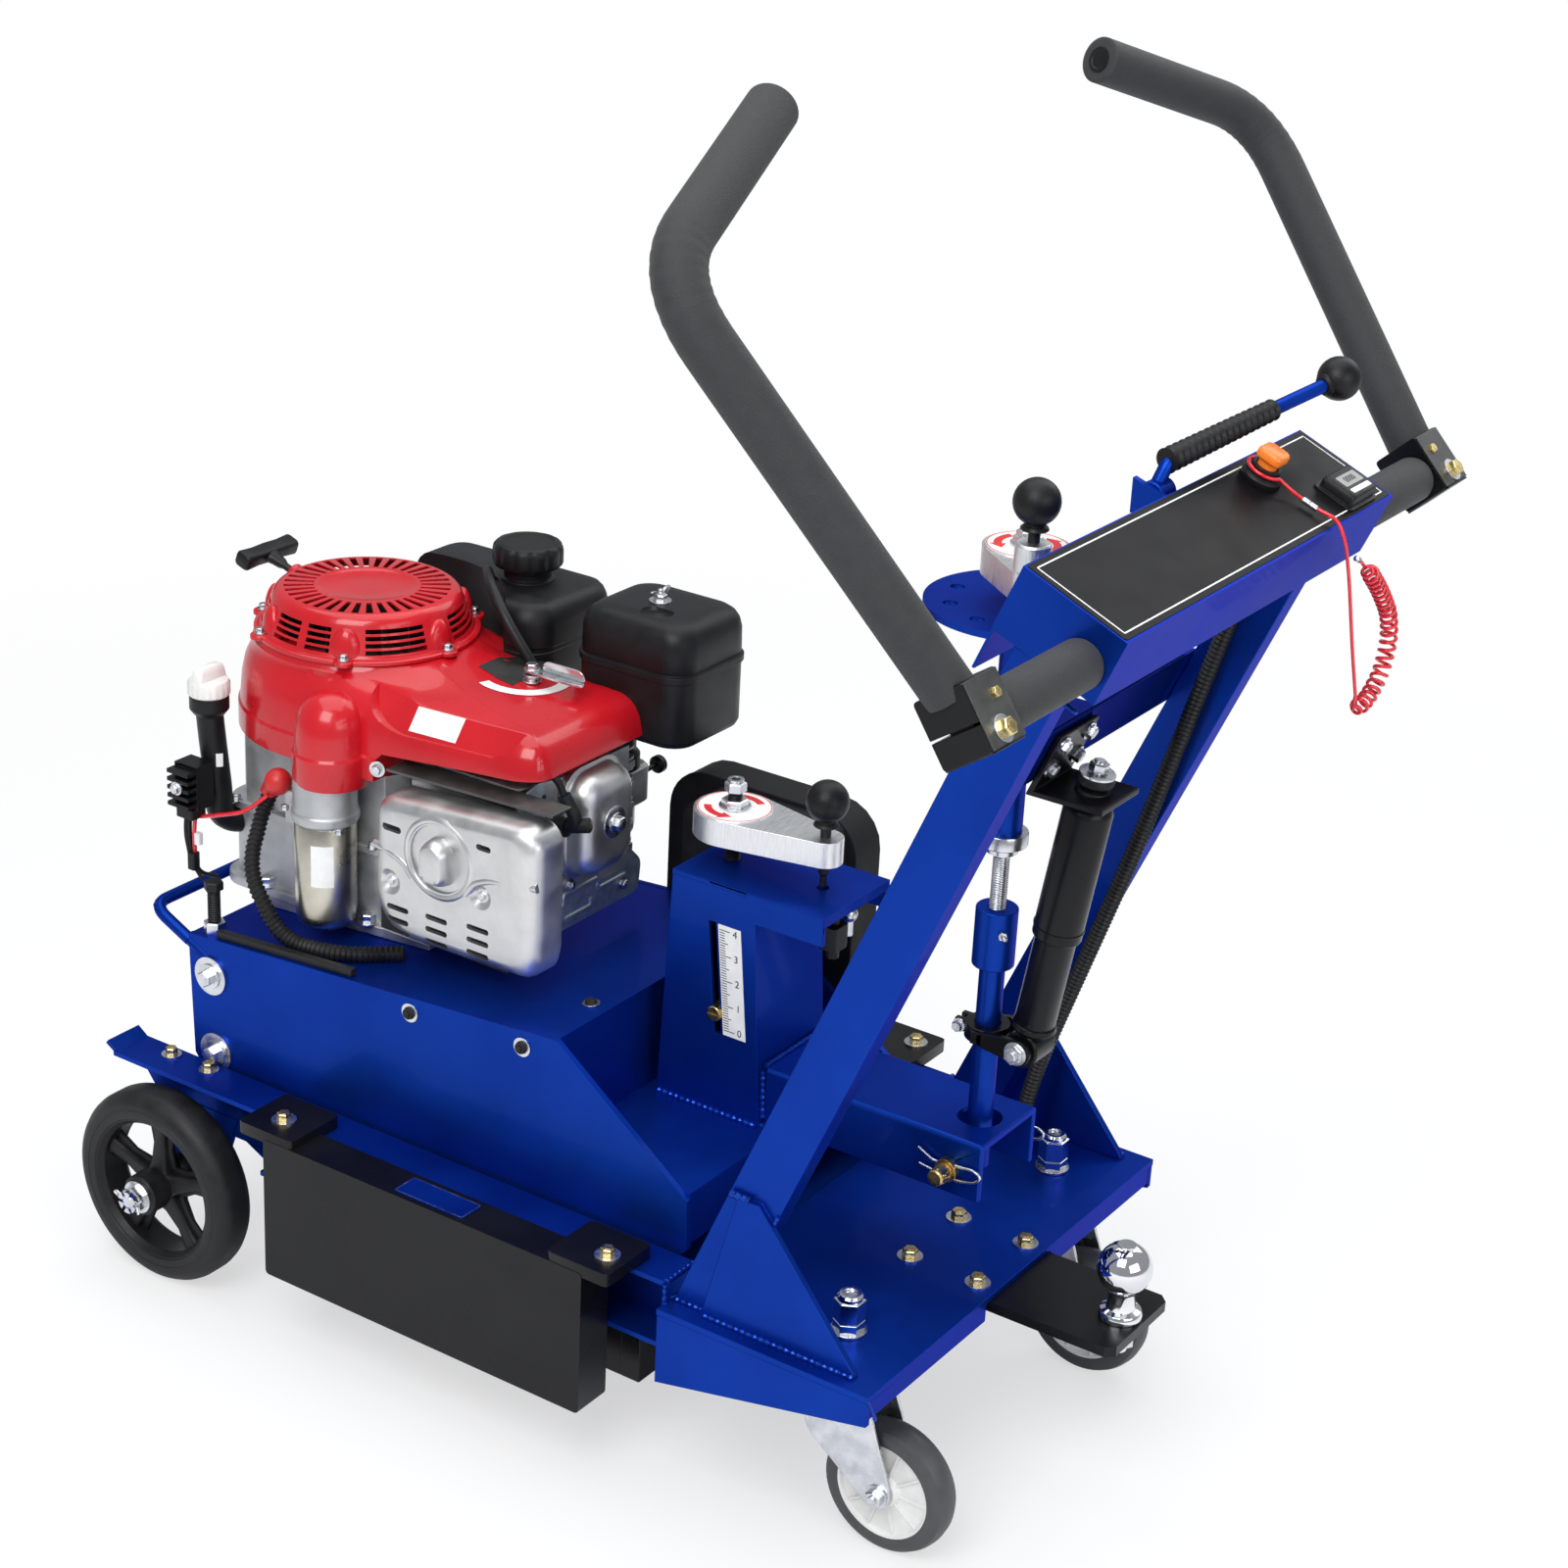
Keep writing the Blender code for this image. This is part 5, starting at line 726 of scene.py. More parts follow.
def build_crank(name, body, pin_body, y, low, length, angle, lift, screw_low, top, tip):
    turn = math.radians(angle)
    nose = Vector((length * math.cos(turn), y + length * math.sin(turn), 0))
    axis, high = Vector((0, y, 0)), low + CRANK_THICK
    shapes = [crank_arm(y, low, length, turn), disc(axis + Z * (high - 0.3), Z, 36, 1.0, 14)]
    if lift:
        shapes.append(turned([(0, low + 1), (16, low + 1), (15.2, high + lift - 2),
                              (13.5, high + lift), (0, high + lift)], nose, Z))
    piece(f"{name}_arm", shapes, "machined", body, (name,), 1.0)
    sticker = disc(axis + Z * (high + 0.7), Z, 35, 0.35, 15, 48)
    piece(f"{name}_sticker", [sticker], "label", body, bevel=0)
    spot = axis + Z * (high + 1.0)
    arrows = [arc_arrow(spot, 25, start, start + 88, 7, 0.25)
              for start in (angle - 150, angle + 50)]
    edge = disc(spot, Z, 34.6, 0.15, 33.6, 48)
    piece(f"{name}_arrows", [*arrows, edge], "red_print", body, bevel=0)
    screw = [threaded(axis + Z * screw_low, axis + Z * (low - 2), 7.5),
             threaded(axis + Z * (high + 8), axis + Z * (top - 2), 6.6)]
    piece(f"{name}_screw", screw, "zinc" if lift else "black_iron", body, bevel=0)
    add("zinc", body, *nut(axis + Z * (high + 0.9), Z, 15, 2, 22, 6.5))
    add("zinc", body, hexed(axis + Z * (top - 12), Z, 18, 9),
        disc(axis + Z * (top - 3.4), Z, 7.6, 3, 4))
    seat = high + lift + 10.3
    stem = turned([(0, tip), (2.4, tip), (3.2, tip + 1.2), (3.2, tip + 12), (5, tip + 14),
                   (5, seat), (11, seat), (12, seat + 1), (11, seat + 3), (8.6, seat + 5),
                   (8.6, seat + 9), (0, seat + 9)], nose, Z)
    piece(f"{name}_pin", [stem], "black_iron", pin_body, (name.replace("crank", "plunger"),), 0.3)
    knob = ball(nose + Z * (seat + 24), 20, 40, -66)
    piece(f"{name}_knob", [knob], "black_plastic", pin_body, bevel=0)


DEPTH_REACH, DEPTH_TURN, DEPTH_HOLES = 62, 213, 9
build_crank("depth_crank", "depth_handle", "depth_pin", POST_Y, 858, DEPTH_REACH, DEPTH_TURN,
            24, 452, 900, 834)
build_crank("pressure_crank", "pressure_handle", "pressure_pin", -86, 540, 100, -90,
            0, 400, 594, 515)
holes = []
for n in range(DEPTH_HOLES):
    t = math.radians(DEPTH_TURN + 360 / DEPTH_HOLES * n)
    hole = POST + Vector((DEPTH_REACH * math.cos(t), DEPTH_REACH * math.sin(t), 820))
    holes.append(rod(hole, hole + Z * 20, 6.5, 20))
plate = carved(disc(POST + Z * 827, Z, 84, 6, 8.4, 72), *holes)
tube = turned([(8.2, 612), (20.4, 612), (21, 612.6), (21, 623.4), (20.4, 624), (16, 624),
               (16, 827), (8.2, 827)], POST, Z, 40, True)
piece("index_disc", [plate, tube], "blue_paint", "frame", ("index_tube",), 0.7)
add("weld", "frame", turned([(15.5, 818), (19, 821), (21.5, 825), (22, 827), (15.5, 827)],
                            POST, Z, 40, True))
add("zinc", "frame", turned([(8.2, 604), (14, 604), (14, 611.7), (8.2, 611.7)], POST, Z, 32, True))
PIN = POST + Z * 311
lift = turned([(0, 293), (10.7, 293), (11.5, 294), (11.5, 495), (18, 495), (19, 496), (19, 550),
               (18, 551), (8.2, 551), (8.2, 436), (0, 436)], POST, Z, 40)
lift = carved(lift, rod(PIN - X * 30, PIN + X * 30, 7.4, 20))
piece("lift_post", [lift], "blue_paint", "lift_column", ("lift_tube",), 0.4)
nipple = Vector((-12.4, -380.4, 531))
way = Vector((-0.7, -0.7, 0.1)).normalized()
add("zinc", "lift_column", hexed(nipple, way, 8, 4),
    rod(nipple + way * 3, nipple + way * 8, 2.4, 14, 0.8), ball(nipple + way * 9, 2.6, 16))
top, eye = Vector((0, -450, 690)), Vector((0, -410, 430))
axis = (top - eye).normalized()
reach = (top - eye).length
upper = turned([(0, -16), (14, -16), (17, -17), (20.5, -21), (22, -25), (22, -149), (21, -150.5),
                (19, -150.5), (19, -34), (0, -34)], top, axis, 44)
collar = turned([(19.2, -141), (22.8, -141), (22.8, -139), (19.2, -139)], top, axis, 44, True)
piece("damper_sleeve", [upper, collar], "black_paint", "damper_top", ("damper_upper",), 0.5)
add("zinc", "damper_top", rod(top - axis * 15, top + axis * 24, 5, 20, 1),
    disc(top + axis * 10.2, axis, 16, 2), hexed(top + axis * 14, axis, 15, 8),
    disc(top - axis * 16.5, axis, 16, 1.4))
bush = [turned([(0, 0.2), (14, 0.2), (16.5, 3), (16.5, 6), (14.5, 10), (0, 10)], top, axis, 36),
        turned([(0, -15), (14, -15), (16, -12), (16, -6), (14.5, -3.2), (0, -3.2)], top, axis, 36)]
piece("damper_bushes", bush, "black_rubber", "damper_top", bevel=0)
lower = turned([(0, 12), (13, 12), (16, 16), (18.5, 21), (18.5, reach - 60),
                (0, reach - 60)], eye, axis, 40)
barrel = turned([(6.5, -17), (15.5, -17), (17, -15.5), (17, 15.5), (15.5, 17), (6.5, 17)],
                eye, X, 40, True)
ring = turned([(15, 12), (20.4, 19), (19.6, 23), (18.4, 24), (15, 20)], eye, axis, 40, True)
piece("damper_body", [lower, barrel, ring], "black_paint", "damper_bottom", ("damper_lower",), 0.4)
clamp = [turned([(11.8, 0), (20, 0), (20.5, 0.8), (20.5, 14.2), (20, 15), (11.8, 15)],
                POST + Z * 423, Z, 40, True)]
ear = round_off([(-369, 424), (-369, 437), (-416, 443), (-425, 430), (-418, 418)], 6)
for side in (-1, 1):
    clamp.append(extrude(ear, "x", *span(side, 18, 24)))
    for near, far, rear, front in ((12, 24, -375, -363), (3, 9, -349, -338)):
        low, high = span(side, near, far)
        clamp.append(slab((low, rear, 424.5), (high, front, 436.5)))
piece("damper_yoke", clamp, "black_paint", "lift_column", ("damper_clamp",), 0.8)
add("zinc", "lift_column", rod(eye - X * 34, eye + X * 34, 5, 20, 0.8),
    hexed(eye - X * 31.5, X, 15, 6.5), disc(eye - X * 25.6, X, 11, 1.5),
    *nut(eye + X * 24.2, X, 11, 1.5, 15, 7))
bolt((-9.2, -343.5, 430.5), -X, 9, 5, "lift_column", "zinc", 6.4)
# Damper bracket fixings on the cross member
out = Vector((0, -0.9232, -0.3844))
for x in (-22, 22):
    for z in (727, 703):
        seat = Vector((x, upright_front(745) + (745 - z) * LEAN - 6.4, z))
        bolt(seat, out, 11, 5, "frame", "zinc", 8.5)

# Transport pin with its clips and ring
pin_shape = turned([(0, -75), (6.6, -75), (8, -73.6), (8, -59), (6.8, -58.4), (6.8, -57.4),
                    (11, -57), (11, -49.4), (5, -49.3), (5, 61.5), (4, 63), (0, 63)], PIN, X, 32)
piece("transport_pin_body", [pin_shape], "brass", "arm_pin", ("transport_pin",), 0.3)
add("brass", "arm_pin", hexed(PIN - X * 66, -X, 15, 6))
ring = [PIN + Vector((55 + 3 * math.sin(t), 9 * math.cos(t), 9 * math.sin(t)))
        for t in (2 * math.pi * k / 24 for k in range(25))]
clip = [(56, -372, 305)]
clip += [(57, y, z) for y, z in ((-386, 300), (-400, 304), (-404, 311), (-396, 315), (-380, 312),
                                 (-370, 316.5), (-362, 316.5), (-350, 312))]
hair = [(-53, y, z) for y, z in ((-338, 307), (-363, 304), (-380, 303), (-396, 307), (-402, 314),
                                 (-394, 319), (-378, 317), (-366, 318), (-354, 314), (-336, 323))]
add("zinc", "arm_pin", swept(bend(clip, 6), 1.4, 10), swept(ring, 1.0, 8),
    swept(bend(hair, 6), 1.5, 10))

# Tow ball
ball_at = Vector((0, -525, 0))
tow = turned([(0, 160.7), (9, 160.7), (9, 166.7), (9, 195), (20, 195), (20, 200), (18.5, 202.6),
              (13.6, 205), (12.6, 210), (12.6, 219), (14, 222.3)], ball_at, Z, 48)
sphere = ball(ball_at + Z * 244, 25, 56, -62)
flat = disc(ball_at + Z * 267.6, Z, 8.6, 1.2)
piece("tow_ball", [tow, sphere, flat], "chrome", "frame", ("hitch_ball",), 0.3)
add("zinc", "frame", disc(ball_at + Z * 184.6, -Z, 17, 3.0),
    hexed(ball_at + Z * 181.6, -Z, 27, 15))

# Pressure pointer and scale on the tower
POINTER_Z, SCALE_TOP = 385, 475


def slot_y(z):
    """Middle of the leaning slot in the tower's left face."""
    return -104 - (SCALE_TOP - z) * 0.1


y = slot_y(POINTER_Z)
pointer = turned([(0, -5.5), (6.6, -5.5), (7.5, -4.8), (7.5, -0.6), (3, -0.5), (3, 6.2), (9, 6.2),
                  (9, 15), (0, 15)], (-55, y, POINTER_Z), X, 28)
slit = slab((-61, y - 9, POINTER_Z - 0.8), (-59, y + 9, POINTER_Z + 0.8))
piece("pressure_pointer_screw", [carved(pointer, slit)], "brass", "pointer",
      ("pressure_pointer",), 0.2)


def on_scale(a0, z0, a1, z1, lift, thick):
    """Thin plate on the tower's left face beside the slot."""
    plate = [scale_point(a, z, lift) for a, z in ((a0, z0), (a1, z0), (a1, z1), (a0, z1))]
    return lofted([plate, [p - X * thick for p in plate]])


def scale_point(across, z, lift):
    return Vector((-55.3 - lift, slot_y(z) - 7 - across, z))


piece("scale_strip", [on_scale(0, 365, 25, SCALE_TOP, 0, 0.5)], "label", "carriage", bevel=0)
marks = []
for n in range(41):
    z, long = 370 + 100 * n / 40, 12 if n % 10 == 0 else 9 if n % 5 == 0 else 6
    marks.append(on_scale(1, z - 0.4, 1 + long, z + 0.4, 0.5, 0.12))
for n in range(5):
    marks.append(lettering(str(n), 10, scale_point(18.5, 371 + 24.5 * n, 0.55), -Y, Z))
piece("scale_figures", marks, "ink", "carriage", bevel=0)

# Under the tower shelf: ball joint and stop switch
add("zinc", "carriage", hexed((0, -186, 503.6), -Z, 20, 8), ball((16, -206, 488), 8, 24),
    rod((16, -206, 503), (16, -206, 492), 4, 16),
    rod((16, -206, 484), (16, -206, 466), 4.4, 16, 1))
switch = [extrude(round_rect(-18, -214, 4, -196, 3), "z", 462, 486),
          rod((-7, -205, 486), (-7, -205, 503), 5, 18),
          rod((-7, -205, 462), (-7, -205, 452), 6, 18, 1)]
piece("shelf_switch", switch, "black_plastic", "carriage", bevel=0.8)


# Engine
ENGINE_Y = 357
ENGINE = Vector((0, ENGINE_Y, 0))
COVER_LOW, FAN_SEAT, FAN_RIM = 536, 632.0, 108.0


def cover_outline():
    turns = [math.radians(-6 + 12 * n) for n in range(17)]
    outline = [(126 * math.cos(t), ENGINE_Y + 126 * math.sin(t)) for t in turns]
    outline += [(-118, 250), (-108, 150), (-104, 86), (-90, 64), (82, 64), (94, 86),
                (98, 150), (112, 250)]
    outline = round_off(outline, 24, 4)
    return walk(outline + outline[:1], 6)[:-1]


def cover_shape():
    """Pressed cover: a skirt, a rounded shoulder and a fairing up to the seat of the fan."""
    outline, middle = cover_outline(), ENGINE.xy
    count = len(outline)
    inward = []
    for n in range(count):
        along = outline[(n + 1) % count] - outline[n - 1]
        inward.append(Vector((-along.y, along.x)).normalized())
    room = [(p - middle).length - FAN_RIM for p in outline]
    rings = []
    levels = ((536, -1.5), (556, -1.5), (558.5, 0.4), (580, 2.5), (594, 6), (603, 11),
              (609, 18), (613, 28))
    for height, inset in levels:
        ring = []
        for n, p in enumerate(outline):
            near = max(0.0, 1 - max(0.0, room[n] - 18) / 60)
            q = p + inward[n] * min(inset, room[n] * 0.8)
            ring.append(Vector((q.x, q.y, COVER_LOW + (height - COVER_LOW) * (1 + 0.17 * near))))
        rings.append(ring)
    last = rings[-1]
    for share, rise in ((0.35, 0.13), (0.65, 0.34), (0.88, 0.74), (1.0, 1.0)):
        ring = []
        for p in last:
            out = (p.xy - middle).normalized() * FAN_RIM + middle
            flat = p.xy.lerp(out, share)
            ring.append((flat.x, flat.y, p.z + (FAN_SEAT - p.z) * rise))
        rings.append(ring)
    rings.append([(98 * math.cos(t), ENGINE_Y + 98 * math.sin(t), FAN_SEAT)
                  for t in [math.atan2(p[1] - ENGINE_Y, p[0]) for p in rings[-1]]])
    under = extrude([(20, 520), (247, 520), (247, 556), (239, 565), (20, 579)], "x", -160, 160)
    outline = round_off([(272, 645), (266, 618), (252, 598), (226, 588), (112, 590), (96, 602),
                         (92, 645)], 22, 5)
    hollow = lofted([[(-170, y, z) for y, z in outline],
                     [(-118 + (250 - y) * 0.085 + 8.5 + (z - 588) * 0.75, y, z)
                      for y, z in outline]])
    return carved(lofted(rings), under, hollow)


def laid(tree, rows, direction, lift):
    """Sheet of rows of points dropped on a surface along a direction."""
    dropped = []
    for row in rows:
        hits = [tree.ray_cast(Vector(p) - direction * 300, direction)[0] or Vector(p) for p in row]
        dropped.append([hit - direction * lift for hit in hits])
    return grid(dropped)


def quad_rows(a, b, c, d, down, across):
    a, b, c, d = Vector(a), Vector(b), Vector(c), Vector(d)
    return [[a.lerp(d, r / down).lerp(b.lerp(c, r / down), k / across) for k in range(across + 1)]
            for r in range(down + 1)]


cover = cover_shape()
bulge = turned([(0, 526), (37, 526), (37.6, 528), (37.6, 556), (35.6, 558.5), (35, 576),
                (33.4, 589), (29, 601), (20, 610), (9, 614.5), (0, 615.5)], (-121, 297, 0), Z, 48)
piece("engine_shroud", [cover, bulge], "red_cover", "carriage", ("engine_shroud",), 1.6, 28)
cover_tree = BVHTree.FromPolygons([Vector(p) for p in cover[0]], cover[1])
rows = quad_rows((2, 219, 617), (96, 222, 617), (86, 180, 617), (-2, 174, 617), 6, 12)
piece("shroud_plate", [laid(cover_tree, rows, -Z, 0.5)], "ink", "carriage", bevel=0)
rows = [[(27 + r * math.cos(math.radians(t)), 186 + r * math.sin(math.radians(t)), 612)
         for t in range(166, 287, 6)] for r in (39, 51)]
piece("throttle_strip", [laid(cover_tree, rows, -Z, 0.6)], "label", "carriage", bevel=0)
rows = quad_rows((-112, 216, 612), (-112, 163, 612), (-112, 163, 592), (-112, 216, 592), 4, 8)
piece("shroud_label", [laid(cover_tree, rows, X, 0.5)], "label", "carriage", bevel=0)
bolt((-119, 241, 551), (-1, -0.3, 0), 9, 4, "carriage", "zinc", 8)


# Fan cover with tapered slots round its top and groups of vents round its side
def fan_shell():
    count = 72
    side = (0.0, 0.06, 0.20, 0.29, 0.43, 0.52, 0.66, 0.75, 0.89, 1.0)
    rows = [(110.5, FAN_SEAT + 0.4), (110.5, FAN_SEAT + 3.6), (109, FAN_SEAT + 4.6),
            (105, FAN_SEAT + 5.2)]
    first = len(rows)
    rows += [(103.4 - 10.6 * s, FAN_SEAT + 7 + 27.5 * s) for s in side]
    rows += [(91.6, 669.4), (89.0, 672.6), (85.4, 674.8), (81, 675.8)]
    slot_row = len(rows) - 1
    rows += [(52, 676), (49, 676), (47, 675.2), (44, 673.6), (20, 673.4)]
    groups = ((160, 180), (185, 200), (220, 255), (275, 315), (335, 370), (400, 425), (470, 500))
    points = []
    for radius, height in rows:
        for n in range(count):
            t = 2 * math.pi * n / count
            points.append((radius * math.cos(t), ENGINE_Y + radius * math.sin(t), height))
    faces = []
    for r in range(len(rows) - 1):
        for n in range(count):
            angle = 360 * n / count
            inside = any(a <= angle < b or a <= angle + 360 < b for a, b in groups)
            slotted = r == slot_row and n % 2 == 0
            if slotted or inside and r - first in (1, 3, 5, 7):
                continue
            j = (n + 1) % count
            faces.append((r * count + n, r * count + j, (r + 1) * count + j, (r + 1) * count + n))
    faces.append(tuple(range((len(rows) - 1) * count, len(rows) * count)))
    return points, faces


piece("fan_cover", [fan_shell()], "red_cover", "carriage", ("fan_cover",), 0.5, 30, 2.2)
bosses = []
for angle in (149, 209, 266, 325, 25, 112):
    t = math.radians(angle)
    out = Vector((math.cos(t), math.sin(t), 0))
    boss = turned([(0, 0), (17, 0), (16.4, 7), (14, 16), (10, 23.5), (5, 28), (0, 29.5)], steps=32)
    where = Matrix.Translation(ENGINE + Z * (FAN_SEAT + 4) + out * 95.5)
    where = where @ Matrix.Rotation(t, 4, "Z")
    bosses.append(moved(boss, where @ Matrix.Diagonal((0.60, 1, 1, 1))))
    ear = ENGINE + Z * (FAN_SEAT + 0.4) + out * 108
    bosses.append(turned([(0, 0), (10, 0), (10, 3.6), (9, 4.6), (0, 4.6)], ear, Z, 28))
    bolt(ear + Z * 4.6, Z, 8, 4.2, "carriage", "zinc", 6)
piece("fan_bosses", bosses, "red_cover", "carriage", (), 0.5)
blades = [turned([(0, 626), (96, 626), (96, 629), (62, 635), (40, 646), (0, 648)], ENGINE, Z, 48)]
blade = lofted([[(52, -1, 633), (52, 1, 633), (54, 1, 664), (54, -1, 664)],
                [(88, 7, 628), (88, 9, 628), (84, 9, 662), (84, 7, 662)]])
for n in range(20):
    turn = Matrix.Rotation(math.radians(18 * n + 9), 4, "Z")
    blades.append(moved(blade, Matrix.Translation(ENGINE) @ turn))
piece("cooling_fan", blades, "black_iron", "carriage", (), 0.3)

# Pull grip
PULL, GRIP = Vector((0, 0.94, 0.342)), Vector((20, 470, 655))
ACROSS = X.cross(PULL)
bar = []
for x, size in ((-37, 0.72), (-36, 0.9), (-34, 1.0), (-18, 0.9), (0, 0.96), (18, 0.9), (34, 1.0),
                (36, 0.9), (37, 0.72)):
    bar.append([GRIP + PULL * (40 + a * size) + ACROSS * (b * size) + X * x
                for a, b in round_rect(-9.5, -8.5, 9.5, 8.5, 5, 5)])
stem = []
for along, wide, tall in ((-14, 3.7, 3.7), (14, 3.8, 3.8), (19, 6.2, 5.4), (26, 7.4, 6),
                          (33, 10, 7), (40, 17, 7.6)):
    stem.append([GRIP + PULL * along + X * (wide * math.cos(t)) + ACROSS * (tall * math.sin(t))
                 for t in [2 * math.pi * k / 28 for k in range(28)]])
piece("recoil_grip", [lofted(bar), lofted(stem)], "black_plastic", "pull_grip",
      ("recoil_grip",), 0.4, 40)
piece("recoil_rope", [rod(GRIP - PULL * 46, GRIP - PULL * 12, 1.9, 16, 0.4)], "black_rubber",
      "pull_grip", (), 0)
piece("grip_bush", [turned([(4.9, -6), (10, -6), (10, 0), (8.5, 2), (4.9, 2)], GRIP + PULL * 2,
                           PULL, 28, True)], "red_cover", "carriage", (), 0.3)

# Fuel tank, its cap and hose
TANK_CAP = Vector((138, 268, 0))
tank_levels = ((560, 9), (563, 4), (568, 1), (573, 0), (620, 0), (621, 1.3), (625, 1.3), (626, 0),
               (648, 0), (655, 1.6), (661, 4.6), (665.5, 9), (668, 15))
tank = stacked("z", [(z, round_rect(62 + i, 196 + i, 196 - i, 404 - i, 30 - i, 7))
                     for z, i in tank_levels])
room = turned([(0, 540), (136, 540), (134, 700), (0, 700)], ENGINE, Z, 72)
piece("fuel_tank", [carved(tank, room)], "black_plastic", "carriage", ("fuel_tank",), 2.0, 40)
neck = turned([(0, 655), (27, 655), (27, 669), (24, 671), (24, 677), (26, 678), (26, 681.6),
               (0, 681.6)], TANK_CAP, Z, 40)
piece("tank_neck", [neck], "black_plastic", "carriage", (), 0.4)


def scalloped(at, lobes, levels):
    """Upright knob from levels of (height, radius, depth of its hollows)."""
    rings = []
    for height, radius, depth in levels:
        ring = []
        for t in [2 * math.pi * k / 96 for k in range(96)]:
            r = radius - depth * abs(math.sin(lobes * t / 2)) ** 6
            ring.append((at.x + r * math.cos(t), at.y + r * math.sin(t), height))
        rings.append(ring)
    return lofted(rings)


cap_levels = ((682.6, 33, 0), (684, 34.6, 1.5), (686, 35.4, 1.8), (698, 35.4, 1.8),
              (702, 34.6, 1.4), (705, 32, 0.6), (706, 29, 0), (706.4, 27, 0),
              (705.4, 25.5, 0), (705.4, 10, 0))
cap = scalloped(TANK_CAP, 12, cap_levels)
piece("fuel_cap", [cap], "black_plastic", "tank_cap", ("fuel_cap",), 0)
hose = bend([(118, 300, 666), (96, 286, 684), (66, 258, 684), (50, 226, 660), (50, 200, 630),
             (58, 182, 598)], 30, 8)
piece("fuel_hose", [swept(hose, 5.2, 20)], "black_rubber", "carriage", (), 0)

# Bracket that carries the tank, and the carburettor that carries the air filter
bracket = [(92, 488), (96, 488), (96, 554), (192, 554), (192, 558.6), (92, 558.6)]
piece("tank_bracket", [extrude(bracket, "y", 328, 386)], "black_iron", "carriage", (), 0.6)
CARB = Vector((96, 122, 0))
carb = stacked("z", [(z, round_rect(66 + i, 99 + i, 126 - i, 145 - i, 10, 5))
                     for z, i in ((478, 3), (481, 0), (516, 0), (520, 3))])
inlet = rod((40, CARB.y, 500), (68, CARB.y, 500), 17, 28, 1.0)
piece("carburettor", [carb, inlet], "alloy", "carriage", (), 0.6)
bowl = turned([(0, 446), (14, 446), (19, 451), (20.5, 458), (20.5, 478), (0, 478)], CARB, Z, 36)
piece("carburettor_bowl", [bowl], "pressed_steel", "carriage", (), 0.4)
neck = turned([(0, 519), (24, 519), (24, 533), (20, 538), (20, 555), (30, 562), (30, 568),
               (0, 568)], CARB, Z, 36)
choke = [rod((125, 112, 504), (150, 112, 504), 2.6, 16, 0.4),
         turned([(0, 0), (6, 0), (9, 3), (9, 9), (6, 12), (0, 12)], (148, 112, 504), X, 28)]
piece("intake_neck", [neck, *choke], "black_plastic", "carriage", (), 0.4)

# Air filter box with its lid and wing nut
filter_levels = ((566, 6), (569, 2), (574, 0), (634, 0), (634.6, -2), (641, -2), (641.8, 0.6),
                 (644, 0.6), (645, 0), (668, 0.5), (677, 2.5), (683, 6), (687, 11),
                 (689, 17), (690, 26))
box = stacked("z", [(z, round_rect(62 + i, 22 + i, 178 - i, 154 - i, 26 - i * 0.4, 7))
                    for z, i in filter_levels])
dent = stacked("z", [(686.5, round_rect(84, 62, 104, 92, 9)),
                     (692, round_rect(81, 59, 107, 95, 10))])
piece("air_filter", [carved(box, dent)], "black_plastic", "carriage", ("air_filter",), 0.8, 40)
knob = Vector((120, 92, 690))
add("zinc", "carriage", *nut(knob, Z, 11, 1.6, 12, 6), threaded(knob + Z * 7, knob + Z * 13, 3))
wing = round_off([(0, 3), (4, 3), (14, 9), (15, 13), (9, 13), (0, 8)], 3, 4)
for lean in (-1, 1):
    half = [(knob.x + lean * a, knob.z + b) for a, b in wing]
    add("zinc", "carriage", extrude(half, "y", knob.y - 1.4, knob.y + 1.4))

# Throttle lever: a stack of plated washers and a bright flag on a plated arm
at = Vector((20, 168, 617.6))
arm = round_off([(14, 176), (14, 120), (17, 106), (23, 106), (26, 120), (26, 176)], 5, 5)
lever = [disc(at, Z, 9.4, 1.6), turned([(0, 1.6), (6, 1.6), (6, 5), (8.6, 5.4), (8.6, 8), (0, 8)],
                                       at, Z, 28), hexed(at + Z * 13.4, Z, 11, 5),
         disc(at + Z * 12, Z, 8, 1.4), extrude(arm, "z", 627, 629.4)]
piece("throttle_lever", lever, "zinc", "throttle", ("throttle_lever",), 0.4)
flag = round_off([(160, 629.5), (156, 640), (112, 640), (106, 629.5)], 6, 6)
piece("throttle_flag", [extrude(flag, "x", 24, 26)], "clear", "throttle", (), 0.5)

# Muffler shield, with its outlet, screw hollows and louvres
OUTLET_Y, OUTLET_Z = 140, 498
SHIELD_SCREWS = ((199, 458), (90, 475))
outline = [(34, 404), (196, 400), (222, 426), (220, 540), (40, 554), (26, 540), (26, 420)]
outline = round_off(outline, 20, 6)
levels = []
for x, inset in ((-151, 13), (-150.4, 10), (-148.5, 6), (-145.5, 2.8), (-141, 0.8), (-136, 0),
                 (-112, 0), (-111, 2.5), (-106, 2.5)):
    keep = 1 - inset / 78
    levels.append((x, [(124 + (a - 124) * keep, 478 + (b - 478) * keep) for a, b in outline]))


def louvre(y0, z0, y1, z1, corner):
    return extrude(round_rect(y0, z0, y1, z1, corner), "x", -170, -143)


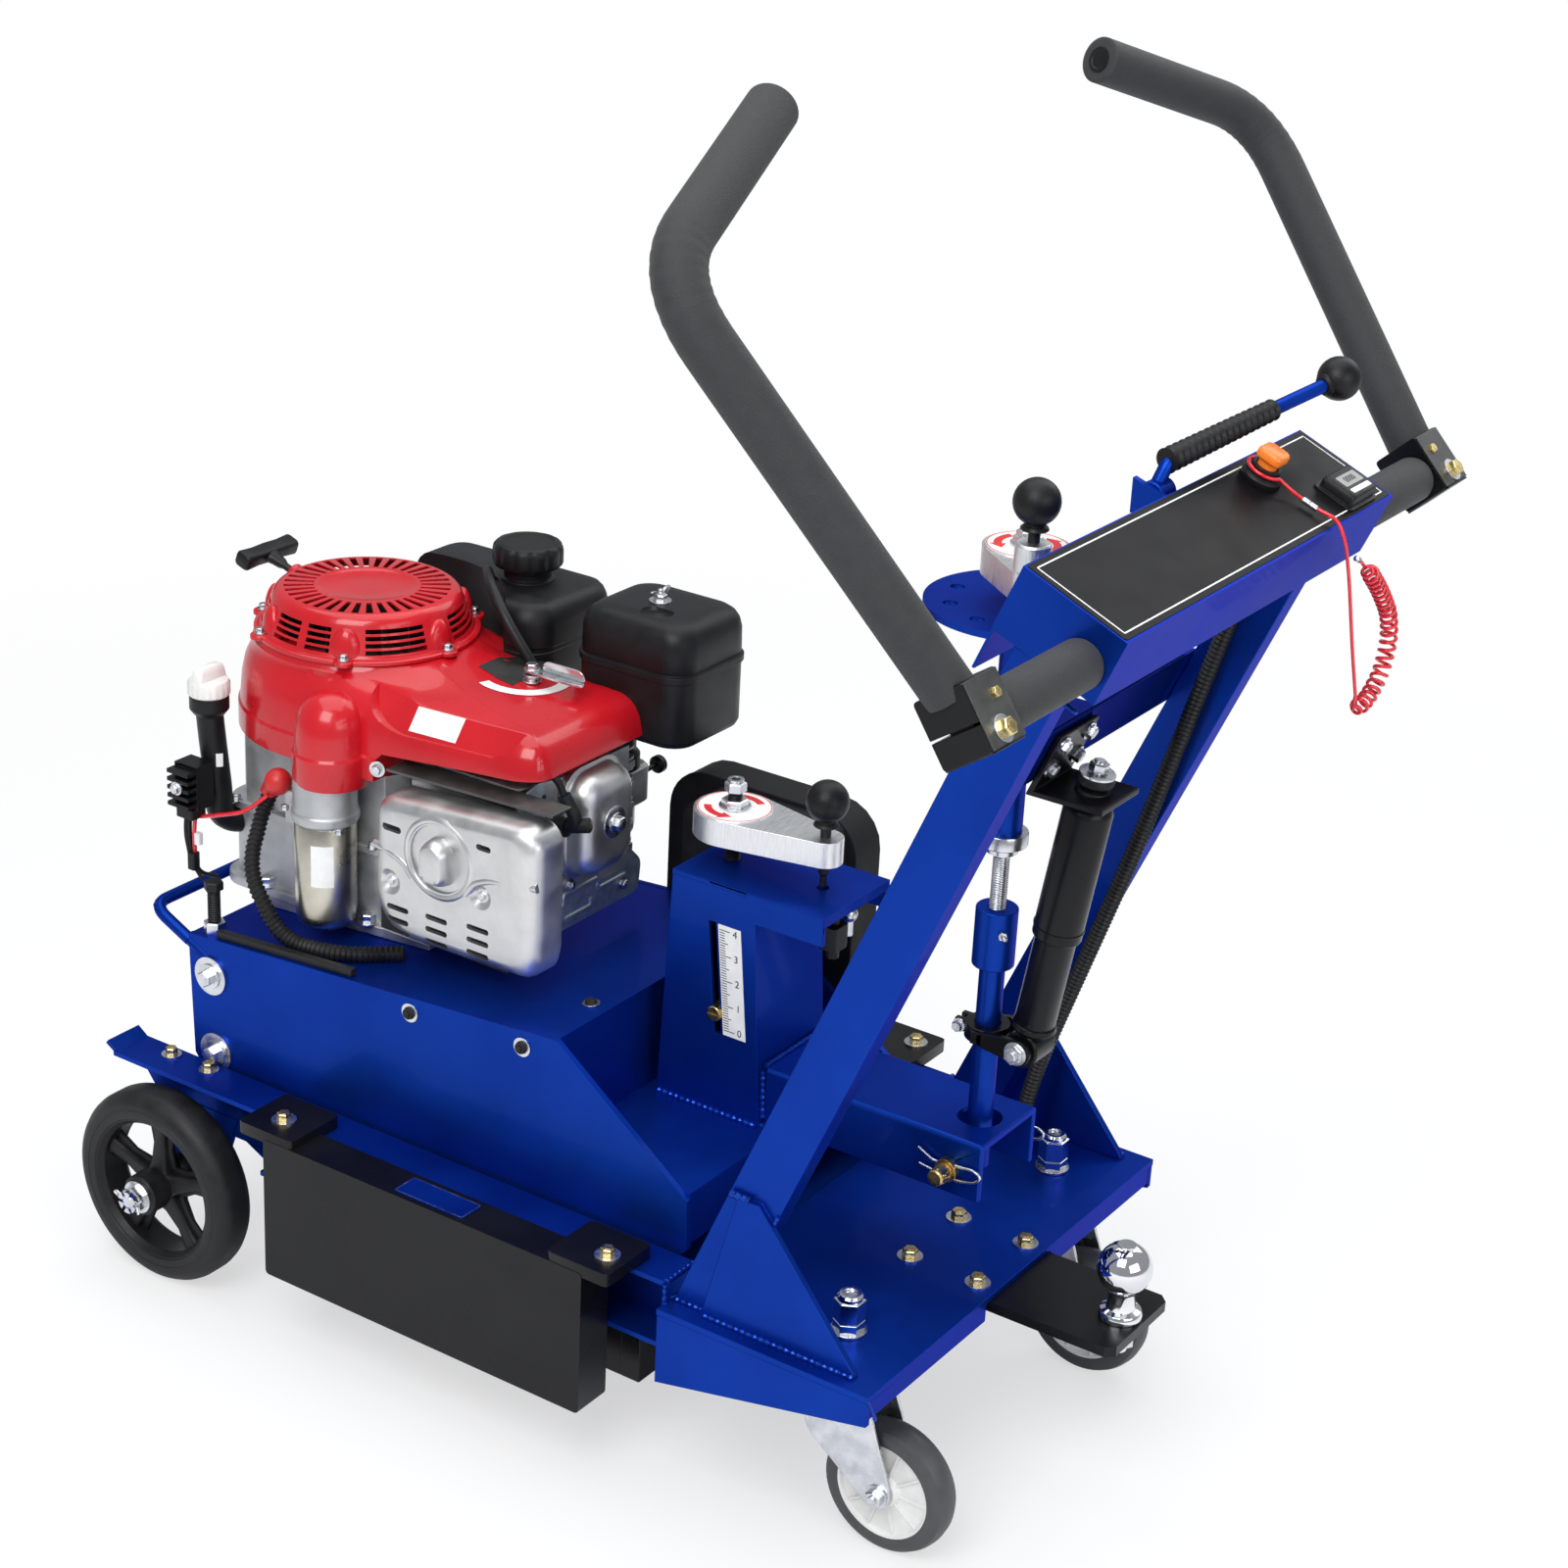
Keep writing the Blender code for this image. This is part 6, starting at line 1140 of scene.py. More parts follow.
cuts = [turned([(0, 0), (33, 0), (34.5, 6), (0, 6)], (-148.2, OUTLET_Y, OUTLET_Z), -X, 56),
        louvre(185, 510, 208, 517, 3.4), louvre(78, 522, 95, 528, 2.9)]
for y, z in SHIELD_SCREWS:
    cuts.append(turned([(0, 0), (7, 0), (9, 1.5), (15, 5), (15, 12), (0, 12)],
                       (-147.2, y, z), -X, 36))
for y, top, step in ((189, 433, 12.8), (142, 436, 12.6), (92.5, 441, 12.9)):
    for n in range(3):
        cuts.append(louvre(y - 13, top - n * step - 2.8, y + 13, top - n * step + 2.8, 2.6))
ribs = [swept(bend(path, 14), 4.6, 20) for path in (
    [(-144, 222, 489), (-147.4, 200, 488), (-147.8, 182, 482), (-147.8, 172, 470)],
    [(-147.8, 108, 472), (-147.8, 98, 486), (-147.4, 80, 494), (-144, 28, 500)])]
ribs.append(turned([(34, -0.6), (36, 1.6), (38.5, 2.2), (41, 1.2), (43, -0.6)],
                   (-150.2, OUTLET_Y, OUTLET_Z), -X, 56, True))
form = round_off([(123, 474), (157, 474), (155, 512), (140, 521), (125, 512)], 13, 6)
form = stacked("x", [(x, [(140 + (a - 140) * k, 496 + (b - 496) * k) for a, b in form])
                     for x, k in ((-147, 1.06), (-156, 1.0), (-161, 0.92), (-164, 0.78),
                                  (-165.5, 0.5))])
shield = carved(stacked("x", levels), *cuts)
piece("muffler", [shield, form] + ribs, "pressed_steel", "carriage", ("muffler",), 0.9, 30)
# Thin black sheet seen through the louvre cuts, and black dots on the outlet ring for its holes:
# painted shade in the openings
dark = [slab((-145.6, 60, 404), (-144.4, 214, 531))]
for n in range(11):
    t = math.radians(-40 + 26 * n)
    hole = (-147.6, OUTLET_Y + 27.5 * math.cos(t), OUTLET_Z + 27.5 * math.sin(t))
    dark.append(disc(hole, -X, 1.9, 0.5, steps=16))
piece("muffler_painted_shade", dark, "black_iron", "carriage", (), 0)
for y, z in SHIELD_SCREWS:
    bolt((-147, y, z), -X, 7, 3, "carriage", "zinc")
heat = round_off([(30, 561), (228, 553), (228, 556), (30, 564)], 1, 2)
piece("heat_plate", [extrude(heat, "x", -122, -94)], "dark_zinc", "carriage", (), 0.4)

# Cylinder fins, rocker cover, plated side plate and the spark plug's cap
fin = round_off([(-92, 92), (92, 92), (92, 228), (-92, 228)], 12, 4)
fins = [extrude(fin, "z", 438 + 11 * n, 440.4 + 11 * n) for n in range(12)]
piece("cylinder_fins", fins, "alloy", "carriage", (), 0.4)
rocker_levels = ((50.4, 20), (51, 15), (53, 10), (56.5, 5.5), (61, 2.4), (67, 0.6), (75.6, 0),
                 (76.6, -1), (77, -5), (83.4, -5))
rocker = [(y, round_rect(-40 + i, 457 + i, 40 - i, 561 - i, 24 - i * 0.5, 7))
          for y, i in rocker_levels]
piece("rocker_cover", [stacked("y", rocker)], "pressed_steel", "carriage",
      ("rocker_cover",), 0.8, 40)
add("zinc", "carriage", turned([(0, 0), (16, 0), (16, 1), (12, 2.4), (0, 2.4)],
                               (0, 50.6, 511), -Y, 36))
bolt((0, 48.4, 511), -Y, 13, 6, "carriage", "zinc", 10)
SIDE_Y = 84.2
plate = [(-104, 398), (88, 398), (92, 430), (70, 452), (-47, 452), (-47, 560),
         (-74, 566), (-104, 556)]
pressed = [extrude(round_off(plate, 8, 5), "y", SIDE_Y, 86)]
for path in ([(-80, 412), (-60, 412), (-60, 424), (-34, 424), (-34, 436), (20, 436), (20, 424),
              (64, 424)], [(-92, 430), (-76, 430), (-76, 446)],
             [(-30, 410), (10, 410), (10, 418)]):
    pressed.append(swept(bend([(a, SIDE_Y, b) for a, b in path], 5), 2.4, 12))
piece("side_plate", pressed, "galvanised", "carriage", (), 0.5)
add("ink", "carriage", disc((-55, 84.1, 461), -Y, 3, 0.4), disc((-66, 84.1, 548), -Y, 3.4, 0.4))
for x, z, finish in ((-24, 444, "zinc"), (60, 416, "zinc"), (-92, 444, "zinc"),
                     (-88, 548, "gold")):
    bolt((x, 84, z), -Y, 8, 4, "carriage", finish, 6)
elbow = bend([(-55, 66, 520), (-56, 56, 524), (-58, 53, 536), (-64, 62, 556)], 10)
lead = bend([(-63, 61, 552), (-68, 66, 572), (-72, 84, 580), (-74, 104, 574)], 12)
plug = turned([(0, 0), (13, 0), (13, 4), (10, 8), (9.5, 20), (0, 20)], (-56, 84, 517),
              (0.05, -1, 0.15), 32)
plug = [plug, swept(elbow, 6.6, 20), rod((-55, 60, 523), (-48, 42, 526), 7.4, 28, 1.5),
        swept(lead, 3.6, 16)]
piece("plug_cap", plug, "black_rubber", "carriage", (), 0.5)

# Starter motor
STARTER = Vector((-127, 300, 0))
can = turned([(0, 377), (21, 377), (24, 378), (27, 381), (29.2, 386), (30, 392), (30, 484),
              (29, 486), (0, 486)], STARTER, Z, 56)
piece("starter_motor", [can], "starter_can", "carriage", ("starter_motor",), 0.5)
head = turned([(0, 486), (30.6, 486), (32.6, 488), (33, 491), (33, 496), (31.4, 498), (31, 502),
               (31, 530), (0, 530)], STARTER, Z, 56)
piece("starter_head", [head, slab((-132, 326, 470), (-98, 348, 504))], "alloy",
      "carriage", (), 1.0)
tag = round_tag(STARTER, 30.4, range(194, 237, 6), (426, 447, 469))
piece("starter_label", [tag], "label", "carriage", bevel=0)
for x, y in ((-140, 340), (-150, 262)):
    bolt((x, y, 488), Z, 7, 5, "carriage", "zinc")

# Oil filler tube and cap
FILLER = Vector((-122, 454, 0))
tube = bend([(-48, 430, 432), (-98, 447, 432), (-116, 450, 446), (-116, 450, 470),
             (-120, 453, 524), FILLER + Z * 552, FILLER + Z * 560], 20)
mouth = turned([(0, 552), (15, 552), (19.5, 558), (19.5, 571.6), (0, 571.6)], FILLER, Z, 36)
piece("oil_tube", [swept(tube, 13.4, 28), mouth], "black_plastic", "carriage", ("oil_tube",), 0.6)
grip = []
for z, i in ((587, -1), (596, 0.5), (600, 2), (602, 5)):
    low, high = FILLER.xy - Vector((18 - i,
                                    7 - i * 0.5)), FILLER.xy + Vector((18 - i, 7 - i * 0.5))
    grip.append((z, round_rect(*low, *high, 4, 4)))
cap_levels = ((572.4, 19.6, 0), (574, 20.8, 0.6), (585, 20.8, 0.6), (588, 19, 0), (589, 16, 0))
cap = scalloped(FILLER, 18, cap_levels)
piece("oil_cap", [cap, stacked("z", grip)], "white_plastic", "filler_cap", ("oil_cap",), 0.6)
tag = round_tag(Vector((-116, 450, 0)), 14, range(190, 245, 9), (500, 514))
piece("tube_tag", [tag], "label", "carriage", bevel=0)

# Regulator's screw, wires and plugs
bolt((-168, 455, 487), -X, 9, 4, "carriage", "zinc", 7)
WIRES = (
    ("red_cord", [(-150, 448, 463), (-152, 450, 436), (-149, 452, 408)]),
    ("red_cord", [(-146, 446, 452), (-150, 420, 462), (-146, 386, 474), (-136, 366, 494)]),
    ("black_rubber", [(-152, 458, 463), (-156, 458, 436), (-152, 455, 404), (-146, 446, 384)]),
    ("black_rubber", [(-144, 462, 463), (-146, 462, 420), (-140, 456, 386), (-124, 446, 380)]))
for finish, run in WIRES:
    add(finish, "carriage", swept(bend(run, 14), 2.1, 12))
add("black_plastic", "carriage", extrude(round_rect(-156, 447, -147, 457, 2), "z", 396, 414),
    extrude(round_rect(-160, 444, -140, 466, 2), "z", 452, 462.4))
add("label", "carriage", extrude(round_rect(-154, 442, -147, 449, 2), "z", 424, 436))
boot = [(-128, 362, 510), (-127, 367, 503), (-126, 371, 497), (-127, 373, 492)]
boot = [ball((-132, 356, 510), 13.5, 32), swept(boot, [10, 9.6, 9.4, 9.2], 24)]
piece("terminal_boot", boot, "red_rubber", "carriage", (), 0)

# Crankcase flange, mount bolts, deck strips and the adjusting bolt
case = [(z, round_rect(-98 - g, 238 - g, 98 + g, 456 + g, 28, 6)) for z, g in
        ((366, 8), (376, 8), (377, 1), (448, 1), (449, 5), (457, 5), (458, 1))]
piece("case_flange", [stacked("z", case)], "alloy", "carriage", (), 1.0)
for y in (262, 330, 398, 440):
    bolt((-102, y, 457), Z, 8, 5, "carriage", "zinc", 6)
for x, y in ((-103, 400), (-103, 268), (103, 400), (103, 268)):
    bolt((x, y, 376.4), Z, 13, 8, "carriage", "zinc", 11)
corners = ((-191.5, 0.2), (-184, 0.2), (-184, 8), (-191.5, 8))
strip = [[(x, y, deck_z(y) + lift) for x, lift in corners] for y in (212, 385)]
piece("deck_strip", [lofted(strip)], "black_rubber", "carriage", (), 0.8)
stand = Vector((-180, 398, deck_z(398)))
add("zinc", "carriage", hexed(stand, Z, 19, 12))
add("black_iron", "carriage", threaded(stand + Z * 12, stand + Z * 46, 6.5, 2.6),
    hexed(stand + Z * 46, Z, 17, 9))


# Control panel: bare black face with a thin pale border
def on_tray(outline, low, high, at=(0, 0)):
    """Plate on the panel, from an outline about a place (x, along)."""
    return lofted([[tray(at[0] + a, at[1], lift) + SLOPE * b for a, b in outline]
                   for lift in (low, high)])


face = round_rect(-235, 2.5, 235, 98.5, 3, 4)
piece("panel_face", [on_tray(face, 0.05, 0.5)], "panel_black", "frame", (), 0.2)
line = []
for low, high in border(-229, 8, 229, 93, 1.3):
    strip = [low, (high[0], low[1]), high, (low[0], high[1])]
    line.append(on_tray(strip, 0.4, 0.66))
piece("panel_border", line, "label", "frame", (), 0)

# Stop switch, its button and the hour meter
SWITCH, METER = (112, 0.74), (186, 0.25)
profile = [(0, 0), (17.6, 0), (18, 1), (18, 5), (17, 6.4), (13.6, 8.6), (13, 10), (13, 14.2),
           (12.4, 14.7), (9.9, 14.7), (9.6, 14.2), (9.6, 5.8), (0, 5.8)]
socket = turned(profile, tray(*SWITCH, 0.3), TRAY_UP, 40)
piece("kill_switch", [socket], "black_plastic", "frame", ("kill_switch",), 0.3)
seat = tray(*SWITCH, 11.3)
button = []
for lift, half, corner in ((0, 8.2, 6), (9, 8.2, 6), (9.6, 10.6, 5), (11, 11.6, 5), (16, 11.6, 5),
                           (18, 10.6, 5), (19, 8.6, 4.5)):
    outline = round_rect(-half, -half, half, half, corner, 5)
    button.append([seat + X * a + SLOPE * b + TRAY_UP * lift for a, b in outline])
piece("kill_button", [lofted(button)], "orange_plastic", "stop_button", ("kill_button",), 0.4)
meter = []
for lift, k in ((0.4, -3), (2.4, -3), (3, 0), (9.5, 0), (12, 1.2), (13, 3)):
    outline = round_rect(-24 + k, -17 + k, 24 - k, 17 - k, 5, 5)
    meter.append([tray(METER[0] + a, METER[1], lift) + SLOPE * b for a, b in outline])
piece("hour_meter", [lofted(meter)], "black_plastic", "frame", ("hour_meter",), 0.4)
window = on_tray(round_rect(-17, -4, 17, 9, 1.5, 3), 12.6, 13.4, METER)
piece("meter_window", [window], "screen", "frame", (), 0.2)
figures = lettering("0000", 9, tray(*METER, 13.5) + SLOPE * 2.5, X, SLOPE)
piece("meter_figures", [figures], "lcd", "frame", (), 0)
plate = on_tray(round_rect(-17, -12, 17, -7, 1, 3), 12.8, 13.3, METER)
piece("meter_plate", [plate], "label", "frame", (), 0)

# Engage lever: blue rod, black ball and a ribbed boot
BOOT_RIBS, RIB_STEPS = 17, 8
points = [Vector(p) for p in ((14, -474, 958), (22, -478, 976), (168, -504, 995),
                              (222, -522, 1007))]
way = (points[3] - points[2]).normalized()
hub = turned([(0, -12), (11, -12), (12, -11), (12, 11), (11, 12), (0, 12)], (14, -474, 949), X, 32)
piece("engage_lever", [swept(bend(points, 16), 6, 24), hub], "blue_paint", "lever",
      ("engage_lever",), 0.4)
knob = [ball(points[3] + way * 12, 19, 40), rod(points[3] - way * 8,
                                                points[3] + way * 4, 10, 28, 2)]
piece("lever_ball", knob, "black_plastic", "lever", (), 0)
start, stop = points[1].lerp(points[2], -0.02), points[1].lerp(points[2], 0.92)
steps = BOOT_RIBS * RIB_STEPS
path, radii = [], []
for n in range(steps + 1):
    path.append(start.lerp(stop, n / steps))
    wave = (0.5 - 0.5 * math.cos(2 * math.pi * n / RIB_STEPS)) ** 0.7
    radii.append(11.0 - 1.6 * n / steps - 1.9 * wave)
piece("lever_boot", [swept(path, radii, 28)], "black_rubber", "lever", ("lever_boot",), 0)

# Ribbed conduits and their fittings
run = [(201.5, y, z) for y, z in ((-500, 866), (-474, 818), (-392, 531), (-318, 300),
                                  (-306, 244), (-306, 201.3))]
hose = ribbed(bend(run, 40, 8), 8.2, 4.6, 1.7, 20)
piece("upright_conduit", [hose], "black_rubber", "frame", ("upright_conduit",), 0)
top, way = Vector(run[0]), Vector((0, -26, 48)).normalized()
run = [(-124, 366, 506), (-130, 378, 474), (-164, 368, 424), (-174, 316, deck_z(316) + 7.6),
       (-170, 246, deck_z(246) + 7.4), (-134, 196, deck_z(196) + 7.4)]
hose = ribbed(bend(run, 30, 8), 8.2, 5.2, 1.7, 20)
piece("starter_conduit", [hose], "black_rubber", "carriage", ("starter_conduit",), 0)
gland = turned([(0, -14), (10.5, -14), (10.5, 6), (13, 7), (13, 14), (9, 16),
                (0, 16)], top, way, 32)
piece("conduit_gland", [gland], "black_plastic", "frame", (), 0.5)
add("zinc", "frame", turned([(10.6, -11), (12, -11), (12, -5), (10.6, -5)], top, way, 32, True))
add("yellow_wire", "frame", swept(bend([(206, -508, 880), (210, -514, 896),
                                        (207, -520, 912)], 8), 2.6, 12))

# Smooth lifting loop over the faceted one of the drum housing
loop = bend([(-193, 419, 344), (-193, 468, 367), (145, 468, 367), (145, 419, 344)], 20, 10)
piece("lift_loop", [swept(loop, 6.1, 24)], "blue_paint", "carriage", (), 0)


# Cross member: a strap on the uprights, thicker between them, with the boss of the index tube
def strap(half, thick):
    corners = ((0.3, 690), (thick, 690), (thick, 745), (0.3, 745))
    outline = [(upright_front(z) + off, z) for off, z in corners]
    return extrude(outline, "x", -half, half)


boss = [(-340, 690.5), (-340, 744.5), (upright_front(744.5) + 2, 744.5),
        (upright_front(690.5) + 2, 690.5)]
boss = extrude(round_off(boss, 6, 4), "x", -42, 42)
bar = [strap(218, 5), strap(198, 12), boss]
piece("cross_member", bar, "blue_paint", "frame", ("cross_member",), 1.6)
add("zinc", "frame", turned([(16.2, 611.6), (21.4, 611.6), (22, 612.4), (22, 623.4), (21.4, 624.4),
                             (16.2, 624.4)], POST, Z, 40, True))


# Weld beads: start, end, radius and body; those of the first list are on both sides
def bead(start, end, radius, body):
    points = walk([start, end], 2.2)
    waves = [0.82 + 0.18 * math.sin(n * 2.1) + 0.08 * math.sin(n * 0.73)
             for n in range(len(points))]
    add("weld", body, swept(points, [radius * wave for wave in waves], 10))


PAIRED_BEADS = (
    ((241.5, -240, 202.4), (241.5, -397, 202.4), 3.6, "frame"),
    ((234, -236, 202), (241, -238, 202), 3.2, "frame"),
    ((236, upright_front(214) - 54, 214), (236, upright_front(326) - 54, 326), 2.4, "frame"),
    ((238, upright_front(332) - 3, 333), (238, upright_front(332) - 24, 333), 4.2, "frame"),
    ((235, -205, 202.4), (235, -236, 202.4), 3.4, "frame"),
    ((235, -202.4, 202), (210, -202.4, 202), 3.2, "frame"),
    ((209.6, -204, 202.4), (209.6, -257, 202.4), 3.2, "frame"),
    ((244.4, -200, 158), (244.4, -200, 220), 3.0, "frame"),
    ((202, -200.4, 222), (243, -200.4, 222), 3.0, "frame"),
    ((55.6, -50, 282.4), (55.6, -163, 282.4), 3.6, "carriage"),
    ((49.6, -165.6, 290), (49.6, -163.6, 338), 3.0, "carriage"),
    ((50, -58, 503.4), (50, -149, 503.4), 2.4, "carriage"),
    ((234.6, -502, 874), (234.6, -548, 852), 2.6, "frame"))
for side in (-1, 1):
    for (x0, y0, z0), (x1, y1, z1), radius, body in PAIRED_BEADS:
        bead((side * x0, y0, z0), (side * x1, y1, z1), radius, body)
bead((-54, -165.8, 282.4), (54, -165.8, 282.4), 3.4, "carriage")
bead((-46, -164.6, 342.6), (46, -164.6, 342.6), 3.2, "carriage")
bead((-52, -47.4, 282.4), (52, -47.4, 282.4), 3.4, "carriage")
bead((-240, -421, 170), (-256, -421, 198), 2.2, "frame")

# Fixings
for y, z in ((388, 316), (383, 234)):
    add("zinc", "carriage", disc((-196, y, z), -X, 20, 3))
    bolt((-199, y, z), -X, 15, 8, "carriage", "zinc", 13)
    bolt((148, y, z), X, 15, 8, "carriage", "zinc", 15)
for x, y, z, way in ((-196, 135, 359, -X), (148, 135, 359, X), (-196, 2, 368, -X)):
    at = Vector((x, y, z))
    add("zinc", "carriage", disc(at, way, 9.5, 1.4))
    add("black_iron", "carriage", turned([(0, 1.4), (6.4, 1.4), (5.4, 5), (0, 5.4)], at, way, 24),
        hexed(at + way * 4.6, way, 6, 2.5))
deck_up = Vector((0, DECK_FALL / DECK_RUN, 1)).normalized()
for x, y in ((-116, -14.5), (96, -14.5)):
    at = Vector((x, y, deck_z(y)))
    add("zinc", "carriage", disc(at, deck_up, 8.5, 1.4))
    add("black_iron", "carriage", turned([(0, 1.4), (6, 1.4), (5, 4.6), (0, 5)], at, deck_up, 24))
for y in (428, 378):
    for side in (-1, 1):
        bolt((side * 214, y, 222), Z, 11, 7, "frame", "gold", 10)
for side in (-1, 1):
    for y in (238, -146):
        bolt((side * 258, y, 235), Z, 12, 7, "frame", "gold", 12)
    for y in (-330, -402):
        bolt((side * 43, y, 201), Z, 13, 7, "frame", "gold", 12)
plate = round_rect(-280, 2, -250, 84, 1.5, 3)
piece("weight_plate", [extrude(plate, "z", 226.1, 226.9)], "blue_paint", "frame", (), 0.2)
rim = [slab((*low, 226.8), (*high, 227.1)) for low, high in border(-279, 3, -251, 83, 1.2)]
piece("plate_border", rim, "zinc", "frame", (), 0)

# Belt guard's lip and screws
lip = extrude(round_rect(-128.5, 236, 92.5, 512.5, 44, 8), "x", 149, 154)
room = extrude(round_rect(-122, 242, 86, 506, 40, 8), "x", 140, 160)
piece("guard_lip", [carved(lip, room)], "guard_black", "carriage", (), 0.6)
for y, z in ((-100, 260), (64, 260), (64, 470), (-100, 470)):
    bolt((193, y, z), X, 10, 5, "carriage", "zinc", 8)

# Plate between the rails ahead of the rear plate, and the black block under the left rail
floor = [(-201, -199.6), (201, -199.6), (201, -181), (134, -181), (134, -78), (-178, -78),
         (-178, -181), (-201, -181)]
piece("floor_plate", [extrude(floor, "z", 191, 197)], "blue_paint", "frame", (), 0.5)
block = [(-212, 79), (-163, 79), (-163, 138), (-201, 138), (-201, 151.8), (-212, 151.8)]
weight = [extrude(block, "y", -152, -130), slab((-212, -131, 79), (-201.5, 60, 151.8))]
piece("inner_weight", weight, "black_paint", "frame", (), 1.2)


# Stop-switch lanyard: loop round the switch, strand over the panel edge, curls back up
HANG_Y = -595
STRAND = tray(116, 0.42, 6), tray(119, 0.20, 5)
CURLS, CURL_STEPS, CURL_R = 24, 16, 6.6


def hung(*places):
    return [(x, HANG_Y, z) for x, z in places]


def lanyard_route():
    path = []
    for n in range(29):
        t = math.radians(-20 + 10 * n)
        path.append(tray(*SWITCH, 11.6) + (X * math.cos(t) + SLOPE * math.sin(t)) * 15.5)
    drop = hung((125, 906), (142, 870), (168, 800), (188, 752))
    path += bend([path[-1], *STRAND, tray(122, 0.02, 7), *drop], 20, 4)[1:]
    spine = bend(hung((190, 738), (214, 740), (238, 756), (248, 784), (240, 812), (212, 842),
                      (178, 870)), 24, 8)
    total = sum((b - a).length for a, b in zip(spine, spine[1:]))
    centres = walk(spine, total / (CURLS * CURL_STEPS))
    last = len(centres) - 1
    for n, point in enumerate(centres):
        along = (centres[min(n + 1, last)] - centres[max(n - 1, 0)]).normalized()
        up = along.cross(Y).normalized()
        t = 2 * math.pi * n / CURL_STEPS
        ease = min(1.0, n / CURL_STEPS, (last - n) / CURL_STEPS)
        path.append(point + (Y * math.cos(t) + up * math.sin(t)) * CURL_R * (0.25 + 0.75 * ease))
    return path + [path[-1] + Vector((-12, 0, 9)), path[-1] + Vector((-22, 0, 14))]


route = lanyard_route()
line = bpy.data.curves.new("lanyard_cord", "CURVE")
line.dimensions, line.bevel_depth, line.bevel_resolution = "3D", 1.6 * MM, 3
line.use_fill_caps = True
strand = line.splines.new("POLY")
strand.points.add(len(route) - 1)
for spot, point in zip(strand.points, route):
    spot.co = (*put(point), 1)
line.materials.append(FINISH["red_cord"])
cord = bpy.data.objects.new("lanyard_cord", line)
bpy.context.scene.collection.objects.link(cord)
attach(cord, "frame")
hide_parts("lanyard")
crimps = []
for k in (0.3, 0.62):
    a, b = STRAND[0].lerp(STRAND[1], k), STRAND[0].lerp(STRAND[1], k + 0.35)
    crimps.append(swept([a, a.lerp(b, 0.1), a.lerp(b, 0.9), b], [2.0, 2.6, 2.6, 2.0], 16))
tail = (route[-1] - route[-2]).normalized()
crimps.append(swept([route[-1] + tail * d for d in (-7, -6, 1, 1.4)], [2.0, 2.6, 2.6, 1.6], 16))
crimp = piece("lanyard_crimps", crimps, "zinc", "frame", bevel=0.2)

for (finish, body), shapes in HARDWARE.items():
    piece(f"{body}_{finish}_fixings", shapes, finish, body, bevel=0.25)


# Stage and light
def glow(tree, colour, strength):
    kind = "Background" if tree.nodes.get("World Output") else "Emission"
    node = tree.nodes.new(f"ShaderNode{kind}")
    node.inputs["Color"].default_value = colour + (1,)
    node.inputs["Strength"].default_value = strength
    return node


world = bpy.data.worlds.new("studio")
bpy.context.scene.world = world
world.use_nodes = True
tree = world.node_tree
seen, mix = tree.nodes.new("ShaderNodeLightPath"), tree.nodes.new("ShaderNodeMixShader")
tree.links.new(seen.outputs["Is Camera Ray"], mix.inputs["Fac"])
tree.links.new(glow(tree, (0.88, 0.92, 0.97), 0.40).outputs[0], mix.inputs[1])
tree.links.new(glow(tree, (1, 1, 1), 1.0).outputs[0], mix.inputs[2])
tree.links.new(mix.outputs[0], tree.nodes["World Output"].inputs["Surface"])

floor_paint = bpy.data.materials.new("studio_floor")
floor_paint.use_nodes = True
tree = floor_paint.node_tree
shader = tree.nodes["Principled BSDF"]
shader.inputs["Base Color"].default_value = (0.86, 0.86, 0.87, 1)
shader.inputs["Roughness"].default_value = 0.9
shader.inputs["Specular IOR Level"].default_value = 0.05
seen, mix, share = (tree.nodes.new(f"ShaderNode{k}") for k in ("LightPath", "MixShader", "Math"))
share.operation = "MULTIPLY"
kinds = ("NewGeometry", "VectorMath", "MapRange")
spot, reach, fade = (tree.nodes.new(f"ShaderNode{k}") for k in kinds)
reach.operation = "LENGTH"
for name, value in (("From Min", 0.9), ("From Max", 2.4), ("To Min", 0.60), ("To Max", 1.0)):
    fade.inputs[name].default_value = value
tree.links.new(spot.outputs["Position"], reach.inputs[0])
tree.links.new(reach.outputs["Value"], fade.inputs["Value"])
tree.links.new(fade.outputs["Result"], share.inputs[1])
tree.links.new(seen.outputs["Is Camera Ray"], share.inputs[0])
tree.links.new(share.outputs[0], mix.inputs["Fac"])
tree.links.new(shader.outputs[0], mix.inputs[1])
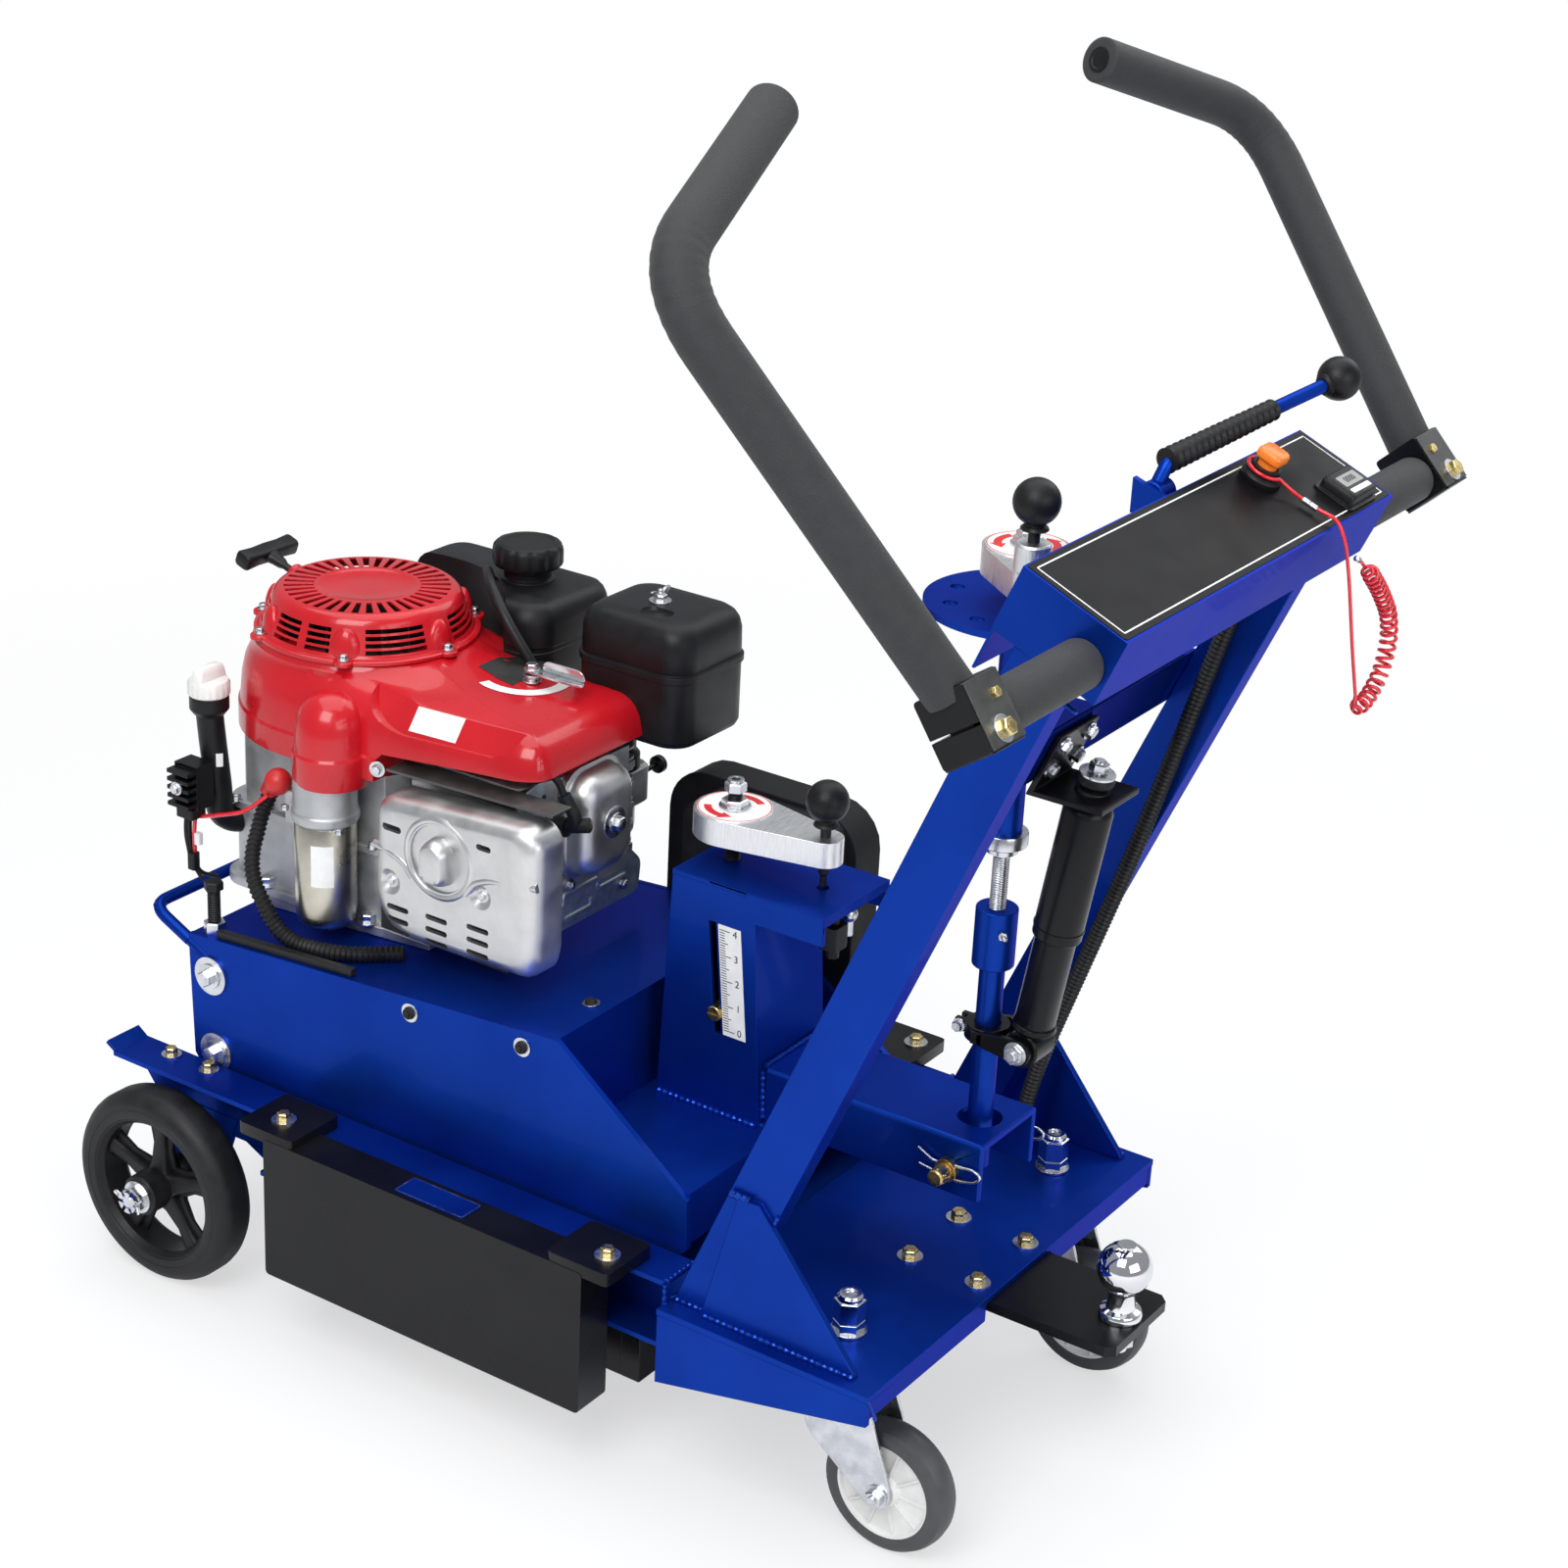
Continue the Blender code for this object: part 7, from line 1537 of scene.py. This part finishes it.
tree.links.new(glow(tree, (1, 1, 1), 1.0).outputs[0], mix.inputs[2])
tree.links.new(mix.outputs[0], tree.nodes["Material Output"].inputs["Surface"])
sheet = bpy.data.meshes.new("studio_floor")
sheet.from_pydata([(-30, -30, 0), (30, -30, 0), (30, 30, 0), (-30, 30, 0)], [], [(0, 1, 2, 3)])
sheet.materials.append(floor_paint)
floor = bpy.data.objects.new("studio_floor", sheet)
bpy.context.scene.collection.objects.link(floor)


def lamp(name, at, aim, size, power):
    light = bpy.data.lights.new(name, "AREA")
    light.shape, light.size, light.size_y = "RECTANGLE", size[0], size[1]
    light.energy = power
    item = bpy.data.objects.new(name, light)
    item.location = at
    item.rotation_euler = (Vector(aim) - Vector(at)).to_track_quat("-Z", "Y").to_euler()
    bpy.context.scene.collection.objects.link(item)


lamp("key", (-2.6, -0.6, 3.2), (0, 0, 0.4), (2.2, 2.2), 105)
lamp("top", (0.4, 0.4, 3.6), (0, 0, 0.3), (3.4, 3.4), 70)
lamp("fill", (-1.0, -3.4, 1.8), (0, 0, 0.5), (2.6, 1.8), 42)
lamp("rim", (2.8, -0.6, 2.8), (0, 0, 0.6), (1.8, 2.4), 26)

# Camera where the photo was taken from
CAMERA_AT = (-2159, -1542, 1704)
yaw, pitch, roll = (math.radians(v) for v in (56.97, 23.15, -2.99))
look = Vector((math.sin(yaw) * math.cos(pitch), math.cos(yaw) * math.cos(pitch), -math.sin(pitch)))
level = Vector((math.cos(yaw), -math.sin(yaw), 0))
down = look.cross(level)
right = level * math.cos(roll) + down * math.sin(roll)
under = down * math.cos(roll) - level * math.sin(roll)
lens = bpy.data.cameras.new("photo_view")
lens.sensor_width, lens.lens, lens.clip_end = 36, 71.17, 100
camera = bpy.data.objects.new("photo_view", lens)
turn = Matrix((right, -under, -look)).transposed().to_4x4()
camera.matrix_world = Matrix.Translation(put(CAMERA_AT)) @ turn
bpy.context.scene.collection.objects.link(camera)
bpy.context.scene.camera = camera
bpy.context.scene.view_settings.view_transform = "Standard"

bpy.context.view_layer.update()
